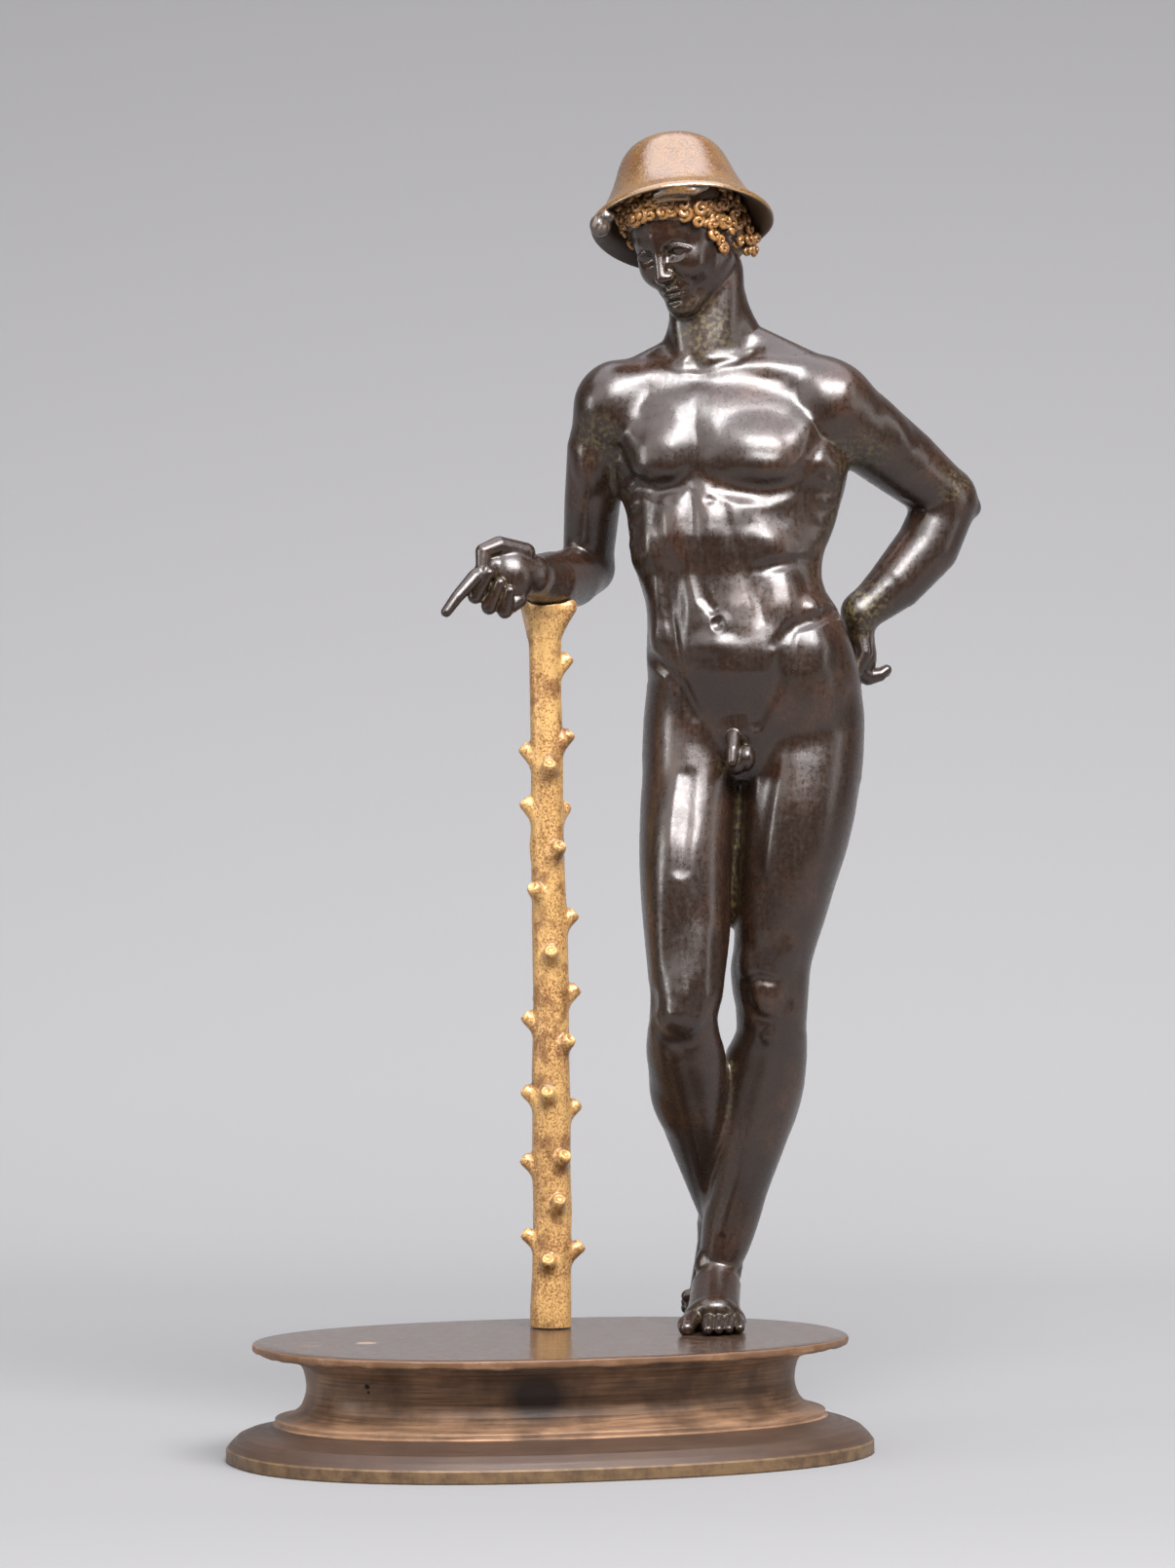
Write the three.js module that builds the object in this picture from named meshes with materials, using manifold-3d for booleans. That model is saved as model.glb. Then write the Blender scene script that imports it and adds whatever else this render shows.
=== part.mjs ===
// A bronze youth with a gilded hat, leaning on a gilded knotty branch, on an oval plinth.
// Millimetres, +Z up. The origin is the middle of the plinth's underside, and the plinth's
// long axis lies along X. The youth is modelled in shares of its own height.
import * as THREE from 'three';
import { mergeVertices } from 'three/addons/utils/BufferGeometryUtils.js';
import Module from 'manifold-3d';

// plinth
const PLINTH_TALL = 31.5;
const PLATE_LONG = 162.4;
const PLATE_DEEP = 104;
const PLATE_THICK = 2.3;
const PLATE_OVERHANG = 10.8;
const NECK_INSET = 14.2;
const FOOT_SPREAD = 6.9;
const FOOT_BAND = 3.4;
const OVAL_FULLNESS = 2.3;

// youth and branch
const YOUTH_TALL = 322.9;
const BRANCH_THICK = 11.3;
const STUB_THICK = 4.4;
const STANCE_TURN = -18.9;
const STANCE_X = 44.4;
const STANCE_Y = 29;

// room left between pieces that touch
const CLEARANCE = 0.3;
const SADDLE_CLEARANCE = 0.45;

// fineness of the modelling
const YOUTH_GRAIN = 1.15;
const BRANCH_GRAIN = 0.8;
const YOUTH_FACES = 6700;
const BRANCH_FACES = 1250;
const PLINTH_SIDES = 52;

// the youth's height divided into this many parts, from the soles to the top of the hat
const PARTS = 1226;
const PART = YOUTH_TALL / PARTS;
const HEAD_AT = [-39, -2, 1126];
const HEAD_TURN = [[0, -16, 0], [0, 0, -34], [22, 0, 0]];
const HEAD_SIZE = 1.1;
const HAT_AT = [-38, 0, 1129];
const HAT_TURN = [[0, -5.5, 0], [-27, 0, 0]];

const wasm = await Module();
wasm.setup();

// rotation matrix for turns about X, then Y, then Z, in degrees
function turnMatrix(turn) {
  const [a, b, c] = turn.map(THREE.MathUtils.degToRad);
  return new THREE.Matrix4().makeRotationFromEuler(new THREE.Euler(a, b, c, 'ZYX'));
}

function turnsMatrix(turns) {
  const whole = new THREE.Matrix4();
  for (const turn of turns) {
    whole.multiply(turnMatrix(turn));
  }
  return whole;
}

// smooth curve through rows of values, without overshoot between them
class Profile {
  constructor(rows) {
    this.rows = [...rows].sort((a, b) => a[0] - b[0]);
    this.keys = this.rows.map((row) => row[0]);
    this.width = this.rows[0].length - 1;
    this.slopes = this.rows.map(() => new Array(this.width).fill(0));
    for (let c = 0; c < this.width; c += 1) {
      this.fitSlopes(c);
    }
  }

  fitSlopes(c) {
    const count = this.rows.length;
    const gaps = [];
    const rise = [];
    for (let i = 0; i < count - 1; i += 1) {
      gaps.push(this.keys[i + 1] - this.keys[i]);
      rise.push((this.rows[i + 1][c + 1] - this.rows[i][c + 1]) / gaps[i]);
    }
    for (let i = 1; i < count - 1; i += 1) {
      if (rise[i - 1] * rise[i] > 0) {
        const before = 2 * gaps[i] + gaps[i - 1];
        const after = gaps[i] + 2 * gaps[i - 1];
        this.slopes[i][c] = (before + after) / (before / rise[i - 1] + after / rise[i]);
      }
    }
    this.slopes[0][c] = rise[0];
    this.slopes[count - 1][c] = rise[count - 2];
  }

  at(key, out) {
    const keys = this.keys;
    let i = 0;
    while (i < keys.length - 2 && key > keys[i + 1]) {
      i += 1;
    }
    const gap = keys[i + 1] - keys[i];
    const t = Math.min(Math.max((key - keys[i]) / gap, 0), 1);
    const t2 = t * t;
    const t3 = t2 * t;
    for (let c = 0; c < this.width; c += 1) {
      out[c] = (2 * t3 - 3 * t2 + 1) * this.rows[i][c + 1]
        + (t3 - 2 * t2 + t) * gap * this.slopes[i][c]
        + (3 * t2 - 2 * t3) * this.rows[i + 1][c + 1]
        + (t3 - t2) * gap * this.slopes[i + 1][c];
    }
    return out;
  }
}

// A block of modelling clay: the signed distance to its surface at each point of a grid.
// Negative is inside. Shapes are added, cut or pressed in with a soft join.
class Clay {
  constructor(low, high, step) {
    this.low = low;
    this.step = step;
    this.count = low.map((v, i) => Math.ceil((high[i] - v) / step) + 1);
    this.field = new Float32Array(this.count[0] * this.count[1] * this.count[2]).fill(60);
    this.place();
  }

  // shapes that follow are placed in this frame
  place(origin = [0, 0, 0], matrix = new THREE.Matrix4(), size = 1) {
    this.origin = new THREE.Vector3(...origin);
    this.matrix = matrix;
    this.size = size;
  }

  spot(point) {
    const v = new THREE.Vector3(...point).multiplyScalar(this.size);
    return v.applyMatrix4(this.matrix).add(this.origin);
  }

  // calls visit(index, x, y, z) for each grid point in a box
  within(low, high, visit) {
    const from = [];
    const to = [];
    for (let i = 0; i < 3; i += 1) {
      from.push(Math.max(0, Math.ceil((low[i] - this.low[i]) / this.step)));
      to.push(Math.min(this.count[i], Math.floor((high[i] - this.low[i]) / this.step) + 1));
    }
    const [nx, ny] = this.count;
    for (let k = from[2]; k < to[2]; k += 1) {
      const z = this.low[2] + k * this.step;
      for (let j = from[1]; j < to[1]; j += 1) {
        const y = this.low[1] + j * this.step;
        let index = (k * ny + j) * nx + from[0];
        for (let i = from[0]; i < to[0]; i += 1) {
          visit(index, this.low[0] + i * this.step, y, z);
          index += 1;
        }
      }
    }
  }

  // joins a shape to the clay, or cuts it away, rounding the join over the soft width
  shape(low, high, distance, soft, op) {
    const edge = soft + 8;
    const field = this.field;
    const k = Math.max(soft, 1e-6);
    this.within(low.map((v) => v - edge), high.map((v) => v + edge), (index, x, y, z) => {
      const d = field[index];
      if (op === 'cut') {
        const q = -distance(x, y, z);
        const h = Math.min(Math.max(0.5 - (0.5 * (d - q)) / k, 0), 1);
        field[index] = d * (1 - h) + q * h + k * h * (1 - h);
      } else {
        const p = distance(x, y, z);
        const h = Math.min(Math.max(0.5 + (0.5 * (d - p)) / k, 0), 1);
        field[index] = d * (1 - h) + p * h - k * h * (1 - h);
      }
    });
  }

  // axes of a turned box as rows, and how far the box reaches along each world axis
  axes(turn, radii) {
    const e = this.matrix.clone().multiply(turnMatrix(turn)).elements;
    const rows = [[e[0], e[1], e[2]], [e[4], e[5], e[6]], [e[8], e[9], e[10]]];
    const reach = [0, 1, 2].map((c) => Math.hypot(...rows.map((row, i) => row[c] * radii[i])));
    return { rows, reach };
  }

  // ellipsoid
  ball(centre, radii, { turn = [0, 0, 0], soft = 6, op = 'add' } = {}) {
    const c = this.spot(centre);
    const [ra, rb, rc] = radii.map((r) => r * this.size);
    const { rows, reach } = this.axes(turn, [ra, rb, rc]);
    const [u, v, w] = rows;
    const low = [c.x - reach[0], c.y - reach[1], c.z - reach[2]];
    const high = [c.x + reach[0], c.y + reach[1], c.z + reach[2]];
    this.shape(low, high, (px, py, pz) => {
      const x = px - c.x;
      const y = py - c.y;
      const z = pz - c.z;
      const a = (u[0] * x + u[1] * y + u[2] * z) / ra;
      const b = (v[0] * x + v[1] * y + v[2] * z) / rb;
      const g = (w[0] * x + w[1] * y + w[2] * z) / rc;
      const k0 = Math.sqrt(a * a + b * b + g * g);
      const k1 = Math.sqrt((a / ra) ** 2 + (b / rb) ** 2 + (g / rc) ** 2);
      return (k0 * (k0 - 1)) / Math.max(k1, 1e-6);
    }, soft, op);
  }

  // distance to a row of round cones; flat is a direction and a share to squash along it
  chainDistance(points, radii, flat) {
    const spots = points.map((p) => this.spot(p));
    const sizes = radii.map((r) => r * this.size);
    const links = spots.slice(1).map((p, i) => p.clone().sub(spots[i]));
    const lengths = links.map((link) => link.lengthSq());
    let squash = null;
    if (flat) {
      squash = new THREE.Vector3(...flat.slice(0, 3)).applyMatrix4(this.matrix).normalize();
    }
    return (px, py, pz) => {
      let best = 1e9;
      for (let i = 0; i < links.length; i += 1) {
        const a = spots[i];
        const link = links[i];
        let x = px - a.x;
        let y = py - a.y;
        let z = pz - a.z;
        const along = (x * link.x + y * link.y + z * link.z) / lengths[i];
        const t = Math.min(Math.max(along, 0), 1);
        x -= t * link.x;
        y -= t * link.y;
        z -= t * link.z;
        const r = sizes[i] + t * (sizes[i + 1] - sizes[i]);
        let d = x * x + y * y + z * z;
        if (squash) {
          const q = x * squash.x + y * squash.y + z * squash.z;
          d = (Math.sqrt(Math.max(d - q * q + (q / flat[3]) ** 2, 0)) - r) * Math.min(1, flat[3]);
        } else {
          d = Math.sqrt(d) - r;
        }
        best = Math.min(best, d);
      }
      return best;
    };
  }

  // row of round cones through the points
  chain(points, radii, { soft = 6, op = 'add', flat = null } = {}) {
    const distance = this.chainDistance(points, radii, flat);
    const spots = points.map((p) => this.spot(p));
    const r = Math.max(...radii) * this.size * Math.max(1, flat ? flat[3] : 1);
    const low = ['x', 'y', 'z'].map((a) => Math.min(...spots.map((p) => p[a])) - r);
    const high = ['x', 'y', 'z'].map((a) => Math.max(...spots.map((p) => p[a])) + r);
    this.shape(low, high, distance, soft, op);
  }

  cone(from, to, ra, rb, options) {
    this.chain([from, to], [ra, rb], options);
  }

  // body of rounded sections; each row is height, left, right, front and back
  stack(rows, { square = 2.2, soft = 6 } = {}) {
    const profile = new Profile(rows);
    const v = [0, 0, 0, 0];
    const bottom = profile.keys[0];
    const top = profile.keys[profile.keys.length - 1];
    const low = [Math.min(...rows.map((r) => r[1])), Math.min(...rows.map((r) => r[3])), bottom];
    const high = [Math.max(...rows.map((r) => r[2])), Math.max(...rows.map((r) => r[4])), top];
    let last = NaN;
    this.shape(low, high, (x, y, z) => {
      if (z !== last) {
        profile.at(z, v);
        last = z;
      }
      const half = (v[1] - v[0]) / 2;
      const deep = (v[3] - v[2]) / 2;
      const a = Math.abs(x - (v[0] + v[1]) / 2) / half;
      const b = Math.abs(y - (v[2] + v[3]) / 2) / deep;
      const q = ((a ** square + b ** square) ** (1 / square) - 1) * Math.min(half, deep);
      const out = Math.max(bottom - z, z - top);
      return out > 0 ? Math.hypot(Math.max(q, 0), out) : Math.max(q, out * 0.7);
    }, soft, 'add');
  }

  // soft mound, or hollow where the height is negative, fading out at its radii
  swell(centre, radii, height, { turn = [0, 0, 0] } = {}) {
    const c = this.spot(centre);
    const [ra, rb, rc] = radii.map((r) => r * this.size);
    const { rows, reach } = this.axes(turn, [ra, rb, rc]);
    const [u, v, w] = rows;
    const low = [c.x - reach[0], c.y - reach[1], c.z - reach[2]];
    const high = [c.x + reach[0], c.y + reach[1], c.z + reach[2]];
    const field = this.field;
    const lift = height * this.size;
    this.within(low, high, (index, px, py, pz) => {
      const x = px - c.x;
      const y = py - c.y;
      const z = pz - c.z;
      const t = ((u[0] * x + u[1] * y + u[2] * z) / ra) ** 2
        + ((v[0] * x + v[1] * y + v[2] * z) / rb) ** 2
        + ((w[0] * x + w[1] * y + w[2] * z) / rc) ** 2;
      if (t < 1) {
        field[index] -= lift * (1 - t) ** 2;
      }
    });
  }

  // soft ridge along a line, or furrow where the heights are negative
  crease(points, radii, heights) {
    const spots = points.map((p) => this.spot(p));
    const sizes = radii.map((r) => r * this.size);
    const lifts = heights.map((h) => h * this.size);
    const r = Math.max(...sizes);
    const low = ['x', 'y', 'z'].map((a) => Math.min(...spots.map((p) => p[a])) - r);
    const high = ['x', 'y', 'z'].map((a) => Math.max(...spots.map((p) => p[a])) + r);
    const field = this.field;
    this.within(low, high, (index, px, py, pz) => {
      let best = 1;
      let lift = 0;
      for (let i = 0; i < spots.length - 1; i += 1) {
        const a = spots[i];
        const b = spots[i + 1];
        const ux = b.x - a.x;
        const uy = b.y - a.y;
        const uz = b.z - a.z;
        let x = px - a.x;
        let y = py - a.y;
        let z = pz - a.z;
        const along = (x * ux + y * uy + z * uz) / (ux * ux + uy * uy + uz * uz);
        const t = Math.min(Math.max(along, 0), 1);
        x -= t * ux;
        y -= t * uy;
        z -= t * uz;
        const q = (x * x + y * y + z * z) / (sizes[i] + t * (sizes[i + 1] - sizes[i])) ** 2;
        if (q < best) {
          best = q;
          lift = lifts[i] + t * (lifts[i + 1] - lifts[i]);
        }
      }
      field[index] -= lift * (1 - best) ** 2;
    });
  }

  // bell of a hat round its own axis; rows are radius, top and underside heights, out to
  // the brim's edge, and dents are a direction in degrees, a half width and a share that
  // the brim grows there
  bell(centre, matrix, rows, dents) {
    const radius = rows[rows.length - 1][0];
    const c = this.spot(centre);
    const e = matrix.elements;
    const steps = 200;
    const profile = new Profile(rows);
    const span = radius + 20;
    const tops = new Float64Array(steps + 1);
    const unders = new Float64Array(steps + 1);
    for (let i = 0; i <= steps; i += 1) {
      const [top, under] = profile.at(Math.min((i / steps) * span, radius), [0, 0]);
      tops[i] = top;
      unders[i] = under;
    }
    const slant = (list, i) => 1 / Math.hypot(1, ((list[i + 1] - list[i]) * steps) / span);
    const round = 2.5;
    const high = [c.x + radius + 6, c.y + radius + 46, c.z + radius + 26];
    const low = [c.x - radius - 6, c.y - radius - 6, c.z - radius - 6];
    this.shape(low, high, (px, py, pz) => {
      const x = px - c.x;
      const y = py - c.y;
      const z = pz - c.z;
      const a = e[0] * x + e[1] * y + e[2] * z;
      const b = e[4] * x + e[5] * y + e[6] * z;
      const h = e[8] * x + e[9] * y + e[10] * z;
      let r = Math.hypot(a, b);
      const way = THREE.MathUtils.radToDeg(Math.atan2(b, a));
      let grow = 1;
      for (const [at, wide, share] of dents) {
        const off = THREE.MathUtils.euclideanModulo(way - at + 180, 360) - 180;
        const near = Math.max(0, 1 - (off / wide) ** 2) ** 2;
        grow += share * near * Math.min(Math.max((r - 55) / 40, 0), 1);
      }
      r /= grow;
      const f = Math.min((r / span) * steps, steps - 0.01);
      const i = Math.floor(f);
      const t = f - i;
      const top = tops[i] * (1 - t) + tops[i + 1] * t;
      const under = unders[i] * (1 - t) + unders[i + 1] * t;
      const d = Math.max((h - top) * slant(tops, i), (under - h) * slant(unders, i));
      const out = r - radius;
      if (out > -round && d > -round) {
        return Math.hypot(Math.max(out + round, 0), Math.max(d + round, 0)) - round;
      }
      return Math.max(d, out);
    }, 3, 'add');
  }

  // distance at a point along a line of sight: first y at which the clay begins
  front(x, z, from, to) {
    const [nx, ny] = this.count;
    const i = Math.round((x - this.low[0]) / this.step);
    const k = Math.round((z - this.low[2]) / this.step);
    for (let j = 0; j < ny; j += 1) {
      const y = this.low[1] + j * this.step;
      if (y > from && y < to && this.field[(k * ny + j) * nx + i] < 0) {
        return y;
      }
    }
    return 0;
  }
}

// The six tetrahedra of a cube that share its long diagonal, as corner numbers.
const TETRAHEDRA = [
  [0, 1, 3, 7], [0, 3, 2, 7], [0, 2, 6, 7], [0, 6, 4, 7], [0, 4, 5, 7], [0, 5, 1, 7],
];

// closed surface of the clay, where the distance is zero
function skin(clay) {
  const [nx, ny, nz] = clay.count;
  const { field, low, step } = clay;
  const corner = [];
  for (let c = 0; c < 8; c += 1) {
    corner.push((c & 1) + ((c >> 1) & 1) * nx + ((c >> 2) & 1) * nx * ny);
  }
  const points = [];
  const faces = [];
  const known = new Map();
  const total = field.length;
  const crossing = (a, b) => {
    const p = Math.min(a, b);
    const q = Math.max(a, b);
    const key = p * 8 + corner.indexOf(q - p);
    const found = known.get(key);
    if (found !== undefined) {
      return found;
    }
    const t = Math.min(Math.max(field[p] / (field[p] - field[q]), 0.03), 0.97);
    const place = [0, 0, 0];
    for (const [at, share] of [[p, 1 - t], [q, t]]) {
      place[0] += share * (low[0] + (at % nx) * step);
      place[1] += share * (low[1] + (Math.floor(at / nx) % ny) * step);
      place[2] += share * (low[2] + Math.floor(at / (nx * ny)) * step);
    }
    known.set(key, points.length / 3);
    points.push(...place);
    return points.length / 3 - 1;
  };
  for (let k = 0; k < nz - 1; k += 1) {
    for (let j = 0; j < ny - 1; j += 1) {
      for (let i = 0; i < nx - 1; i += 1) {
        const base = (k * ny + j) * nx + i;
        let inside = 0;
        for (let c = 0; c < 8; c += 1) {
          inside += field[base + corner[c]] < 0 ? 1 : 0;
        }
        if (inside === 0 || inside === 8 || base + corner[7] >= total) {
          continue;
        }
        for (const tetra of TETRAHEDRA) {
          const ins = [];
          const outs = [];
          tetra.forEach((c, n) => (field[base + corner[c]] < 0 ? ins : outs).push(n));
          if (ins.length === 0 || outs.length === 0) {
            continue;
          }
          const at = (n) => base + corner[tetra[n]];
          // an odd order of the four corners turns the face round
          const order = [...ins, ...outs];
          let swaps = 0;
          for (let a = 0; a < 4; a += 1) {
            for (let b = a + 1; b < 4; b += 1) {
              swaps += order[a] > order[b] ? 1 : 0;
            }
          }
          const odd = swaps % 2 === 1;
          const add = (a, b, c) => faces.push(...(odd ? [a, c, b] : [a, b, c]));
          if (ins.length === 1) {
            const [a, b, c] = outs.map((n) => crossing(at(ins[0]), at(n)));
            add(a, b, c);
          } else if (ins.length === 3) {
            const [a, b, c] = ins.map((n) => crossing(at(n), at(outs[0])));
            add(a, b, c);
          } else {
            const a = crossing(at(ins[0]), at(outs[0]));
            const b = crossing(at(ins[0]), at(outs[1]));
            const c = crossing(at(ins[1]), at(outs[1]));
            const d = crossing(at(ins[1]), at(outs[0]));
            add(a, b, c);
            add(a, c, d);
          }
        }
      }
    }
  }
  return { points: Float64Array.from(points), faces: Int32Array.from(faces) };
}

// heap of edges, cheapest first, held in plain number lists
class Heap {
  constructor(room) {
    this.cost = new Float64Array(room);
    this.ends = new Int32Array(2 * room);
    this.stamp = new Int32Array(room);
    this.size = 0;
  }

  grow() {
    for (const key of ['cost', 'ends', 'stamp']) {
      const old = this[key];
      this[key] = new old.constructor(old.length * 2);
      this[key].set(old);
    }
  }

  set(i, cost, a, b, stamp) {
    this.cost[i] = cost;
    this.ends[2 * i] = a;
    this.ends[2 * i + 1] = b;
    this.stamp[i] = stamp;
  }

  move(from, to) {
    this.set(to, this.cost[from], this.ends[2 * from], this.ends[2 * from + 1], this.stamp[from]);
  }

  push(cost, a, b, stamp) {
    if (this.size === this.cost.length) {
      this.grow();
    }
    let i = this.size;
    this.size += 1;
    while (i > 0) {
      const up = (i - 1) >> 1;
      if (this.cost[up] <= cost) {
        break;
      }
      this.move(up, i);
      i = up;
    }
    this.set(i, cost, a, b, stamp);
  }

  // drops the first edge
  drop() {
    this.size -= 1;
    const n = this.size;
    const cost = this.cost[n];
    const a = this.ends[2 * n];
    const b = this.ends[2 * n + 1];
    const stamp = this.stamp[n];
    let i = 0;
    for (;;) {
      let next = 2 * i + 1;
      if (next >= n) {
        break;
      }
      if (next + 1 < n && this.cost[next + 1] < this.cost[next]) {
        next += 1;
      }
      if (this.cost[next] >= cost) {
        break;
      }
      this.move(next, i);
      i = next;
    }
    this.set(i, cost, a, b, stamp);
  }
}

// Thins a closed surface by joining the two ends of the edge that changes the shape least,
// again and again, until few enough faces are left. Each corner keeps the sum of squared
// distances to the planes of the faces that it has swallowed, as ten numbers.
class Thinning {
  constructor({ points, faces }, weight) {
    this.points = points;
    this.faces = faces;
    this.left = faces.length / 3;
    const count = points.length / 3;
    this.ring = Array.from({ length: count }, () => []);
    this.planes = new Float64Array(count * 10);
    this.age = new Int32Array(count);
    this.gone = new Uint8Array(count);
    this.dead = new Uint8Array(this.left);
    this.mark = new Int32Array(count);
    this.seen = new Int32Array(count);
    this.tick = 0;
    this.sum = new Float64Array(10);
    this.place = [0, 0, 0];
    for (let f = 0; f < this.left; f += 1) {
      this.addPlane(f, weight);
    }
    this.heap = new Heap(count * 4);
  }

  addPlane(f, weight) {
    const { points, faces } = this;
    const [x, y, z] = this.normal(f, -1, -1);
    const size = Math.hypot(x, y, z) || 1e-12;
    const p = 3 * faces[3 * f];
    const d = -(x * points[p] + y * points[p + 1] + z * points[p + 2]) / size;
    const plane = [x / size, y / size, z / size, d];
    for (let c = 0; c < 3; c += 1) {
      const v = faces[3 * f + c];
      this.ring[v].push(f);
      const w = size * weight(points[3 * v], points[3 * v + 1], points[3 * v + 2]);
      let slot = v * 10;
      for (let i = 0; i < 4; i += 1) {
        for (let j = i; j < 4; j += 1) {
          this.planes[slot] += w * plane[i] * plane[j];
          slot += 1;
        }
      }
    }
  }

  // direction of a face, with two of its possible corners moved to this.place
  normal(f, a, b) {
    const { points, faces, place } = this;
    const spot = (c, axis) => {
      const v = faces[3 * f + c];
      return v === a || v === b ? place[axis] : points[3 * v + axis];
    };
    const px = spot(0, 0);
    const py = spot(0, 1);
    const pz = spot(0, 2);
    const ux = spot(1, 0) - px;
    const uy = spot(1, 1) - py;
    const uz = spot(1, 2) - pz;
    const vx = spot(2, 0) - px;
    const vy = spot(2, 1) - py;
    const vz = spot(2, 2) - pz;
    return [uy * vz - uz * vy, uz * vx - ux * vz, ux * vy - uy * vx];
  }

  costAt(x, y, z) {
    const q = this.sum;
    return q[0] * x * x + q[4] * y * y + q[7] * z * z + q[9]
      + 2 * (q[1] * x * y + q[2] * x * z + q[3] * x + q[5] * y * z + q[6] * y + q[8] * z);
  }

  // puts the cheapest place for the joined corner in this.place and returns what it costs
  best(a, b) {
    const { planes, points, place } = this;
    const q = this.sum;
    for (let i = 0; i < 10; i += 1) {
      q[i] = planes[a * 10 + i] + planes[b * 10 + i];
    }
    const ax = points[3 * a];
    const ay = points[3 * a + 1];
    const az = points[3 * a + 2];
    const bx = points[3 * b];
    const by = points[3 * b + 1];
    const bz = points[3 * b + 2];
    const mx = (ax + bx) / 2;
    const my = (ay + by) / 2;
    const mz = (az + bz) / 2;
    const span = Math.hypot(ax - bx, ay - by, az - bz);
    let least = Infinity;
    const attempt = (x, y, z) => {
      const c = this.costAt(x, y, z);
      if (c < least) {
        least = c;
        place[0] = x;
        place[1] = y;
        place[2] = z;
      }
    };
    attempt(mx, my, mz);
    attempt(ax, ay, az);
    attempt(bx, by, bz);
    const m0 = q[4] * q[7] - q[5] * q[5];
    const m1 = q[1] * q[7] - q[5] * q[2];
    const m2 = q[1] * q[5] - q[4] * q[2];
    const det = q[0] * m0 - q[1] * m1 + q[2] * m2;
    if (Math.abs(det) > 1e-5 * (q[0] + q[4] + q[7]) ** 3) {
      const m3 = q[5] * q[8] - q[6] * q[7];
      const m4 = q[4] * q[8] - q[5] * q[6];
      const x = (-q[3] * m0 - q[1] * m3 + q[2] * -(q[5] * q[6] - q[4] * q[8])) / det;
      const y = (q[0] * m3 + q[3] * m1 + q[2] * (q[2] * q[6] - q[1] * q[8])) / det;
      const z = (-q[0] * m4 + q[1] * (q[1] * q[8] - q[6] * q[2]) - q[3] * m2) / det;
      if (Math.hypot(x - mx, y - my, z - mz) < 1.5 * span) {
        attempt(x, y, z);
      }
    }
    // a small charge for length keeps flat areas evenly spaced
    return Math.max(least, 0) + 1e-4 * span * span;
  }

  offer(a, b) {
    this.heap.push(this.best(a, b), a, b, this.age[a] + this.age[b]);
  }

  // corners next to a corner, marked with the current tick
  neighbours(v) {
    this.tick += 1;
    const list = [];
    for (const f of this.ring[v]) {
      for (let c = 3 * f; c < 3 * f + 3; c += 1) {
        const w = this.faces[c];
        if (w !== v && this.mark[w] !== this.tick) {
          this.mark[w] = this.tick;
          list.push(w);
        }
      }
    }
    return list;
  }

  // joining is allowed where it keeps the surface closed and turns no face over
  allowed(a, b) {
    const { faces, mark, seen } = this;
    let total = this.neighbours(a).length;
    const stamp = this.tick;
    let shared = 0;
    for (const f of this.ring[b]) {
      for (let c = 3 * f; c < 3 * f + 3; c += 1) {
        const w = faces[c];
        if (w !== b && seen[w] !== stamp) {
          seen[w] = stamp;
          total += 1;
          shared += mark[w] === stamp ? 1 : 0;
        }
      }
    }
    if (shared !== 2 || total < 8) {
      return false;
    }
    return this.keepsFacing(a, b) && this.keepsFacing(b, a);
  }

  keepsFacing(a, b) {
    const faces = this.faces;
    for (const f of this.ring[a]) {
      if (faces[3 * f] === b || faces[3 * f + 1] === b || faces[3 * f + 2] === b) {
        continue;
      }
      const [ux, uy, uz] = this.normal(f, -1, -1);
      const [vx, vy, vz] = this.normal(f, a, b);
      const before = Math.hypot(ux, uy, uz);
      const after = Math.hypot(vx, vy, vz);
      if (after < 1e-9 || ux * vx + uy * vy + uz * vz < 0.3 * before * after) {
        return false;
      }
    }
    return true;
  }

  join(a, b) {
    const { points, faces, planes, ring, dead } = this;
    for (let c = 0; c < 3; c += 1) {
      points[3 * a + c] = this.place[c];
    }
    for (let i = 0; i < 10; i += 1) {
      planes[a * 10 + i] += planes[b * 10 + i];
    }
    for (const f of ring[b]) {
      const corners = [faces[3 * f], faces[3 * f + 1], faces[3 * f + 2]];
      if (corners.includes(a)) {
        dead[f] = 1;
        this.left -= 1;
        for (const v of corners) {
          if (v !== a && v !== b) {
            ring[v] = ring[v].filter((g) => g !== f);
          }
        }
      } else {
        faces[3 * f + corners.indexOf(b)] = a;
      }
    }
    ring[a] = ring[a].concat(ring[b]).filter((f) => !dead[f]);
    ring[b] = [];
    this.gone[b] = 1;
    this.age[a] += 1;
    for (const v of this.neighbours(a)) {
      this.offer(a, v);
    }
  }

  run(target) {
    for (let v = 0; v < this.ring.length; v += 1) {
      for (const w of this.neighbours(v)) {
        if (v < w) {
          this.offer(v, w);
        }
      }
    }
    const { heap, gone, age } = this;
    while (this.left > target && heap.size > 0) {
      const a = heap.ends[0];
      const b = heap.ends[1];
      const stamp = heap.stamp[0];
      heap.drop();
      if (gone[a] || gone[b] || age[a] + age[b] !== stamp) {
        continue;
      }
      this.best(a, b);
      if (this.allowed(a, b)) {
        this.join(a, b);
      }
    }
    return this.result();
  }

  result() {
    const number = new Int32Array(this.ring.length).fill(-1);
    const points = [];
    const faces = [];
    for (let f = 0; f < this.dead.length; f += 1) {
      if (this.dead[f]) {
        continue;
      }
      for (let c = 3 * f; c < 3 * f + 3; c += 1) {
        const v = this.faces[c];
        if (number[v] < 0) {
          number[v] = points.length / 3;
          points.push(this.points[3 * v], this.points[3 * v + 1], this.points[3 * v + 2]);
        }
        faces.push(number[v]);
      }
    }
    return { points, faces };
  }
}

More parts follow.
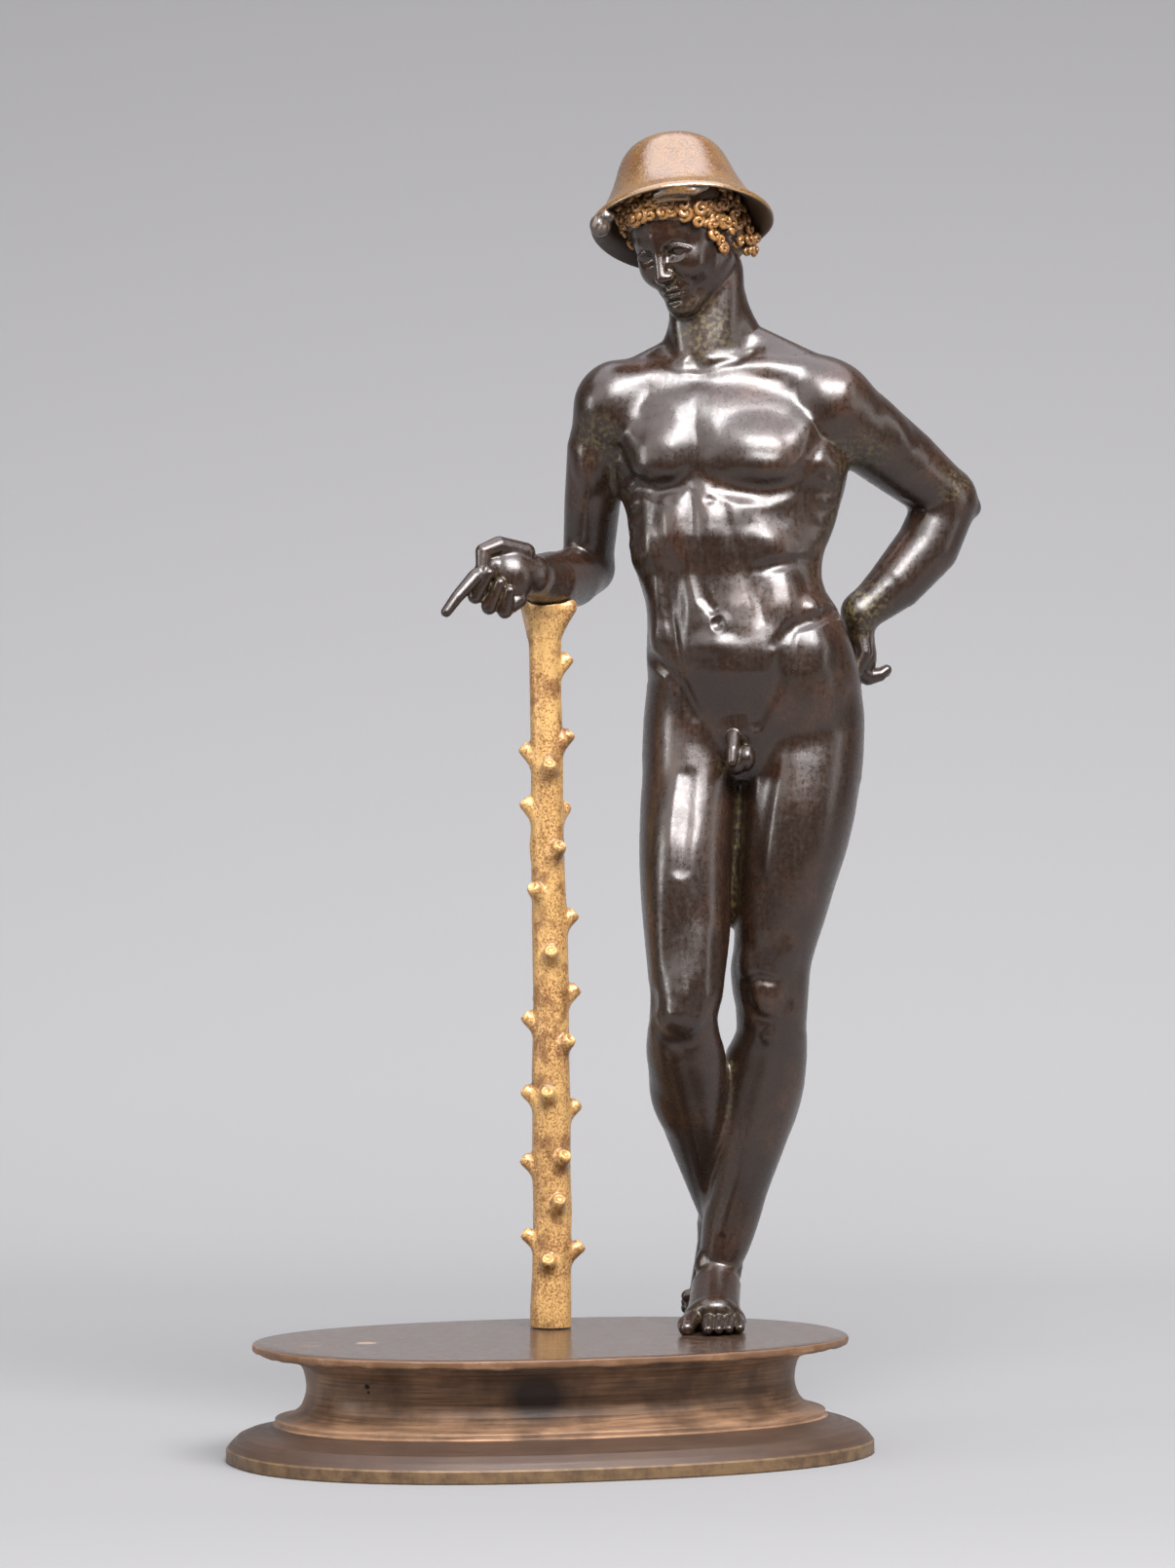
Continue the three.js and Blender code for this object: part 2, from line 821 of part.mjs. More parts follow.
// keeps the largest closed body of a surface
function largest({ points, faces }) {
  const parent = Int32Array.from({ length: points.length / 3 }, (_, i) => i);
  const root = (v) => {
    let r = v;
    while (parent[r] !== r) {
      parent[r] = parent[parent[r]];
      r = parent[r];
    }
    return r;
  };
  for (let f = 0; f < faces.length; f += 3) {
    parent[root(faces[f])] = root(faces[f + 1]);
    parent[root(faces[f + 1])] = root(faces[f + 2]);
  }
  const sizes = new Map();
  for (let f = 0; f < faces.length; f += 3) {
    const r = root(faces[f]);
    sizes.set(r, (sizes.get(r) || 0) + 1);
  }
  const main = [...sizes.entries()].sort((p, q) => q[1] - p[1])[0][0];
  const kept = [];
  for (let f = 0; f < faces.length; f += 3) {
    if (root(faces[f]) === main) {
      kept.push(faces[f], faces[f + 1], faces[f + 2]);
    }
  }
  return { points, faces: Int32Array.from(kept) };
}

function toGeometry({ points, faces }, scale = 1) {
  const geometry = new THREE.BufferGeometry();
  const array = Float32Array.from(points, (v) => v * scale);
  geometry.setAttribute('position', new THREE.BufferAttribute(array, 3));
  geometry.setIndex(Array.from(faces));
  return geometry;
}

function toSolid(geometry) {
  const bare = geometry.clone();
  bare.deleteAttribute('normal');
  bare.deleteAttribute('uv');
  const merged = mergeVertices(bare, 1e-5);
  return new wasm.Manifold(new wasm.Mesh({
    numProp: 3,
    vertProperties: Float32Array.from(merged.attributes.position.array),
    triVerts: Uint32Array.from(merged.index.array),
  }));
}

function fromSolid(solid) {
  const mesh = solid.getMesh();
  const geometry = toGeometry({ points: mesh.vertProperties, faces: mesh.triVerts });
  geometry.computeVertexNormals();
  return geometry;
}

// Depth of the front of a stack of ovals at a place seen from the front.
function ovalFront(rows, square, x, z) {
  const v = [0, 0, 0, 0];
  new Profile(rows).at(z, v);
  const u = Math.min(Math.abs(x - (v[0] + v[1]) / 2) / ((v[1] - v[0]) / 2), 0.985);
  return (v[2] + v[3]) / 2 - ((v[3] - v[2]) / 2) * (1 - u ** square) ** (1 / square);
}

// Mounds (across, height, half width, half height, lift, tilt, how far out) and furrows
// (places, radii, lifts, how far out) laid on the front of a stack of ovals.
function relief(clay, rows, square, mounds, furrows) {
  for (const [x, z, wide, tall, lift, tilt, out] of mounds) {
    const y = ovalFront(rows, square, x, z) - out;
    clay.swell([x, y, z], [wide, Math.max(wide, tall) * 0.9, tall], lift, { turn: [0, tilt, 0] });
  }
  for (const [line, radii, lifts, out] of furrows) {
    const points = line.map(([x, z]) => [x, ovalFront(rows, square, x, z) - out, z]);
    clay.crease(points, radii, lifts);
  }
}

const TRUNK_SQUARE = 2.25;
const RIGHT_LEG_SQUARE = 2.1;
const LEFT_LEG_SQUARE = 2.08;
const TRUNK_ROWS = [
  [985, -62, 50, -10, 44], [968, -92, 92, -27, 56], [945, -104, 110, -42, 64],
  [925, -104, 119, -50, 68], [905, -104, 128, -55, 70], [888, -101, 135, -57, 70],
  [865, -98, 131, -54, 68], [848, -96, 127, -57, 64], [830, -95, 123, -62, 60],
  [812, -92, 117, -67, 55], [800, -90, 112, -66.5, 52], [788, -87, 109, -63.5, 49],
  [776, -83, 108, -61, 47], [762, -80, 111, -62.5, 46], [740, -75, 124, -69, 50],
  [718, -73, 133, -75, 58], [700, -72, 140, -78, 70], [680, -71, 146, -76, 82],
  [665, -70, 149, -71, 90], [625, -71, 150, -58, 96], [590, -71, 148, -45, 84],
  [565, -60, 140, -30, 56],
];
const TRUNK_MOUNDS = [
  // pectorals and their outer ends
  [-60, 900, 48, 44, 9, -10, 0], [-62, 884, 40, 18, 3, 0, 0], [46, 902, 58, 46, 10.5, 10, 0],
  [50, 884, 46, 18, 3.5, 8, 0], [88, 922, 26, 34, 4, 24, 0], [-92, 926, 24, 34, 4, -24, 0],
  [-70, 960, 26, 13, -2, 0, 0], [70, 964, 30, 13, -2, 0, 0],
  // upper belly pads with a pit over each
  [-45, 831, 24, 36, 4.5, 0, 0], [-8, 831, 20, 36, 4, 0, 0], [18, 838, 20, 26, 3, 28, 0],
  [44, 826, 24, 16, 2, 34, 0], [-48, 852, 8, 6, -3, 0, 2], [-7, 852, 9, 6, -3, 0, 2],
  // rib arch on the left side
  [58, 838, 26, 15, -3, 24, 0], [64, 806, 28, 17, 4.5, 12, 0], [94, 818, 20, 16, 3, 16, 0],
  // bands below the waist, oblique muscles, hip
  [20, 752, 28, 46, 4, 0, 0], [-22, 748, 22, 42, 3, 0, 0], [68, 754, 28, 42, 7, 0, 0],
  [97, 743, 18, 18, 5, 0, 0], [-64, 742, 24, 44, 6, 6, 0], [-60, 710, 20, 24, 3.5, 24, 0],
  [106, 700, 24, 34, 5, 0, 0],
  // navel in its ring, lower belly
  [0, 727, 18, 17, 2.5, 0, 0], [-4, 706, 30, 18, 3, 0, 0], [10, 672, 50, 46, 4, -12, 0],
  [22, 616, 28, 22, 5, 0, 0], [0, 727, 7.5, 9, -9, 0, 3],
];
const TRUNK_FURROWS = [
  // under the pectorals, the breast bone, the armpit folds
  [[[-98, 878], [-84, 868], [-62, 863], [-40, 868], [-28, 880]],
  [12, 14, 15, 14, 12], [-2, -4, -5, -4, -2], 2],
  [[[-16, 880], [2, 868], [24, 861], [52, 859], [74, 866], [88, 884]],
  [12, 14, 16, 16, 15, 13], [-2, -4, -5, -5, -4, -2], 2],
  [[[-22, 962], [-22, 935], [-23, 905], [-24, 878]], [18, 20, 21, 18], [0, -3, -6, -6], 0],
  [[[-22, 950], [-23, 905], [-24, 872]], [7, 7, 7], [-1, -2, -2], -4],
  [[[113, 948], [104, 920], [94, 890]], [12, 12, 12], [-3, -3, -2], 2],
  [[[-110, 950], [-103, 915], [-92, 884]], [12, 12, 12], [-4, -4, -3], 0],
  // centre line and outer lines of the belly
  [[[-26, 858], [-24, 815], [-22, 780], [-14, 752], [-4, 740]],
  [9, 9, 9, 9, 7], [-1.5, -2, -2.5, -3, -3], 1],
  [[[-66, 850], [-60, 805], [-48, 778], [-41, 745], [-43, 705]],
  [13, 13, 13, 13, 13], [-1.5, -2.5, -3, -3, -2], 0],
  [[[4, 846], [16, 812], [28, 782], [42, 745], [48, 706]],
  [8, 8, 8, 8, 8], [-1.5, -1.5, -2, -3.5, -2], 3],
  // under the rib arch
  [[[40, 782], [58, 785], [86, 790], [104, 792]], [9, 9, 9, 9], [-2, -4, -4, -2], 2],
  // over the hip bones, and the groin
  [[[60, 706], [78, 724], [100, 731], [124, 740]], [10, 10, 10, 10], [-4, -6, -5, -3], 3],
  [[[-76, 690], [-64, 688], [-50, 677], [-36, 660], [-22, 632]],
  [10, 11, 12, 13, 11], [-4, -5, -6, -6, -4], 1],
  [[[74, 718], [68, 696], [60, 662], [40, 624]], [11, 12, 12, 12], [-4, -5, -5, -5], 2],
];
const RIGHT_LEG_ROWS = [
  [660, -66, 4, -36, 60], [625, -72, 22, -45, 74], [575, -75, 24, -57, 66],
  [535, -78, 20, -70, 52], [495, -79, 17, -82, 38], [455, -78, 15, -89, 24],
  [415, -75, 14, -93, 12], [394, -73, 12, -96, 4], [363, -70, 8, -103, -7],
  [346, -68, 6, -106, -12], [322, -69, 1, -104, -12], [308, -71, 3, -96, -8],
  [290, -72, 8, -82, 6], [270, -70, 11, -70, 20], [240, -65, 12, -50, 36],
  [210, -56, 12, -30, 50], [180, -45, 13, -5, 64], [150, -33, 13, 20, 75],
  [125, -23, 14, 38, 86], [105, -15, 15, 50, 96], [88, -10, 17, 60, 104],
];
const RIGHT_LEG_MOUNDS = [
  [-50, 500, 40, 90, 3, 0, 0], [-62, 436, 18, 60, 3, 0, 0], [-16, 392, 18, 36, 4, 0, 0],
  [-60, 398, 16, 40, 3, 0, 0], [-46, 328, 17, 20, 4, 0, 0], [-46, 330, 5, 5, 1.5, 0, 3],
  [-65, 342, 10, 20, -3, 0, 0], [-22, 344, 10, 22, -3, 0, 0], [-43, 288, 12, 12, 3, 0, 0],
];
const RIGHT_LEG_FURROWS = [
  [[[-30, 570], [-34, 520], [-38, 478]], [14, 16, 14], [-2, -3.5, -2], 2],
  [[[-64, 316], [-52, 303], [-28, 302], [-10, 318]], [12, 12, 12, 12], [-2, -3, -3, -2], 0],
  [[[-42, 278], [-30, 230], [-18, 170], [-6, 110]], [12, 12, 11, 10], [2, 2.5, 2.5, 2], 0],
];
const LEFT_LEG_ROWS = [
  [660, 46, 142, -38, 66], [625, 26, 150, -48, 82], [575, 25, 149, -58, 78],
  [535, 24, 144, -62, 70], [495, 22, 135, -62, 60], [455, 21, 122, -60, 52],
  [415, 19, 110, -56, 44], [394, 18, 103, -53, 40], [370, 15, 97, -51, 37],
  [346, 17, 95, -49, 36], [330, 20, 94, -46, 36], [309, 21, 93, -41, 41],
  [297, 17, 94, -38, 46], [285, 11, 94, -34, 52], [255, 4, 92, -30, 62],
  [225, 2, 85, -26, 64], [195, 0, 75, -22, 62], [165, -3, 64, -16, 60],
  [135, -7, 53, -8, 57], [110, -13, 46, 0, 59], [80, -16, 36, 6, 62],
  [60, -21, 27, 10, 66],
];
const LEFT_LEG_MOUNDS = [
  [88, 500, 52, 120, 4, 0, 0], [38, 420, 22, 48, 3, 0, 0], [30, 376, 14, 26, 4, 0, 0],
  [74, 386, 16, 28, 3, 0, 0], [51, 340, 16, 19, 4, 0, 0], [73, 342, 10, 20, -3, 0, 0],
  [54, 302, 12, 12, 3, 0, 0], [116, 650, 22, 46, 4, 0, 0],
];
const LEFT_LEG_FURROWS = [
  [[[70, 640], [50, 560], [40, 480]], [14, 16, 14], [-2, -3, -2], 2],
  [[[29, 359], [43, 363], [59, 360]], [7, 8, 7], [-2.5, -3, -2], 1],
  [[[30, 356], [32, 337], [42, 322], [56, 319]], [8, 8, 8, 8], [-3, -3.5, -3.5, -2], 0],
  [[[56, 288], [42, 230], [26, 160], [8, 100]], [12, 12, 11, 9], [2, 2.5, 2.5, 2], 0],
];

function torso(clay) {
  clay.stack(TRUNK_ROWS, { square: TRUNK_SQUARE, soft: 6 });
  // trapezius: neck to shoulders
  clay.chain([[-24, 26, 1034], [-42, 27, 1001], [-98, 16, 970]], [14, 18, 20], { soft: 16 });
  clay.chain([[14, 24, 1050], [30, 26, 1012], [104, 18, 978]], [16, 23, 22], { soft: 20 });
  clay.ball([-8, 34, 975], [46, 24, 44], { soft: 14 });
  // collar bones
  clay.crease([[-24, -22, 984], [-54, -30, 984], [-92, -16, 984]], [12, 13, 12], [3, 4, 3]);
  clay.crease([[-16, -22, 984], [26, -30, 990], [84, -16, 1000]], [12, 13, 12], [3, 4, 3]);
  // hollow above each collar bone
  clay.swell([-52, -8, 1000], [24, 22, 14], -4);
  clay.swell([34, -8, 1004], [28, 22, 14], -4);
  relief(clay, TRUNK_ROWS, TRUNK_SQUARE, TRUNK_MOUNDS, TRUNK_FURROWS);
  // ribs
  for (let i = 0; i < 4; i += 1) {
    clay.swell([110 - 4 * i, -18 + 2 * i, 872 - 20 * i], [14, 24, 9], 3, { turn: [0, 28, 0] });
    clay.swell([-88 + 2 * i, -18 + 2 * i, 868 - 20 * i], [13, 22, 9], 2.5, { turn: [0, -28, 0] });
  }
  // lats
  clay.swell([118, 22, 884], [22, 40, 60], 6);
  clay.swell([-94, 22, 884], [20, 38, 56], 5);
  // sex
  clay.ball([30, -60, 589], [9.5, 14, 14], { soft: 3 });
  clay.ball([19, -58, 583], [10.5, 14, 12], { soft: 3 });
  clay.chain([[17, -58, 611], [16, -70, 598], [15, -75, 585]], [7, 6.5, 5], { soft: 2 });
  // buttocks
  clay.swell([-30, 84, 618], [62, 60, 66], 16);
  clay.swell([94, 88, 636], [66, 62, 70], 16);
  // back
  clay.crease([[-26, 58, 880], [-22, 50, 800], [-6, 50, 735]], [34, 36, 32], [4, 7, 4]);
  clay.crease([[36, 60, 880], [38, 50, 800], [52, 52, 740]], [34, 36, 32], [4, 7, 4]);
  clay.crease(
    [[-8, 66, 1000], [2, 76, 920], [4, 68, 860], [6, 56, 800], [16, 52, 750], [28, 64, 700]],
    [16, 16, 16, 18, 18, 14],
    [-4, -6, -7, -8, -7, -3],
  );
  clay.swell([-58, 64, 918], [40, 28, 48], 7, { turn: [0, -14, 0] });
  clay.swell([80, 64, 924], [44, 28, 48], 7, { turn: [0, 16, 0] });
  clay.crease([[-34, 70, 905], [-52, 68, 868], [-84, 56, 872]], [14, 14, 14], [-3, -5, -3]);
  clay.crease([[48, 70, 905], [72, 68, 870], [108, 52, 880]], [14, 14, 14], [-3, -5, -3]);
  clay.crease(
    [[30, 92, 690], [31, 100, 640], [32, 98, 595], [28, 80, 560]],
    [18, 24, 26, 20],
    [-5, -16, -22, -16],
  );
  clay.swell([66, 62, 740], [30, 30, 30], 4);
  clay.swell([-46, 58, 730], [26, 28, 28], 4);
}

function legs(clay) {
  // right thigh forward to the bent knee and shin back to the ankle, left leg straight
  clay.stack(RIGHT_LEG_ROWS, { square: RIGHT_LEG_SQUARE, soft: 10 });
  clay.stack(LEFT_LEG_ROWS, { square: LEFT_LEG_SQUARE, soft: 10 });
  relief(clay, RIGHT_LEG_ROWS, RIGHT_LEG_SQUARE, RIGHT_LEG_MOUNDS, RIGHT_LEG_FURROWS);
  relief(clay, LEFT_LEG_ROWS, LEFT_LEG_SQUARE, LEFT_LEG_MOUNDS, LEFT_LEG_FURROWS);
  // calves
  clay.swell([-54, -8, 236], [26, 34, 60], 5, { turn: [-22, 0, 0] });
  clay.swell([-20, 20, 240], [30, 34, 60], 6, { turn: [-22, 0, 0] });
  clay.swell([74, 34, 240], [26, 34, 60], 4);
  clay.swell([24, 44, 236], [28, 34, 56], 6);
  // back of the knees
  clay.crease([[28, 36, 350], [60, 44, 340], [88, 32, 350]], [18, 20, 18], [-4, -8, -4]);
  clay.crease([[-60, -16, 330], [-30, -12, 320], [0, -18, 330]], [16, 20, 16], [-4, -6, -4]);
  // thigh parting line, front and back
  clay.crease(
    [[22, -46, 562], [22.6, -60, 545], [22, -62, 480], [18, -66, 420], [18, -66, 400]],
    [11, 14, 16, 16, 14],
    [-10, -12, -12, -12, -10],
  );
  clay.crease(
    [[26, 80, 570], [23, 66, 500], [20, 44, 430], [18, 30, 400]],
    [20, 22, 22, 18],
    [-14, -18, -16, -12],
  );
}

function feet(clay) {
  // left foot, flat
  clay.ball([2, 56, 22], [21, 30, 23], { soft: 6 });
  clay.cone([2, 32, 50], [-2, -34, 20], 22, 17, { soft: 8, flat: [0, 0.5, 0.87, 0.85] });
  clay.ball([-4, -44, 14], [31, 26, 13], { soft: 9 });
  clay.cone([12, 44, 10], [20, -36, 9], 11, 10, { soft: 7 });
  clay.cone([-8, 40, 14], [-18, -40, 12], 12, 12, { soft: 7 });
  for (const [a, b, r, r2] of [
    [[-22, -54, 11], [-30, -78, 9], 9.5, 9], [[-7, -56, 11], [-13, -86, 7.5], 7.5, 7],
    [[4, -56, 10], [-2, -86, 7.2], 7, 6.6], [[14, -52, 10], [9, -82, 7], 7, 6.3],
    [[24, -46, 9], [21, -73, 6.8], 7, 6.5],
  ]) {
    clay.cone(a, b, r, r2, { soft: 3 });
  }
  clay.swell([-16, 26, 66], [13, 15, 14], 3.5);
  clay.swell([22, 36, 54], [12, 14, 14], 4);
  clay.crease([[24, 60, 60], [22, 74, 90], [14, 72, 130]], [12, 12, 12], [-4, -3, -1]);
  // right foot on its toes
  clay.cone([4, 84, 100], [10, 112, 86], 20, 18, { soft: 8 });
  clay.cone([4, 88, 96], [-12, 86, 22], 19, 15, { soft: 10 });
  clay.cone([10, 116, 86], [-4, 92, 18], 16, 13, { soft: 10 });
  clay.cone([-8, 82, 16], [-20, 84, 14], 13, 11, { soft: 5 });
  for (let i = 0; i < 3; i += 1) {
    clay.cone(
      [-14, 80 + 9 * i, 27 - 7 * i],
      [-28, 82 + 9 * i, 24 - 7 * i],
      7.5,
      6.8,
      { soft: 2 },
    );
  }
}

function arms(clay) {
  clay.ball([-106, 10, 950], [38, 38, 43], { soft: 14 });
  clay.chain(
    [[-109, 12, 945], [-123, 24, 905], [-127, 46, 850], [-130, 66, 810], [-131, 80, 782]],
    [34, 30, 29, 27, 25],
    { soft: 12 },
  );
  clay.swell([-132, -4, 868], [26, 26, 54], 6, { turn: [-22, 0, 0] });
  clay.swell([-128, 76, 862], [26, 26, 54], 5, { turn: [-20, 0, 0] });
  clay.chain(FOREARM, FOREARM_RADII, { soft: 8 });
  clay.swell([-150, 40, 796], [26, 40, 20], 3);
  clay.swell([-128, 102, 774], [16, 16, 16], 4);
  clay.ball([117, 14, 951], [42, 40, 42], { soft: 14 });
  clay.chain(
    [[116, 14, 950], [150, 34, 924], [195, 58, 890], [236, 82, 857]],
    [43, 41, 37, 31],
    { soft: 12 },
  );
  clay.swell([176, 22, 930], [50, 24, 26], 5, { turn: [0, 34, -26] });
  clay.swell([186, 84, 900], [50, 26, 26], 5, { turn: [0, 34, -26] });
  clay.swell([140, -14, 945], [20, 24, 34], -4, { turn: [0, 30, 0] });
  clay.chain(
    [[240, 85, 850], [220, 76, 804], [188, 62, 767], [151, 47, 735]],
    [32, 33, 29, 20],
    { soft: 8 },
  );
  clay.cone([238, 85, 852], [263, 91, 849], 27, 12, { soft: 10 });
  clay.swell([270, 98, 852], [16, 18, 18], 3);
  clay.crease([[218, 62, 842], [206, 56, 838], [196, 50, 846]], [9, 10, 9], [-2, -4, -2]);
}

function hands(clay) {
  clay.ball([-212, -78, 774], [24, 20, 30], { turn: [0, -14, 0], soft: 7 });
  clay.cone([-190, -60, 776], [-210, -74, 776], 20, 22, { soft: 8 });
  clay.chain(
    [[-196, -72, 798], [-222, -86, 806], [-238, -96, 800], [-239, -100, 784]],
    [11, 9.5, 8, 6.5],
    { soft: 4 },
  );
  clay.chain(
    [[-228, -88, 786], [-246, -104, 774], [-264, -116, 754], [-275, -122, 739]],
    [9, 8, 6.5, 5.5],
    { soft: 3 },
  );
  for (const [kx, kz, tx, tz] of [
    [-246, 752, -232, 778], [-232, 741, -221, 768], [-216, 737, -211, 760],
  ]) {
    clay.cone([kx + 14, -84, kz + 14], [kx, -94, kz + 4], 9, 8, { soft: 3 });
    clay.cone([kx, -96, kz + 2], [tx, -102, tz], 7.5, 6, { soft: 2 });
  }
  clay.cone([148, 48, 736], [156, 58, 694], 16, 15, { soft: 8, flat: [1, 0, 0, 0.75] });
  clay.ball([156, 64, 692], [11, 20, 26], { soft: 6 });
  for (let i = 0; i < 4; i += 1) {
    clay.chain(
      [[156, 56 + 9 * i, 678], [160, 58 + 9 * i, 668], [178, 60 + 9 * i, 670]],
      [7, 7, 5.5],
      { soft: 2 },
    );
  }
  clay.chain([[152, 44, 720], [158, 36, 690], [150, 34, 672]], [8, 7, 6], { soft: 4 });
}

function neck(clay) {
  clay.cone([-7, 14, 985], [-8, 16, 1080], 41, 38, { soft: 12 });
  clay.crease([[-28, -26, 986], [-42, -8, 1040], [-50, 20, 1085]], [14, 16, 16], [2.5, 3, 2]);
  clay.crease([[-16, -28, 986], [8, -24, 1030], [28, 0, 1080]], [15, 18, 18], [3, 4, 3]);
  clay.swell([-22, -36, 988], [10, 14, 10], -6);
  clay.crease(
    [[-58, -14, 994], [-40, -24, 988], [-14, -28, 986], [20, -22, 994], [36, -8, 1000]],
    [7, 8, 8, 8, 7],
    [-1.5, -2, -2, -2, -1.5],
  );
}

function head(clay) {
  clay.place(HEAD_AT, turnsMatrix(HEAD_TURN), HEAD_SIZE);
  clay.ball([0, 10, 14], [50, 58, 56], { soft: 0 });
  clay.ball([0, -8, -22], [45, 44, 54], { soft: 12 });
  for (const side of [-1, 1]) {
    clay.cone([side * 8, -38, -68], [side * 37, 2, -40], 12, 15, { soft: 12 });
    clay.swell([side * 27, -42, -26], [22, 20, 20], 3.5);
  }
  clay.ball([0, -38, -68], [15, 13, 13], { soft: 10 });
  clay.crease(
    [[-34, -38, 6], [-18, -50, 7], [-4, -53, 2], [4, -53, 2], [18, -50, 7], [34, -38, 6]],
    [11, 12, 10, 10, 12, 11],
    [1.5, 2.2, 1.2, 1.2, 2.2, 1.5],
  );
  for (const side of [-1, 1]) {
    clay.swell([side * 19, -52, -7], [17, 16, 13], -7);
    clay.ball([side * 20, -40, -8], [11.5, 10.5, 10], { soft: 2 });
    clay.crease(
      [
        [side * 9.5, -49, -9], [side * 15, -51, -3.5], [side * 23, -50.5, -3],
        [side * 31, -44, -9],
      ],
      [3.6, 3.6, 3.6, 3.6],
      [1.2, 2.0, 2.0, 1.4],
    );
    clay.crease(
      [
        [side * 9.5, -49, -10], [side * 16, -50, -13.5], [side * 24, -49, -13.5],
        [side * 31, -44, -9],
      ],
      [3.2, 3.2, 3.2, 3.2],
      [1, 1.4, 1.4, 1],
    );
  }
  clay.chain(
    [[0, -48, 4], [0, -54, -10], [0, -62, -26], [0, -66, -31]],
    [5.5, 5.8, 6.4, 6.8],
    { soft: 8 },
  );
  for (const side of [-1, 1]) {
    clay.ball([side * 7.5, -57, -33], [5, 7, 5], { soft: 4 });
    clay.ball([side * 4.2, -60, -38.5], [2.4, 3.2, 1.8], { soft: 1.5, op: 'cut' });
  }
  clay.ball([0, -45, -48], [18, 10, 12], { soft: 9 });
  clay.ball([0, -52, -46.5], [13.5, 5.5, 3.6], { soft: 2.5 });
  clay.ball([0, -51.5, -53], [11, 5.5, 4.2], { soft: 2.5 });
  clay.ball([0, -57.5, -49.4], [14.5, 5, 1.0], { soft: 2, op: 'cut' });
  clay.swell([0, -50, -60], [12, 10, 6], -2.5);
  clay.swell([0, -54, -41], [4, 6, 5], -1.6);
  // ears
  for (const side of [-1, 1]) {
    clay.ball([side * 48, 10, -10], [5, 11, 17], { turn: [0, 0, side * 14], soft: 3 });
  }
  clay.place();
}

// places of the gilded curls on the head, seen from the front
const CURLS = [
  [-104, 1110], [-96, 1126], [-104, 1130], [-97, 1142], [-84, 1137], [-85, 1148],
  [-100, 1148], [-71, 1149], [-72, 1158], [-53, 1145], [-33, 1146], [-27, 1137],
  [-17, 1153], [-13, 1133], [3, 1151], [1, 1144], [9, 1136], [3, 1128], [16, 1132],
  [11, 1119], [3, 1112], [10, 1104], [30, 1118], [32, 1108], [29, 1100], [26, 1094],
  [34, 1128],
];
const CURL_RADIUS = 9;

function hat(clay) {
  clay.bell(
    HAT_AT,
    turnsMatrix(HAT_TURN),
    [
      [0, 98.5, 88], [14, 98.2, 87], [25, 96.5, 84], [34, 94.5, 76], [40, 89.5, 66],
      [46, 81, 54], [52, 71, 43], [58, 60, 33], [68, 40, 22], [76, 26, 12], [84, 14, 5],
      [95, 4, -3],
    ],
    [[145, 60, -0.17], [-12, 40, 0.03], [48, 46, -0.09]],
  );
  clay.place(HEAD_AT, turnsMatrix(HEAD_TURN), HEAD_SIZE);
  // hair under the crown and down the nape
  clay.ball([0, 18, 28], [58, 64, 56], { soft: 4 });
  clay.ball([0, 44, -24], [50, 36, 44], { soft: 10 });
  clay.place();
  // worn stump of a wing on the brim
  clay.ball([-118, -42, 1134], [12, 11, 13], { soft: 3 });
  clay.ball([-112, -46, 1144], [9, 8, 7], { soft: 3 });
  for (const [x, z] of CURLS) {
    const y = clay.front(x, z, -78, 40);
    clay.ball([x, y - 1, z], [CURL_RADIUS, CURL_RADIUS, 8.6], { soft: 1.5 });
  }
}

// the forearm that rests on the branch
const FOREARM = [[-131, 80, 780], [-148, 44, 770], [-170, -6, 770], [-193, -58, 774]];
const FOREARM_RADII = [26, 29, 29, 21];

// finer faces are kept where the forms are small: head, hands and feet
const FINE_WEIGHT = 2.5;
const CHIN_HEIGHT = 1030;
const ANKLE_HEIGHT = 60;
const RIGHT_WRIST = -185;
const LEFT_WRIST = [140, 740];

function youthWeight(x, y, z) {
  const inHand = x < RIGHT_WRIST || (x > LEFT_WRIST[0] && z < LEFT_WRIST[1]);
  return z > CHIN_HEIGHT || z < ANKLE_HEIGHT || inHand ? FINE_WEIGHT : 1;
}

// what is cut away so that the soles and the branch's foot end level, just clear of the plate
function belowSoles() {
  const geometry = new THREE.BoxGeometry(YOUTH_TALL, YOUTH_TALL, YOUTH_TALL / 5);
  geometry.translate(0, 0, CLEARANCE - YOUTH_TALL / 10);
  return toSolid(geometry);
}

function youthGeometry() {
  const clay = new Clay([-292, -140, -10], [300, 150, 1240], YOUTH_GRAIN / PART);
  torso(clay);
  legs(clay);
  arms(clay);
  neck(clay);
  head(clay);
  hat(clay);
  feet(clay);
  hands(clay);
  const thin = new Thinning(largest(skin(clay)), youthWeight).run(YOUTH_FACES);
  const whole = toSolid(toGeometry(thin, PART));
  return fromSolid(whole.subtract(belowSoles()));
}

// centre offset and radius of the branch at each height, in parts of the youth
const TRUNK = [
  [-20, 0, 0, 21.5], [20, 0, 0, 21.3], [60, 1, 1, 20], [115, 2, 2, 19.6], [165, 0.5, 1, 20],
  [215, 1, -1, 20], [265, 0, -2, 19.5], [325, 0.5, -1, 18.4], [370, 0, 1, 18.6],
  [415, -1, 2, 18.4], [465, -2.5, 1, 17.4], [515, -3.5, 0, 17], [565, -3.5, -1, 16.6],
  [605, -4, -1, 16.6], [645, -5, 0, 16.4], [690, -5.5, 0, 16.8], [720, -6, -1, 18.5],
  [742, -6.5, -2, 23], [770, -6.5, -2, 24],
];
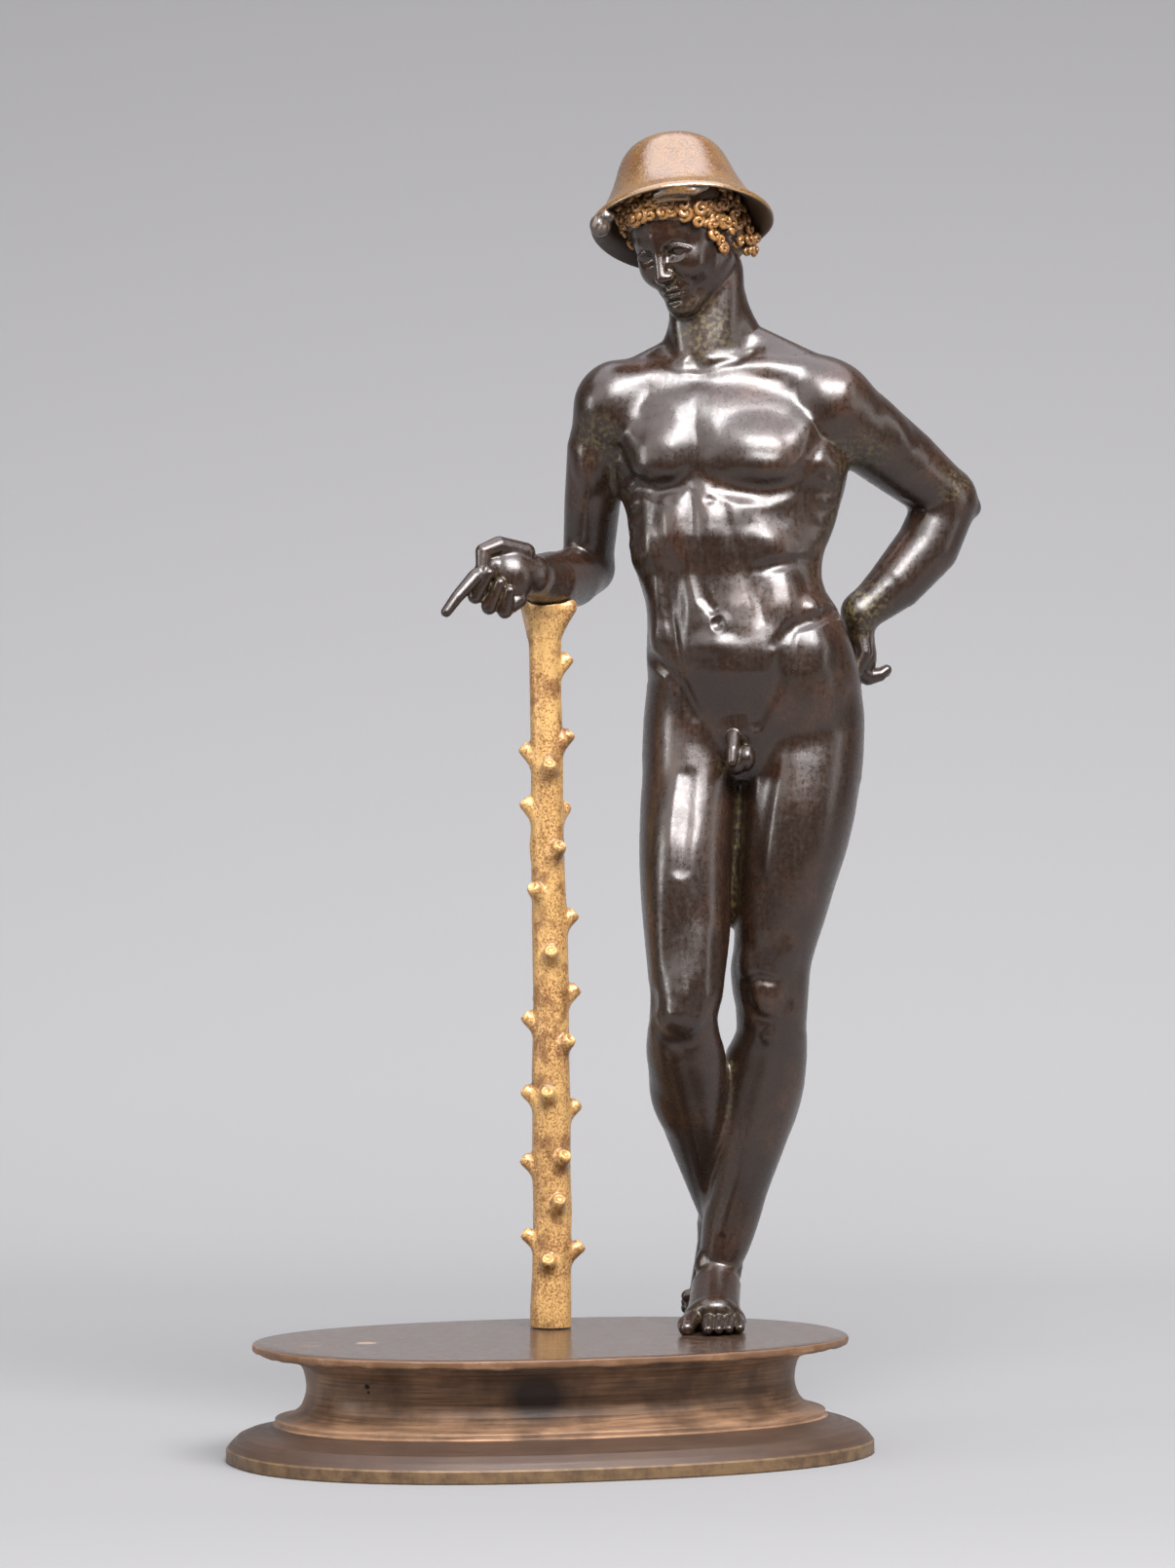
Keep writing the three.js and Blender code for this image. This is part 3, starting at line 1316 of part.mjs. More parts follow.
// lopped side shoots: height of the end, direction in degrees from the right, reach
const STUBS = [
  [688, 8, 25], [610, -8, 25], [596, 176, 25], [580, -84, 26], [540, 186, 24], [535, 38, 25],
  [496, -58, 26], [453, -128, 27], [425, 4, 26], [388, -88, 27], [348, 6, 27], [320, 178, 27],
  [297, -42, 27], [244, 184, 27], [244, -98, 27], [229, 16, 28], [173, 182, 28], [178, -58, 28],
  [132, -74, 28], [96, 184, 29], [83, 10, 32], [71, -98, 28],
  [640, 112, 24], [560, 76, 25], [474, 104, 26], [404, 66, 26], [338, 120, 27], [262, 82, 27],
  [196, 108, 28], [118, 70, 28],
];

function branchGeometry() {
  // the branch stands under the middle of the forearm
  const half = 62;
  const [x0, y0] = FOREARM[2];
  const low = [x0 - half, y0 - half, -60];
  const clay = new Clay(low, [x0 + half, y0 + half, 800], BRANCH_GRAIN / PART);
  const thick = BRANCH_THICK / 2 / PART / TRUNK[0][3];
  const centre = (z) => new Profile(TRUNK).at(z, [0, 0, 0]);
  clay.chain(
    TRUNK.map(([z, x, y]) => [x0 + x, y0 + y, z]),
    TRUNK.map((row) => row[3] * thick),
    { soft: 2 },
  );
  // the crutch flares to both sides of the arm
  clay.cone([x0 + 2, y0 - 2, 724], [x0 + 17, y0 - 6, 742], 14 * thick, 10, { soft: 6 });
  clay.cone([x0 - 12, y0 + 8, 716], [x0 - 25, y0 + 20, 750], 13 * thick, 8, { soft: 6 });
  const stub = STUB_THICK / 2 / PART;
  for (const [z, way, reach] of STUBS) {
    const [cx, cy, r] = centre(z);
    const a = THREE.MathUtils.degToRad(way);
    const out = r * thick + (reach - r) * 0.8;
    const base = [x0 + cx + 8 * Math.cos(a), y0 + cy + 8 * Math.sin(a), z - 14];
    const tip = [x0 + cx + out * Math.cos(a), y0 + cy + out * Math.sin(a), z];
    clay.cone(base, tip, stub * 1.15, stub * 0.9, { soft: 5 });
  }
  // seat for the arm, a little larger than it
  const grown = FOREARM_RADII.map((r) => r + SADDLE_CLEARANCE / PART);
  clay.chain(FOREARM, grown, { soft: 1, op: 'cut' });
  clay.ball([x0, y0, 830], [90, 90, 62], { soft: 1, op: 'cut' });
  const thin = new Thinning(largest(skin(clay)), () => 1).run(BRANCH_FACES);
  const whole = toSolid(toGeometry(thin, PART));
  return fromSolid(whole.subtract(belowSoles()));
}

// one ring of the plinth: an oval, a little fuller than an ellipse, drawn in by the inset
// from the plate's edge
function ring(inset, z) {
  const points = [];
  const full = (v) => Math.sign(v) * Math.abs(v) ** (2 / OVAL_FULLNESS);
  for (let i = 0; i < PLINTH_SIDES; i += 1) {
    const a = (2 * Math.PI * i) / PLINTH_SIDES;
    const x = (PLATE_LONG / 2 - inset) * full(Math.cos(a));
    const y = (PLATE_DEEP / 2 - inset) * full(Math.sin(a));
    points.push(x, y, z);
  }
  return points;
}

function plinthGeometry() {
  // mouldings between the foot band and the plate, as shares of that height
  const low = FOOT_BAND;
  const tall = PLINTH_TALL - PLATE_THICK - FOOT_BAND;
  const rise = (share) => low + share * tall;
  const span = NECK_INSET + FOOT_SPREAD;
  const draw = (share) => NECK_INSET - share * span;
  const rings = [
    [-FOOT_SPREAD, 0],
    [-FOOT_SPREAD, low],
    [draw(0.96), rise(0.04)],
    [draw(0.84), rise(0.14)],
    [draw(0.62), rise(0.2)],
    [draw(0.41), rise(0.26)],
    [draw(0.39), rise(0.31)],
    [draw(0.27), rise(0.34)],
    [draw(0.12), rise(0.4)],
    [draw(0.03), rise(0.52)],
    [draw(0), rise(0.66)],
    [draw(0.04), rise(0.82)],
    [draw(0.12), rise(0.91)],
    [PLATE_OVERHANG, rise(0.92)],
    [PLATE_OVERHANG, rise(1)],
    [0, rise(1)],
    [0, PLINTH_TALL],
  ];
  const points = [];
  for (const [inset, z] of rings) {
    points.push(...ring(inset, z));
  }
  points.push(0, 0, 0, 0, 0, PLINTH_TALL);
  const n = PLINTH_SIDES;
  const bottom = n * rings.length;
  const top = bottom + 1;
  const faces = [];
  for (let i = 0; i < n; i += 1) {
    const next = (i + 1) % n;
    faces.push(bottom, next, i);
    faces.push(top, (rings.length - 1) * n + i, (rings.length - 1) * n + next);
    for (let j = 0; j < rings.length - 1; j += 1) {
      const a = j * n + i;
      const b = j * n + next;
      faces.push(a, b, b + n, a, b + n, a + n);
    }
  }
  const geometry = toGeometry({ points, faces });
  geometry.computeVertexNormals();
  return geometry;
}

function namedMesh(name, geometry, color, roughness, metalness) {
  const material = new THREE.MeshStandardMaterial({ color, roughness, metalness });
  const mesh = new THREE.Mesh(geometry, material);
  mesh.name = name;
  return mesh;
}

const whole = new THREE.Group();
const stance = new THREE.Group();
stance.rotation.z = THREE.MathUtils.degToRad(STANCE_TURN);
const youth = namedMesh('youth', youthGeometry(), 0x3a2a1e, 0.32, 0.9);
const branch = namedMesh('branch', branchGeometry(), 0xb98a4a, 0.45, 0.9);
const plinth = namedMesh('plinth', plinthGeometry(), 0x4a3526, 0.38, 0.9);
youth.position.set(STANCE_X, STANCE_Y, PLINTH_TALL);
branch.position.set(STANCE_X, STANCE_Y, PLINTH_TALL);
stance.add(youth, branch);
whole.add(plinth, stance);

export default whole;
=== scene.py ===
"""Looks of a partly gilded bronze statuette: a youth in a brimmed hat leaning on a knotty branch.

The figure, the branch, the hat and the mass of the hair are modelled as clay fields: the
signed distance to the surface is kept on a grid, whole arrays at a time, and the skin is
taken where it is zero. The plinth is a surface of two parameters, and each curl a strand
carried along a path. Sizes of the figure are in parts: the youth's height is divided into
PARTS parts, from the soles to the top of the hat.
"""

from __future__ import annotations

import logging
import math
from dataclasses import dataclass, field
from enum import Enum
from typing import Callable, Optional, Sequence

import bpy
import numpy as np
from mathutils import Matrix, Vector

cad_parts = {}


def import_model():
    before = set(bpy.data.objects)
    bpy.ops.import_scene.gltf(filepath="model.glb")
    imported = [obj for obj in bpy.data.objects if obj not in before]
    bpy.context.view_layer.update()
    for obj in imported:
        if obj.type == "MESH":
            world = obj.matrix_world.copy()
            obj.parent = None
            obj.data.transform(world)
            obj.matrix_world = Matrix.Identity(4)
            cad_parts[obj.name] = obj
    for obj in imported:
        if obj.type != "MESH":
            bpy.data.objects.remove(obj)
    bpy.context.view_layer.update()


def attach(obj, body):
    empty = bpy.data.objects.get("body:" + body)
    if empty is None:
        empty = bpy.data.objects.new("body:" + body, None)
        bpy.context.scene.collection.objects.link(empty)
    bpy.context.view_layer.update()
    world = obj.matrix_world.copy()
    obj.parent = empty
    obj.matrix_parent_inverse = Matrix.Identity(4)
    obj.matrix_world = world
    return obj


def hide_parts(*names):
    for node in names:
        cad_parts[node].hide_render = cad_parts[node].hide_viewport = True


log = logging.getLogger("statuette")

Array = np.ndarray
Numbers = Sequence[float]
Rows = Sequence[Numbers]
Shape = Callable[[Array, Array, Array], Array]
Material = bpy.types.Material
Socket = bpy.types.NodeSocket
Thing = bpy.types.Object
ALL = (slice(None),) * 3

MM = 0.001
PARTS = 1226
YOUTH_TALL = 322.9 * MM
PART = YOUTH_TALL / PARTS
PLINTH_TALL = 31.5 * MM
STANCE_TURN = -18.9
STANCE_X = 44.4 * MM
STANCE_Y = 29.0 * MM

PHOTO_TALL = 1610
PHOTO_FOCAL = 8461.0
SENSOR_LONG = 36.0
CAMERA_PLACE = (9.6 * MM, -2200 * MM, 262.7 * MM)
CAMERA_PITCH = 2.15


def turn_matrix(degrees: Numbers) -> Array:
    """Rotation for turns about X, then Y, then Z: the product Rz Ry Rx.

    Args:
        degrees: the three turns.

    Returns:
        The 3 by 3 matrix.
    """
    a, b, c = np.radians(np.asarray(degrees, float))
    rx = np.array([[1, 0, 0], [0, np.cos(a), -np.sin(a)], [0, np.sin(a), np.cos(a)]])
    ry = np.array([[np.cos(b), 0, np.sin(b)], [0, 1, 0], [-np.sin(b), 0, np.cos(b)]])
    rz = np.array([[np.cos(c), -np.sin(c), 0], [np.sin(c), np.cos(c), 0], [0, 0, 1]])
    return rz @ ry @ rx


def smooth_curve(rows: Rows, at: Array) -> Array:
    """Curve through rows of values without overshoot.

    Each value follows a cubic between neighbouring keys, whose slopes at the keys are the
    weighted harmonic means of the rises on either side, or nothing where those disagree.

    Args:
        rows: a key and its values in each row, in any order.
        at: keys to read the curve at.

    Returns:
        One row of values for each key asked for.
    """
    table = np.array(sorted(tuple(row) for row in rows), float)
    keys, values = table[:, 0], table[:, 1:]
    gap = np.diff(keys)[:, None]
    rise = np.diff(values, axis=0) / gap
    slope = np.zeros_like(values)
    before, after = 2 * gap[1:] + gap[:-1], gap[1:] + 2 * gap[:-1]
    same = rise[:-1] * rise[1:] > 0
    safe = np.where(same, rise[:-1], 1.0), np.where(same, rise[1:], 1.0)
    slope[1:-1] = np.where(same, (before + after) / (before / safe[0] + after / safe[1]), 0)
    slope[0], slope[-1] = rise[0], rise[-1]
    i = np.clip(np.searchsorted(keys, at, side="right") - 1, 0, len(keys) - 2)
    t = np.clip((at - keys[i]) / (keys[i + 1] - keys[i]), 0, 1)[:, None]
    g = gap[i]
    t2, t3 = t * t, t * t * t
    return ((2 * t3 - 3 * t2 + 1) * values[i] + (t3 - 2 * t2 + t) * g * slope[i]
            + (3 * t2 - 2 * t3) * values[i + 1] + (t3 - t2) * g * slope[i + 1])


def oval_front(rows: Rows, square: float, x: float, z: float) -> float:
    """Depth of the front of a stack of ovals at a place seen from the front.

    The oval at height z has half widths a and b and middle (p, q); its front is at
    q - b (1 - |(x - p) / a|^n)^(1 / n).

    Args:
        rows, square: the stack.
        x, z: the place.

    Returns:
        The depth y of the front.
    """
    left, right, front, back = smooth_curve(rows, np.array([float(z)]))[0]
    u = min(abs(x - (left + right) / 2) / ((right - left) / 2), 0.985)
    return (front + back) / 2 - (back - front) / 2 * (1 - u ** square) ** (1 / square)


class Join(Enum):
    """How a shape meets the clay that is already there."""

    ADD = 1
    CUT = -1


def melt(old: Array, new: Array, soft: float) -> Array:
    """Smaller of two distances, rounded over soft: old + (new - old) s - soft s (1 - s),
    with s = (1 + (old - new) / soft) / 2 held between 0 and 1.

    Args:
        old, new: the distances.
        soft: width of the rounding, or 0 for none.

    Returns:
        The joined distances.
    """
    if soft <= 0:
        return np.minimum(old, new)
    share = np.clip(0.5 + 0.5 * (old - new) / soft, 0, 1)
    return old + (new - old) * share - soft * share * (1 - share)


def along_line(a: Array, b: Array, grid: tuple) -> tuple:
    """Share of the way from a to b that is nearest to each place, and the offset from it.

    Args:
        a, b: ends of the way.
        grid: coordinates of the places, as three arrays.

    Returns:
        The share and the three parts of the offset.
    """
    along = b - a
    u, v, w = (g - start for g, start in zip(grid, a))
    t = np.clip((u * along[0] + v * along[1] + w * along[2]) / float(along @ along), 0, 1)
    return t, u - t * along[0], v - t * along[1], w - t * along[2]


def turned(grid: tuple, centre: Numbers, axes: Array) -> list:
    """Coordinates of places along three axes, the columns of a matrix, from a centre."""
    x, y, z = (g - c for g, c in zip(grid, centre))
    return [axes[0, i] * x + axes[1, i] * y + axes[2, i] * z for i in range(3)]


class Clay:
    """A block of modelling clay: signed distances on a grid, negative inside.

    Shapes are added or cut with a soft join of a given width, and mounds, hollows, ridges
    and furrows shift the surface. Everything is worked out on whole windows of the grid.
    """

    EMPTY = 60.0
    MARGIN = 8

    def __init__(self, low: Numbers, high: Numbers, step: float) -> None:
        """Sets up an empty block.

        Args:
            low, high: its lowest and highest corner, in parts.
            step: grid spacing.
        """
        self.low = np.array(low, float)
        self.step = step
        self.axes = [np.arange(a, b + step, step, dtype=np.float32) for a, b in zip(low, high)]
        self.field = np.full([len(a) for a in self.axes], self.EMPTY, np.float32)
        self.place()

    def place(self, origin: Numbers = (0, 0, 0), turn: Optional[Array] = None,
              size: float = 1.0) -> None:
        """Sets the frame that the shapes after it are given in.

        Args:
            origin: its origin, in parts.
            turn: its axes as columns.
            size: how many parts its unit is.
        """
        self.origin = np.array(origin, float)
        self.turn = np.eye(3) if turn is None else turn
        self.size = size

    def spot(self, point: Numbers) -> Array:
        """A point of the current frame in parts."""
        return self.origin + self.size * (self.turn @ np.array(point, float))

    def window(self, low: Array, high: Array) -> Optional[tuple]:
        """Slices of the grid between two corners, or None if nothing lies there.

        Args:
            low, high: the corners.

        Returns:
            One slice for each axis, or None.
        """
        slices = []
        for axis, a, b in zip(self.axes, low, high):
            i, j = np.searchsorted(axis, (a, b))
            if j <= i:
                return None
            slices.append(slice(int(i), int(j)))
        return tuple(slices)

    def grid(self, window: tuple) -> tuple:
        """Coordinates of a window, as three arrays that broadcast together."""
        x, y, z = (axis[s] for axis, s in zip(self.axes, window))
        return x[:, None, None], y[None, :, None], z[None, None, :]

    def press(self, low: Array, high: Array, shape: Shape, soft: float,
              join: Join = Join.ADD) -> None:
        """Joins a shape to the clay: the smaller distance of the two, rounded over soft.

        Args:
            low, high: corners of the shape.
            shape: its signed distance at coordinates.
            soft: width of the join.
            join: add or cut.
        """
        margin = soft + self.MARGIN
        window = self.window(np.asarray(low) - margin, np.asarray(high) + margin)
        if window is not None:
            sign = np.float32(join.value)
            new = shape(*self.grid(window))
            self.field[window] = melt(self.field[window] * sign, new, soft) * sign

    def oval(self, centre: Numbers, radii: Numbers, turn: Numbers) -> tuple:
        """Centre, axes, radii and reach of a turned ellipsoid given in the current frame.

        Args:
            centre, radii, turn: as for ball.

        Returns:
            The four values, in parts.
        """
        axes = self.turn @ turn_matrix(turn)
        r = self.size * np.array(radii, float)
        return self.spot(centre), axes, r, np.sqrt(((axes * r) ** 2).sum(1))

    def ball(self, centre: Numbers, radii: Numbers, turn: Numbers = (0, 0, 0),
             soft: float = 6, join: Join = Join.ADD) -> None:
        """Ellipsoid: distance k0 (k0 - 1) / k1, from the scaled radius and its gradient.

        Args:
            centre: its middle.
            radii: its half sizes.
            turn: turns about X, Y and Z, in degrees.
            soft: width of the join.
            join: add or cut.
        """
        c, axes, r, reach = self.oval(centre, radii, turn)

        def shape(*grid: Array) -> Array:
            """Distance to the ellipsoid."""
            q = turned(grid, c, axes)
            k0 = np.sqrt(sum((q[i] / r[i]) ** 2 for i in range(3)))
            k1 = np.sqrt(sum((q[i] / r[i] ** 2) ** 2 for i in range(3)))
            return k0 * (k0 - 1) / np.maximum(k1, 1e-6)

        self.press(c - reach, c + reach, shape, soft, join)

    def chain(self, points: Rows, radii: Numbers, soft: float = 6,
              join: Join = Join.ADD, flat: Optional[Numbers] = None) -> None:
        """Round cones end to end: distance to each piece's axis less its radius there.

        Args:
            points: the joints of the chain.
            radii: radius at each joint.
            soft: width of the join.
            join: add or cut.
            flat: a direction and how much thinner the chain is along it.
        """
        p = [self.spot(point) for point in points]
        r = [self.size * radius for radius in radii]
        widest = max(r)
        if flat is not None:
            n = self.turn @ np.array(flat[:3], float)
            n /= np.linalg.norm(n)
            thin = flat[3]

        def shape(*grid: Array) -> Array:
            """Distance to the nearest of the cones."""
            best = None
            for i in range(len(p) - 1):
                t, u, v, w = along_line(p[i], p[i + 1], grid)
                square = u * u + v * v + w * w
                if flat is not None:
                    off = u * n[0] + v * n[1] + w * n[2]
                    square = np.maximum(square + off * off * (1 / thin ** 2 - 1), 0)
                d = np.sqrt(square) - (r[i] + t * (r[i + 1] - r[i]))
                if flat is not None:
                    d *= min(1.0, thin)
                best = d if best is None else np.minimum(best, d)
            return best

        self.press(np.min(p, 0) - widest, np.max(p, 0) + widest, shape, soft, join)

    def cone(self, a: Numbers, b: Numbers, ra: float, rb: float, soft: float = 6,
             join: Join = Join.ADD, flat: Optional[Numbers] = None) -> None:
        """One round cone between two points."""
        self.chain([a, b], [ra, rb], soft, join, flat)

    def stack(self, rows: Rows, square: float, soft: float) -> None:
        """A limb or trunk built of level ovals.

        Each oval's half widths and middle follow a smooth curve through the rows, and the
        distance is the oval's scaled radius less one, times the smaller half width.

        Args:
            rows: height, left, right, front and back edge of each oval.
            square: exponent of the ovals, 2 for an ellipse.
            soft: width of the join.
        """
        table = np.array(rows, float)
        z0, z1 = table[:, 0].min(), table[:, 0].max()
        low = np.array([table[:, 1].min(), table[:, 3].min(), z0])
        high = np.array([table[:, 2].max(), table[:, 4].max(), z1])

        def shape(x: Array, y: Array, z: Array) -> Array:
            """Distance to the stack at places."""
            edges = smooth_curve(rows, np.clip(z, z0, z1).ravel()).astype(np.float32)
            left, right, front, back = (edges[:, i][None, None, :] for i in range(4))
            wide, deep = (right - left) / 2, (back - front) / 2
            u = np.abs(x - (left + right) / 2) / wide
            v = np.abs(y - (front + back) / 2) / deep
            out = ((u ** square + v ** square) ** (1 / square) - 1) * np.minimum(wide, deep)
            over = np.maximum(z0 - z, z - z1)
            beyond = np.sqrt(np.maximum(out, 0) ** 2 + over ** 2)
            return np.where(over > 0, beyond, np.maximum(out, over * 0.7))

        self.press(low, high, shape, soft)

    def swell(self, centre: Numbers, radii: Numbers, lift: float,
              turn: Numbers = (0, 0, 0)) -> None:
        """Soft mound or hollow: the surface shifts by lift (1 - q^2)^2, q the scaled radius.

        Args:
            centre, radii, turn: as for ball.
            lift: height of the mound, below 0 for a hollow.
        """
        c, axes, r, reach = self.oval(centre, radii, turn)
        window = self.window(c - reach, c + reach)
        if window is None:
            return
        q = sum((a / b) ** 2 for a, b in zip(turned(self.grid(window), c, axes), r))
        self.field[window] -= (self.size * lift * np.clip(1 - q, 0, 1) ** 2).astype(np.float32)

    def crease(self, points: Rows, radii: Numbers, lifts: Numbers) -> None:
        """Soft furrow or ridge along a line: lift (1 - q^2)^2, q the distance to the line
        over the radius there.

        Args:
            points: places along the line.
            radii: half width at each, or one for all.
            lifts: height of the ridge at each, below 0 for a furrow.
        """
        p = [self.spot(point) for point in points]
        r = self.size * np.broadcast_to(np.array(radii, float), len(p))
        lift = [self.size * v for v in lifts]
        window = self.window(np.min(p, 0) - max(r), np.max(p, 0) + max(r))
        if window is None:
            return
        best = None
        for i in range(len(p) - 1):
            t, u, v, w = along_line(p[i], p[i + 1], self.grid(window))
            q = (u * u + v * v + w * w) / (r[i] + t * (r[i + 1] - r[i])) ** 2
            amount = lift[i] + t * (lift[i + 1] - lift[i])
            if best is None:
                best, chosen = q, amount + 0 * q
            else:
                nearer = q < best
                best, chosen = np.where(nearer, q, best), np.where(nearer, amount, chosen)
        self.field[window] -= (chosen * np.clip(1 - best, 0, 1) ** 2).astype(np.float32)

    def relief(self, rows: Rows, square: float, mounds: Rows,
               furrows: Sequence[tuple]) -> None:
        """Mounds and furrows laid on the front of a stack of ovals.

        Args:
            rows: the stack's ovals.
            square: their exponent.
            mounds: across, height, half width, half height, lift, and where they aren't 0 the
                tilt and how far out it lies.
            furrows: places across and height, radii, lifts, how far out it lies.
        """
        for x, z, wide, tall, lift, *rest in mounds:
            tilt, out = (*rest, 0, 0)[:2]
            y = oval_front(rows, square, x, z) - out
            self.swell((x, y, z), (wide, max(wide, tall) * 0.9, tall), lift, turn=(0, tilt, 0))
        for line, radii, lifts, out in furrows:
            self.crease([(x, oval_front(rows, square, x, z) - out, z) for x, z in line],
                        radii, lifts)

    def bell(self, shape: "Bell", soft: float) -> None:
        """A bell with a brim: between its upper and its under profile, with a round edge.

        Args:
            shape: the profile and place.
            soft: width of the join.
        """
        at = np.array(shape.at, float)
        window = self.window(at - shape.reach, at + shape.reach)
        q = turned(self.grid(window), shape.at, shape.turn)
        r, top, under, tilt_top, tilt_under = shape.heights(q[0], q[1])
        d = np.maximum((q[2] - top) * tilt_top, (under - q[2]) * tilt_under)
        e = r - shape.brim
        edge = shape.edge
        rounded = np.hypot(np.maximum(e + edge, 0), np.maximum(d + edge, 0)) - edge
        new = np.where((e > -edge) & (d > -edge), rounded, np.maximum(d, e))
        self.field[window] = melt(self.field[window], new, soft)

    def keep_bell_side(self, shape: "Bell", lift: float, above: bool) -> None:
        """Keeps what is above, or below, the bell's under profile raised by lift.

        Args:
            shape: the bell.
            lift: how far the profile is raised.
            above: which side is kept.
        """
        q = turned(self.grid(ALL), shape.at, shape.turn)
        _, _, under, _, tilt = shape.heights(q[0], q[1])
        over = (q[2] - under - lift) * tilt
        np.maximum(self.field, -over if above else over, out=self.field)

    def keep_ball(self, centre: Numbers, radius: float, inside: bool) -> None:
        """Keeps only what is inside, or outside, of a sphere given in parts.

        Args:
            centre, radius: the sphere.
            inside: which side is kept.
        """
        x, y, z = (g - c for g, c in zip(self.grid(ALL), centre))
        away = np.sqrt(x ** 2 + y ** 2 + z ** 2) - radius
        np.maximum(self.field, away if inside else -away, out=self.field)

    def keep_side(self, point: Numbers, normal: Numbers) -> None:
        """Keeps only what lies behind a plane.

        Args:
            point: a place on it.
            normal: the way that it faces.
        """
        x, y, z = (g - c for g, c in zip(self.grid(ALL), point))
        n = np.array(normal, float) / np.linalg.norm(normal)
        over = x * n[0] + y * n[1] + z * n[2]
        np.maximum(self.field, over, out=self.field)

    def ease(self) -> None:
        """Rounds sharp joins by one grid step: each value a quarter from each neighbour."""
        f = self.field
        for axis in range(3):
            f = np.moveaxis(f, axis, 0)
            f[1:-1] = 0.25 * f[:-2] + 0.5 * f[1:-1] + 0.25 * f[2:]
            f = np.moveaxis(f, 0, axis)

    def read(self, points: Array) -> Array:
        """Distances at points, weighted between the eight grid values round each.

        Args:
            points: one place in each row.

        Returns:
            One distance for each.
        """
        f = (points - self.low) / self.step
        shape = np.array(self.field.shape)
        f = np.clip(f, 0, shape - 1.001)
        i = f.astype(np.int64)
        t = (f - i).astype(np.float32)
        flat = self.field.ravel()
        strides = np.array([shape[1] * shape[2], shape[2], 1])
        base = i @ strides
        total = np.zeros(len(points), np.float32)
        for corner in range(8):
            bits = np.array([(corner >> 2) & 1, (corner >> 1) & 1, corner & 1])
            weight = np.prod(np.where(bits, t, 1 - t), axis=1)
            total += weight * flat[base + int(bits @ strides)]
        return total

    def slope(self, points: Array, reach: float = 0.8) -> Array:
        """Gradient of the distance at points, by differences over a little more than a step.

        Args:
            points: one place in each row.
            reach: half the difference, in steps.

        Returns:
            One gradient in each row.
        """
        h = self.step * reach
        parts = []
        for axis in range(3):
            shift = np.zeros(3)
            shift[axis] = h
            parts.append((self.read(points + shift) - self.read(points - shift)) / (2 * h))
        return np.stack(parts, 1)

    def settle(self, points: Array, rounds: int) -> Array:
        """Moves points onto the surface along the gradient, by the distance left each time.

        Args:
            points: one place in each row.
            rounds: how many moves.

        Returns:
            The moved points.
        """
        for _ in range(rounds):
            g = self.slope(points)
            size = np.maximum((g * g).sum(1), 0.05)
            move = (self.read(points) / size)[:, None] * g
            points = points - np.clip(move, -self.step, self.step)
        return points

    def skin(self) -> tuple[Array, Array]:
        """Closed surface where the distance is zero.

        Every cell that the surface crosses has one corner at the mean of the crossings on
        its twelve edges, and every grid edge that is crossed has one four-sided face, made
        of the four cells round it.

        Returns:
            Corner places and four-sided faces.
        """
        f = self.field
        inside = f < 0
        cells = [s - 1 for s in f.shape]
        count = np.zeros(cells, np.uint8)
        for corner in range(8):
            i, j, k = (corner >> 2) & 1, (corner >> 1) & 1, corner & 1
            count += inside[i:i + cells[0], j:j + cells[1], k:k + cells[2]]
        mixed = np.flatnonzero((count > 0) & (count < 8))
        cx, cy, cz = np.unravel_index(mixed, cells)
        corners = np.stack([f[cx + ((c >> 2) & 1), cy + ((c >> 1) & 1), cz + (c & 1)]
                            for c in range(8)], 1)
        total = np.zeros((len(mixed), 3), np.float32)
        crossings = np.zeros(len(mixed), np.float32)
        for a in range(8):
            for bit in (4, 2, 1):
                if a & bit:
                    continue
                b = a | bit
                va, vb = corners[:, a], corners[:, b]
                cut = (va < 0) != (vb < 0)
                t = np.where(cut, va / np.where(cut, va - vb, 1), 0)
                start = np.array([(a >> 2) & 1, (a >> 1) & 1, a & 1], np.float32)
                way = np.array([bit == 4, bit == 2, bit == 1], np.float32)
                total += np.where(cut[:, None], start + t[:, None] * way, 0)
                crossings += cut
        places = np.stack([cx, cy, cz], 1) + total / crossings[:, None]
        points = self.low + places * self.step
        faces = []
        for axis in range(3):
            u, v = (axis + 1) % 3, (axis + 2) % 3
            head = [slice(0, -1)] * 3
            tail = [slice(0, -1)] * 3
            tail[axis] = slice(1, None)
            for n in (u, v):
                head[n] = slice(1, -1)
                tail[n] = slice(1, -1)
            a, b = inside[tuple(head)], inside[tuple(tail)]
            for rising in (True, False):
                hit = np.stack(np.nonzero((~a & b) if rising else (a & ~b)), 1)
                ring = []
                for du, dv in ((0, 0), (1, 0), (1, 1), (0, 1)):
                    near = hit.copy()
                    near[:, u] += du
                    near[:, v] += dv
                    ring.append(np.searchsorted(mixed, np.ravel_multi_index(near.T, cells)))
                order = (0, 3, 2, 1) if rising else (0, 1, 2, 3)
                faces.append(np.stack([ring[n] for n in order], 1))
        return points, np.concatenate(faces)


HEAD_AT = (-39, -2, 1126)
HEAD_SIZE = 1.02
HEAD_TURN = turn_matrix((0, -12, 0)) @ turn_matrix((0, 0, -34)) @ turn_matrix((15, 0, 0))
HAT_AT = (-38, 0, 1129)
HAT_TURN = turn_matrix((0, -5.5, 0)) @ turn_matrix((-27, 0, 0))


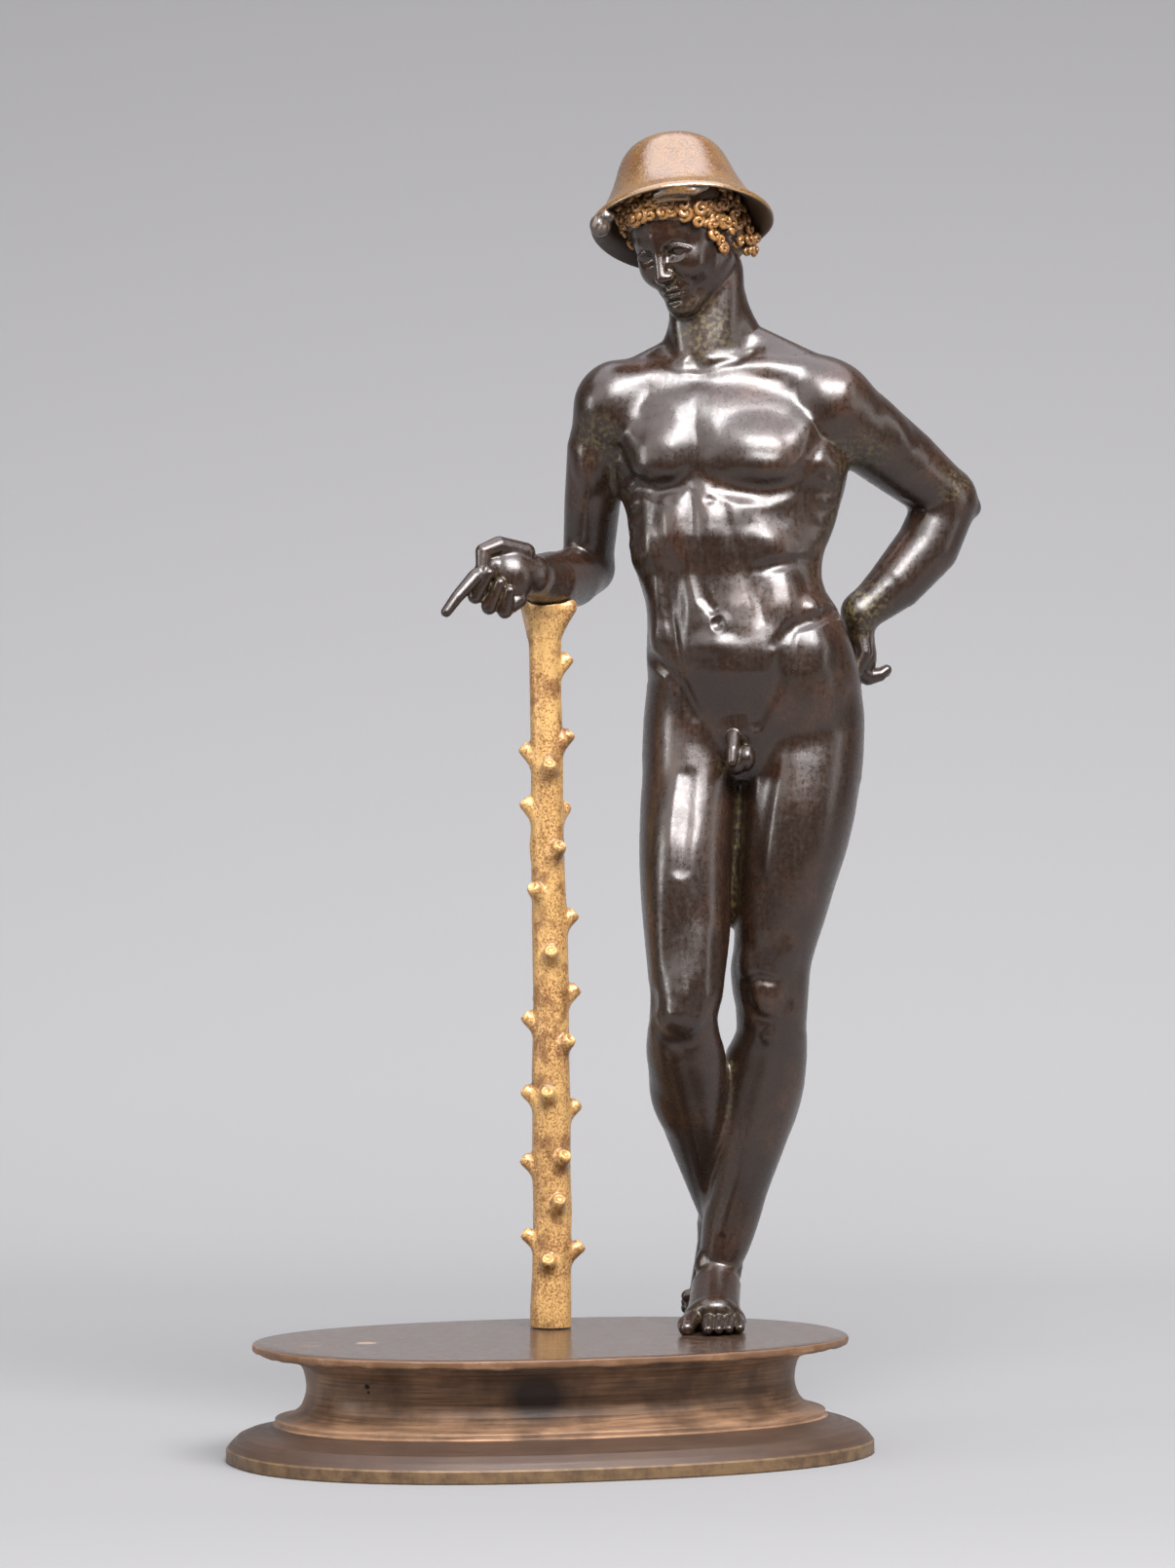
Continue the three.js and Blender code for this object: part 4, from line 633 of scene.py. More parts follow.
@dataclass(frozen=True)
class Bell:
    """Profile of the hat: radius, height of the top and of the underside in each row.

    Attributes:
        rows: the profile from the crown to the brim.
        dents: angle, half width and depth of each dent in the brim.
        brim: radius of the brim.
        reach: half size of the box round it that is worked on.
        edge: rounding of the brim's edge.
        flare, spread: radius where dents begin and how far on they are full.
        at, turn: place and axes of the hat.
    """

    rows: tuple = (
        (0, 98.5, 88), (14, 98.2, 87), (26, 97, 85), (38, 94, 79), (46, 89, 69),
        (53, 80, 56), (58, 69, 44), (62.5, 56, 33), (69, 40, 22), (76, 26, 12), (84, 14, 5),
        (95, 4, -3),
    )
    dents: tuple = ((145, 60, -0.17), (-12, 40, 0.03), (48, 46, -0.09))
    brim: float = 95.0
    reach: float = 121.0
    edge: float = 2.5
    flare: float = 55.0
    spread: float = 40.0
    at: tuple = HAT_AT
    turn: Array = field(default_factory=lambda: HAT_TURN)

    def heights(self, x: Array, y: Array) -> tuple:
        """Undented radius, both heights and the cosines of both slopes at sideways places.

        The radius is divided by 1 + sum of depth (1 - (a - a0)^2 / w^2)^2 over the dents,
        which fade in from the crown to the brim.

        Args:
            x, y: the places, across the axis.

        Returns:
            The five values at each place.
        """
        r = np.sqrt(x * x + y * y)
        angle = np.degrees(np.arctan2(y, x))
        share = np.ones_like(r)
        for at, wide, depth in self.dents:
            off = (angle - at + 180) % 360 - 180
            fade = np.clip((r - self.flare) / self.spread, 0, 1)
            share += depth * np.clip(1 - (off / wide) ** 2, 0, 1) ** 2 * fade
        r = r / share
        line = np.linspace(0, self.brim + 60, 400)
        value = smooth_curve(self.rows, np.clip(line, 0, self.rows[-1][0]))
        tilt = 1 / np.sqrt(1 + np.gradient(value, line, axis=0) ** 2)
        read = [np.interp(r, line, column).astype(np.float32)
                for column in (value[:, 0], value[:, 1], tilt[:, 0], tilt[:, 1])]
        return (r, *read)


BELL = Bell()
HAT_WALL = 3.5


TRUNK_SQUARE = 2.25
RIGHT_LEG_SQUARE = 2.1
LEFT_LEG_SQUARE = 2.08
TRUNK_ROWS = [
    (985, -62, 50, -10, 44), (968, -92, 92, -27, 56), (945, -104, 110, -42, 64),
    (925, -104, 119, -50, 68), (905, -104, 128, -55, 70), (888, -101, 135, -57, 70),
    (865, -98, 131, -55.5, 68), (848, -96, 127, -58.5, 64), (830, -95, 123, -62, 60),
    (812, -92, 117, -66, 55), (800, -90, 112, -66, 52), (788, -87, 109, -64.5, 49),
    (776, -83, 108, -63, 47), (762, -80, 111, -64, 46), (740, -75, 124, -69, 50),
    (718, -73, 133, -75, 58), (700, -72, 140, -78, 70), (680, -71, 146, -76, 82),
    (665, -70, 149, -71, 90), (625, -71, 150, -58, 96), (590, -71, 148, -45, 84),
    (565, -60, 140, -30, 56),
]
TRUNK_MOUNDS = [
    # pectorals and their outer ends
    (-60, 900, 48, 44, 9, -10), (-62, 884, 40, 18, 3), (46, 902, 58, 46, 10.5, 10),
    (50, 884, 46, 18, 3.5, 8), (88, 922, 26, 34, 4, 24), (-92, 926, 24, 34, 4, -24),
    # upper belly pads with a pit over each
    (-45, 831, 24, 36, 4), (-8, 831, 20, 36, 3.5), (18, 838, 22, 28, 2, 28),
    (88, 834, 56, 76, -7), (-90, 838, 34, 60, -4), (-48, 852, 9, 7, -2, 0, 2),
    (-7, 852, 10, 7, -2, 0, 2),
    # rib arch on the left side
    (58, 838, 28, 18, -1.5, 24), (62, 804, 30, 19, 2.5, 12),
    # bands below the waist, oblique muscles, hip
    (20, 752, 28, 46, 4), (-22, 748, 22, 42, 3), (68, 754, 28, 42, 7), (97, 743, 18, 18, 5),
    (-64, 742, 20, 40, 3, 6), (-82, 735, 24, 60, -4), (-60, 710, 20, 24, 3.5, 24),
    (106, 700, 24, 34, 3), (94, 642, 38, 66, 7),
    # navel in its ring, lower belly
    (0, 727, 18, 17, 2.5), (-4, 706, 30, 18, 3), (10, 672, 50, 46, 4, -12),
    (22, 616, 28, 22, 5), (0, 727, 7.5, 9, -9, 0, 3),
]
TRUNK_FURROWS = [
    # under the pectorals, the breast bone, the armpit folds
    ([(-98, 878), (-84, 868), (-62, 863), (-40, 868), (-28, 880)],
     [12, 14, 15, 14, 12], [-2, -4, -5, -4, -2], 2),
    ([(-16, 880), (2, 868), (24, 861), (52, 859), (74, 866), (88, 884)],
     [12, 14, 16, 16, 15, 13], [-2, -4, -5, -5, -4, -2], 2),
    ([(-22, 962), (-22, 935), (-23, 905), (-24, 878)], [22, 23, 24, 22], [0, -2, -4, -4.5], 0),
    ([(-22, 950), (-23, 905), (-24, 872)], 8, [-0.5, -1, -1], -3),
    ([(113, 948), (104, 920), (94, 890)], 14, [-1.5, -2, -1.5], 1),
    ([(-110, 950), (-103, 915), (-92, 884)], 14, [-2.5, -3, -2.5], 0),
    # centre line and outer lines of the belly
    ([(-26, 858), (-24, 815), (-22, 780), (-14, 752), (-4, 740)],
     [9, 9, 9, 9, 7], [-1.5, -2, -2.5, -3, -3], 1),
    ([(-66, 850), (-60, 805), (-48, 778), (-41, 745), (-43, 705)],
     16, [-1, -1.5, -2, -2, -1.2], 0),
    ([(4, 846), (16, 812), (28, 782), (42, 745), (48, 706)],
     10, [-1, -1, -1.3, -2.2, -1.3], 3),
    ([(-57, 784), (-50, 742), (-42, 698), (-33, 655)], 8, [-1.5, -2.5, -2.5, -1.5], 1),
    # under the rib arch
    ([(40, 782), (58, 785), (86, 790), (104, 792)], 9, [-2, -4, -4, -2], 2),
    # over the hip bones, and the groin
    ([(60, 706), (78, 724), (100, 731), (124, 740)], 10, [-4, -6, -5, -3], 3),
    ([(-76, 690), (-64, 688), (-50, 677), (-36, 660), (-22, 632)],
     [10, 11, 12, 13, 11], [-4, -5, -6, -6, -4], 1),
    ([(74, 718), (68, 696), (60, 662), (40, 624)], [11, 12, 12, 12], [-4, -5, -5, -5], 2),
]
RIGHT_LEG_ROWS = [
    (660, -66, 4, -36, 60), (625, -72, 22, -45, 74), (575, -75, 24, -57, 66),
    (535, -78, 20, -70, 52), (495, -79, 17, -82, 38), (455, -78, 15, -89, 24),
    (415, -75, 14, -93, 12), (394, -73, 12, -96, 4), (363, -70, 8, -103, -7),
    (346, -68, 6, -106, -12), (322, -69, 1, -104, -12), (308, -71, 3, -96, -8),
    (290, -72, 8, -82, 6), (270, -70, 11, -70, 20), (240, -65, 12, -50, 36),
    (210, -56, 12, -30, 50), (180, -45, 13, -5, 64), (150, -33, 13, 20, 75),
    (125, -23, 14, 38, 86), (105, -15, 15, 50, 96), (88, -10, 17, 60, 104),
]
RIGHT_LEG_MOUNDS = [
    (-50, 500, 44, 100, 3), (-60, 430, 22, 64, 1.5), (-16, 392, 20, 40, 2),
    (-60, 398, 18, 44, 1.5), (-46, 328, 18, 21, 2.5), (-46, 330, 5, 5, 1, 0, 3),
    (-65, 342, 10, 20, -3), (-22, 344, 10, 22, -3), (-43, 288, 12, 12, 3),
]
RIGHT_LEG_FURROWS = [
    ([(-30, 570), (-34, 520), (-38, 478)], [14, 16, 14], [-2, -3.5, -2], 2),
    ([(-64, 316), (-52, 303), (-28, 302), (-10, 318)], 12, [-2, -3, -3, -2], 0),
    ([(-42, 278), (-30, 230), (-18, 170), (-6, 110)], [12, 12, 11, 10], [2, 2.5, 2.5, 2], 0),
]
LEFT_LEG_ROWS = [
    (660, 46, 142, -38, 66), (625, 26, 150, -48, 82), (575, 25, 149, -58, 78),
    (535, 24, 144, -62, 70), (495, 22, 135, -62, 60), (455, 21, 122, -60, 52),
    (415, 19, 110, -56, 44), (394, 18, 103, -53, 40), (370, 15, 97, -51, 37),
    (346, 17, 95, -49, 36), (330, 20, 94, -46, 36), (309, 21, 93, -41, 41),
    (297, 17, 94, -38, 46), (285, 11, 94, -34, 52), (255, 4, 92, -30, 62),
    (225, 2, 85, -26, 64), (195, 0, 75, -22, 62), (165, -3, 64, -16, 60),
    (135, -7, 53, -8, 57), (110, -13, 46, 0, 59), (80, -16, 36, 6, 62),
    (60, -21, 27, 10, 66),
]
LEFT_LEG_MOUNDS = [
    (88, 500, 52, 120, 4), (38, 420, 22, 48, 3), (30, 376, 14, 26, 4),
    (74, 386, 16, 28, 3), (51, 340, 18, 21, 1.2), (73, 342, 10, 20, -3),
    (54, 302, 12, 12, 3), (116, 650, 22, 46, 4),
]
LEFT_LEG_FURROWS = [
    ([(70, 640), (50, 560), (40, 480)], [14, 16, 14], [-2, -3, -2], 2),
    ([(29, 359), (43, 363), (59, 360)], [7, 8, 7], [-2.5, -3, -2], 1),
    ([(30, 356), (32, 337), (42, 322), (56, 319)], 9, [-1.5, -2, -2, -1.2], 0),
    ([(56, 288), (42, 230), (26, 160), (8, 100)], [12, 12, 11, 9], [2, 2.5, 2.5, 2], 0),
]


class Figure(Clay):
    """A block of clay on which the youth is modelled shape by shape, in parts."""

    def whole(self, covered: bool) -> None:
        """The whole figure; shapes outside the block are skipped.

        Args:
            covered: whether the hair that lies under the hat is there.
        """
        self.torso()
        self.legs()
        self.arms()
        self.neck()
        self.head(covered)
        self.feet()
        self.hands()

    def torso(self) -> None:
        """Trunk from the neck pit to the hips, front and back."""
        self.stack(TRUNK_ROWS, TRUNK_SQUARE, 6)
        # trapezius: neck to shoulders
        self.chain([(-24, 26, 1034), (-42, 27, 1001), (-98, 16, 970)], [14, 18, 20], soft=16)
        self.chain([(14, 24, 1050), (30, 26, 1012), (104, 18, 978)], [16, 23, 22], soft=20)
        self.ball((-8, 34, 975), (46, 24, 44), soft=14)
        self.chain([(6, -3, 984), (50, -1, 983), (96, 2, 973)], [16, 19, 21], soft=18)
        self.chain([(-38, -3, 980), (-70, -1, 974), (-96, 2, 966)], [14, 17, 19], soft=16)
        # collar bones and the hollow above each
        for bone in ([(-24, -20, 983), (-54, -28, 982), (-92, -16, 982)],
                     [(-16, -20, 983), (26, -28, 986), (84, -16, 996)]):
            self.crease(bone, [16, 17, 16], [0.5, 0.7, 0.5])
        self.relief(TRUNK_ROWS, TRUNK_SQUARE, TRUNK_MOUNDS, TRUNK_FURROWS)
        # ribs
        for i in range(4):
            self.swell((110 - 4 * i, -18 + 2 * i, 872 - 20 * i), (14, 24, 9), 3, turn=(0, 28, 0))
            self.swell((-88 + 2 * i, -18 + 2 * i, 868 - 20 * i), (13, 22, 9), 2.5, turn=(0, -28, 0))
        # broad muscle of the back, seen from the front
        self.swell((118, 22, 884), (22, 40, 60), 6)
        self.swell((-94, 22, 884), (20, 38, 56), 5)
        # sex
        self.ball((30, -60, 589), (9.5, 14, 14), soft=3)
        self.ball((19, -58, 583), (10.5, 14, 12), soft=3)
        self.chain([(17, -58, 611), (16, -70, 598), (15, -75, 585)], [7, 6.5, 5], soft=2)
        # buttocks
        self.swell((-30, 84, 618), (62, 60, 66), 16)
        self.swell((94, 88, 636), (66, 62, 70), 16)
        # back
        for cord in ([(-26, 58, 880), (-22, 50, 800), (-6, 50, 735)],
                     [(36, 60, 880), (38, 50, 800), (52, 52, 740)]):
            self.crease(cord, [34, 36, 32], [4, 7, 4])
        self.crease(
            [(-8, 66, 1000), (2, 76, 920), (4, 68, 860), (6, 56, 800), (16, 52, 750),
             (28, 64, 700)],
            [16, 16, 16, 18, 18, 14], [-4, -6, -7, -8, -7, -3],
        )
        self.swell((-58, 64, 918), (40, 28, 48), 7, turn=(0, -14, 0))
        self.swell((80, 64, 924), (44, 28, 48), 7, turn=(0, 16, 0))
        for edge in ([(-34, 70, 905), (-52, 68, 868), (-84, 56, 872)],
                     [(48, 70, 905), (72, 68, 870), (108, 52, 880)]):
            self.crease(edge, 14, [-3, -5, -3])
        self.crease(
            [(30, 92, 690), (31, 100, 640), (32, 98, 595), (28, 80, 560)], [18, 24, 26, 20],
            [-5, -16, -22, -16],
        )
        self.swell((66, 62, 740), (30, 30, 30), 4)
        self.swell((-46, 58, 730), (26, 28, 28), 4)

    def legs(self) -> None:
        """Both legs from the groin to the ankles."""
        self.stack(RIGHT_LEG_ROWS, RIGHT_LEG_SQUARE, 10)
        self.stack(LEFT_LEG_ROWS, LEFT_LEG_SQUARE, 10)
        self.relief(RIGHT_LEG_ROWS, RIGHT_LEG_SQUARE, RIGHT_LEG_MOUNDS, RIGHT_LEG_FURROWS)
        self.relief(LEFT_LEG_ROWS, LEFT_LEG_SQUARE, LEFT_LEG_MOUNDS, LEFT_LEG_FURROWS)
        self.chain([(22, 8, 560), (23, 4, 490), (21, 0, 424)], [24, 20, 13], soft=4)
        # calves
        self.swell((-54, -8, 236), (26, 34, 60), 5, turn=(-22, 0, 0))
        self.swell((-20, 20, 240), (30, 34, 60), 6, turn=(-22, 0, 0))
        self.swell((74, 34, 240), (26, 34, 60), 4)
        self.swell((24, 44, 236), (28, 34, 56), 6)
        # back of the knees
        self.crease([(28, 36, 350), (60, 44, 340), (88, 32, 350)], [18, 20, 18], [-4, -8, -4])
        self.crease([(-60, -16, 330), (-30, -12, 320), (0, -18, 330)], [16, 20, 16], [-4, -6, -4])
        # thigh parting line, front and back
        self.crease(
            [(22, -46, 562), (22.6, -60, 545), (22, -62, 480), (18, -66, 420), (18, -66, 400)],
            [11, 14, 16, 16, 14], [-7, -8, -7, -7, -10],
        )
        self.crease(
            [(26, 80, 570), (23, 66, 500), (20, 44, 430), (18, 30, 400)], [20, 22, 22, 18],
            [-12, -10, -9, -10],
        )

    def feet(self) -> None:
        """Left foot flat, right foot on its toes."""
        # left foot, flat
        self.ball((2, 56, 22), (21, 30, 23), soft=6)
        self.cone((2, 32, 50), (-2, -34, 20), 22, 17, soft=8, flat=(0, 0.5, 0.87, 0.85))
        self.cone((0, 16, 40), (-3, -36, 17), 24, 27, soft=9, flat=(0, 0.45, 0.89, 0.62))
        self.ball((-4, -34, 12), (29, 22, 12), soft=8)
        self.cone((12, 44, 10), (20, -36, 9), 11, 10, soft=7)
        self.cone((-8, 40, 14), (-18, -40, 12), 12, 12, soft=7)
        for x, tip_x, tip_y, r in ((-22, -31, -80, 9.6), (-7, -9.5, -90, 6.3), (3, 1.5, -89, 5.8),
                                   (13, 12, -84, 5.6), (22, 23.5, -76, 5.8)):
            self.chain(
                [(x, -44, 12), (x * 0.6 + tip_x * 0.4, tip_y + 24, 13.5),
                 (tip_x, tip_y + 9, 10), (tip_x, tip_y, 7)], [r, r, r, r * 0.85], soft=1.2,
            )
            self.swell((tip_x, tip_y - 3, 13), (r * 0.5, 4, 3.4), -0.9)
            self.crease(
                [(x * 0.3, 4, 46), (x * 0.7, -22, 32), (x, -44, 22)], 5, [0.6, 1.3, 0.8],
            )
        self.swell((-16, 26, 66), (13, 15, 14), 3.5)
        self.swell((22, 36, 54), (12, 14, 14), 4)
        self.crease([(24, 60, 60), (22, 74, 90), (14, 72, 130)], 12, [-4, -3, -1])
        # right foot on its toes
        self.cone((4, 84, 100), (10, 112, 86), 20, 18, soft=8)
        self.cone((4, 88, 96), (-12, 86, 22), 19, 15, soft=10)
        self.cone((10, 116, 86), (-4, 92, 18), 16, 13, soft=10)
        self.cone((-8, 82, 16), (-20, 84, 14), 13, 11, soft=5)
        for i in range(3):
            y, z = 80 + 9 * i, 27 - 7 * i
            self.cone((-14, y, z), (-28, y + 2, z - 3), 7.5, 6.8, soft=2)

    def arms(self) -> None:
        """Both arms from the shoulders to the wrists."""
        self.ball((-106, 10, 950), (38, 38, 43), soft=14)
        self.chain(
            [(-109, 12, 945), (-123, 24, 905), (-127, 46, 850), (-130, 66, 810), (-131, 80, 782)],
            [34, 30, 29, 27, 25], soft=12,
        )
        self.swell((-132, -4, 868), (26, 26, 54), 6, turn=(-22, 0, 0))
        self.swell((-128, 76, 862), (26, 26, 54), 5, turn=(-20, 0, 0))
        self.chain(
            [(-131, 80, 780), (-148, 44, 770), (-170, -6, 770), (-193, -58, 774)],
            [26, 29, 29, 21], soft=8,
        )
        self.swell((-150, 40, 796), (26, 40, 20), 3)
        self.swell((-128, 102, 774), (16, 16, 16), 4)
        self.ball((117, 14, 951), (42, 40, 42), soft=14)
        self.chain(
            [(116, 14, 950), (150, 34, 924), (195, 58, 890), (236, 82, 857)], [43, 41, 37, 31],
            soft=12,
        )
        self.swell((176, 22, 930), (50, 24, 26), 5, turn=(0, 34, -26))
        self.swell((186, 84, 900), (50, 26, 26), 5, turn=(0, 34, -26))
        self.swell((140, -14, 945), (24, 26, 38), -2, turn=(0, 30, 0))
        self.chain(
            [(240, 85, 850), (220, 76, 804), (188, 62, 767), (151, 47, 735)], [32, 33, 29, 20],
            soft=8,
        )
        self.cone((240, 85, 848), (268, 92, 843), 30, 7, soft=12)
        self.crease([(218, 62, 842), (206, 56, 838), (196, 50, 846)], [9, 10, 9], [-2, -4, -2])

    def hands(self) -> None:
        """Right hand hanging, left hand on the hip."""
        self.ball((-212, -78, 774), (24, 20, 30), turn=(0, -14, 0), soft=7)
        self.cone((-190, -60, 776), (-210, -74, 776), 20, 22, soft=8)
        self.chain(
            [(-196, -72, 798), (-222, -86, 806), (-238, -96, 800), (-239, -100, 784)],
            [11, 9.5, 8, 6.5], soft=4,
        )
        self.chain(
            [(-228, -88, 786), (-246, -104, 774), (-264, -116, 754), (-275, -122, 739)],
            [9, 8, 6.5, 5.5], soft=3,
        )
        for kx, kz, tx, tz in ((-246, 752, -232, 778), (-232, 741, -221, 768),
                               (-216, 737, -211, 760)):
            self.cone((kx + 14, -84, kz + 14), (kx, -94, kz + 4), 9, 8, soft=3)
            self.cone((kx, -96, kz + 2), (tx, -102, tz), 7.5, 6, soft=2)
        self.cone((147, 48, 736), (150, 58, 690), 19, 18, soft=8, flat=(1, 0, 0, 0.86))
        self.ball((151, 64, 688), (15, 20, 26), soft=6)
        for i in range(4):
            self.chain(
                [(148, 52 + 9 * i, 676), (158, 56 + 9 * i, 669), (170, 58 + 9 * i, 671),
                 (177, 60 + 9 * i, 676 - i)], [10, 9, 7, 5.5], soft=2,
            )
        self.chain([(150, 42, 720), (154, 36, 694), (146, 34, 676)], [9, 8, 6.5], soft=5)

    def neck(self) -> None:
        """Neck with its cords."""
        self.cone((-7, 18, 985), (-10, 23, 1085), 41, 38, soft=12, flat=(0, 1, 0, 0.86))
        self.crease([(-28, -16, 986), (-46, 2, 1036), (-48, 24, 1080)], [14, 16, 16], [1.5, 2, 1.5])
        self.crease([(-16, -18, 986), (10, -12, 1030), (28, 8, 1084)], [16, 20, 18], [1, 1, 1])
        self.swell((-22, -20, 992), (13, 14, 13), -3.5)
        self.crease(
            [(-58, -10, 994), (-40, -18, 988), (-14, -20, 987), (20, -16, 994), (36, -6, 1000)],
            [7, 8, 8, 8, 7], [-1.5, -2, -2, -2, -1.5],
        )

    def head(self, covered: bool) -> None:
        """Head with its face, worked in its own frame: x to its left, y behind, z up.

        Args:
            covered: whether the hair that lies under the hat is there.
        """
        self.place(HEAD_AT, HEAD_TURN, HEAD_SIZE)
        self.ball((0, 10, 14), (50, 58, 56), soft=0)
        self.ball((0, -4, -16), (41, 42, 46), soft=12)
        # jaw, cheeks, chin
        for side in (-1, 1):
            self.cone((side * 8, -32, -62), (side * 32, 8, -34), 12, 13, soft=12)
            self.ball((side * 18, -28.5, -25), (19, 18.5, 20), soft=12)
        self.ball((0, -40, -65), (14.5, 12, 12), soft=7)
        # brow ridge and the sockets under it
        self.crease(
            [(-35, -36, 3), (-20, -45, 5.5), (-7, -48, 1), (7, -48, 1), (20, -45, 5.5),
             (35, -36, 3)], [11, 11, 10, 10, 11, 11], [1, 2, 1, 1, 2, 1],
        )
        for side in (-1, 1):
            self.swell((side * 18, -47, -8), (15, 15, 10.5), -6.5)
            self.swell((side * 9, -48, -8), (8, 11, 10), -4)
        # eyeballs under heavy lids
        for side in (-1, 1):
            self.ball((side * 18.8, -33.5, -8.5), (11.5, 10.5, 10), soft=2)
            upper = [(side * 8.6, -41.4, -10), (side * 12.8, -43.8, -4.6),
                     (side * 18.8, -44.8, -2), (side * 24.8, -43, -3.6),
                     (side * 30.5, -38.4, -9.2)]
            lower = [(side * 8.6, -41.4, -10.4), (side * 13.6, -42.6, -14),
                     (side * 19.2, -43, -15.2), (side * 25, -41.2, -14),
                     (side * 30.5, -38.4, -9.6)]
            self.chain(upper, [1.3, 2.2, 2.4, 2.2, 1.4], soft=2.2)
            self.chain(lower, [1.0, 1.2, 1.4, 1.3, 1.0], soft=2)
            fold = [(x, y + 0.2, z + 4.6) for x, y, z in upper]
            self.crease(fold, 2.8, [-0.6, -1.3, -1.5, -1.3, -0.5])
        # nose: straight bridge, rounded tip, wings and nostrils
        self.chain(
            [(0, -43, 8), (0, -46.5, -5), (0, -53, -19), (0, -57, -28.5)], [5.6, 5.2, 5.6, 6.4],
            soft=7,
        )
        self.chain([(0, -57, -29), (0, -51, -34), (0, -47, -37)], [4.5, 3, 2.5], soft=3)
        for side in (-1, 1):
            self.ball((side * 6.2, -50.5, -30.5), (4.6, 7, 4.8), soft=4.5)
            self.ball((side * 3.8, -54, -34.6), (1.9, 3.6, 1.5), soft=1, join=Join.CUT)
            self.crease([(side * 10.8, -46.5, -28), (side * 12, -45.5, -34),
                         (side * 16, -43.5, -42)], [4, 4.5, 5], [-1.2, -1.2, -0.5])
        # mouth: full lips with a bow, corners drawn in
        self.ball((0, -39.5, -46.5), (18, 10.5, 13), soft=9)
        self.swell((0, -50.5, -39.5), (3.2, 6, 4.4), -1.5)
        for side in (-1, 1):
            self.chain([(side * 2, -49.6, -44.6), (side * 6.5, -48.6, -45),
                        (side * 12.4, -44.6, -47.8)], [2.7, 2.5, 1.1], soft=2.2)
            self.chain([(side * 1.5, -48.8, -51.9), (side * 6, -48, -51.6),
                        (side * 11.4, -44.8, -49.2)], [3.3, 3.0, 1.2], soft=2.2)
            self.swell((side * 14.4, -45.4, -48.2), (4.5, 6, 4.5), -1.2)
        self.crease([(-12.4, -46.2, -48.3), (-6, -50.4, -48.1), (0, -51.6, -48.7),
                     (6, -50.4, -48.1), (12.4, -46.2, -48.3)], 2.1,
                    [-0.8, -1.8, -2.0, -1.8, -0.8])
        self.swell((0, -48, -57.5), (11, 8, 4.6), -2.4)
        # ears
        for side in (-1, 1):
            self.ball((side * 46, 12, -10), (6, 11, 17), turn=(0, 0, side * 16), soft=3)
            rim = [(side * 48, 4, -20), (side * 50, 6, -8), (side * 51, 10, 3),
                   (side * 52, 18, 6), (side * 53, 24, -2), (side * 51, 22, -12)]
            self.chain(rim, [2.2, 2.4, 2.8, 2.8, 2.6, 2.2], soft=1.5)
            self.ball((side * 52, 13, -9), (4, 5.5, 9), soft=1.5, join=Join.CUT)
            self.ball((side * 48.5, 8, -23), (4, 5, 5), soft=2)
        if covered:
            self.ball((0, 18, 28), (58, 64, 56), soft=4)
            self.ball((0, 44, -24), (50, 36, 44), soft=10)
        self.place()


def to_row(points: Array) -> Array:
    """Places in the row frame, in metres: scaled by PART, moved to the stance, turned about Z.

    Args:
        points: places of the figure, in parts.

    Returns:
        The places, one in each row.
    """
    a = math.radians(STANCE_TURN)
    x = points[:, 0] * PART + STANCE_X
    y = points[:, 1] * PART + STANCE_Y
    z = points[:, 2] * PART + PLINTH_TALL
    return np.stack([x * math.cos(a) - y * math.sin(a), x * math.sin(a) + y * math.cos(a), z], 1)


def way_to_row(ways: Array) -> Array:
    """Directions in the row frame."""
    return ways @ turn_matrix((0, 0, STANCE_TURN)).T


def row_mm(place: Numbers) -> Array:
    """A place of the figure in the row frame, in millimetres."""
    return to_row(np.array([place], float))[0] / MM


@dataclass
class Surface:
    """Corner places, faces, and what is known at each corner."""

    points: Array
    faces: Array
    normals: Optional[Array] = None
    marks: dict[str, Array] = field(default_factory=dict)


def merge(surfaces: Sequence[Surface]) -> Surface:
    """One surface of several: their arrays end to end.

    Args:
        surfaces: the surfaces, with the same marks.

    Returns:
        The one surface, without normals.
    """
    starts = np.cumsum([0] + [len(s.points) for s in surfaces[:-1]])
    faces = np.concatenate([s.faces + start for s, start in zip(surfaces, starts)])
    marks = {key: np.concatenate([s.marks[key] for s in surfaces]) for key in surfaces[0].marks}
    return Surface(np.concatenate([s.points for s in surfaces]), faces, None, marks)


def sheet(rows: Array) -> Surface:
    """Surface of rows of places, each row a closed loop; the end rows are capped by a point.

    Args:
        rows: places as an array of rows by columns by 3.

    Returns:
        The surface in four-sided faces, which name a corner twice at the caps.
    """
    n, m = rows.shape[:2]
    index = np.arange(n * m).reshape(n, m)
    right = np.roll(index, -1, axis=1)
    quads = np.stack([index[:-1], right[:-1], right[1:], index[1:]], -1).reshape(-1, 4)
    first = np.full(m, n * m)
    low = np.stack([first, right[0], index[0], index[0]], 1)
    high = np.stack([first + 1, index[-1], right[-1], right[-1]], 1)
    points = np.concatenate([rows.reshape(-1, 3), [rows[0].mean(0), rows[-1].mean(0)]])
    return Surface(points, np.concatenate([quads, low, high]))


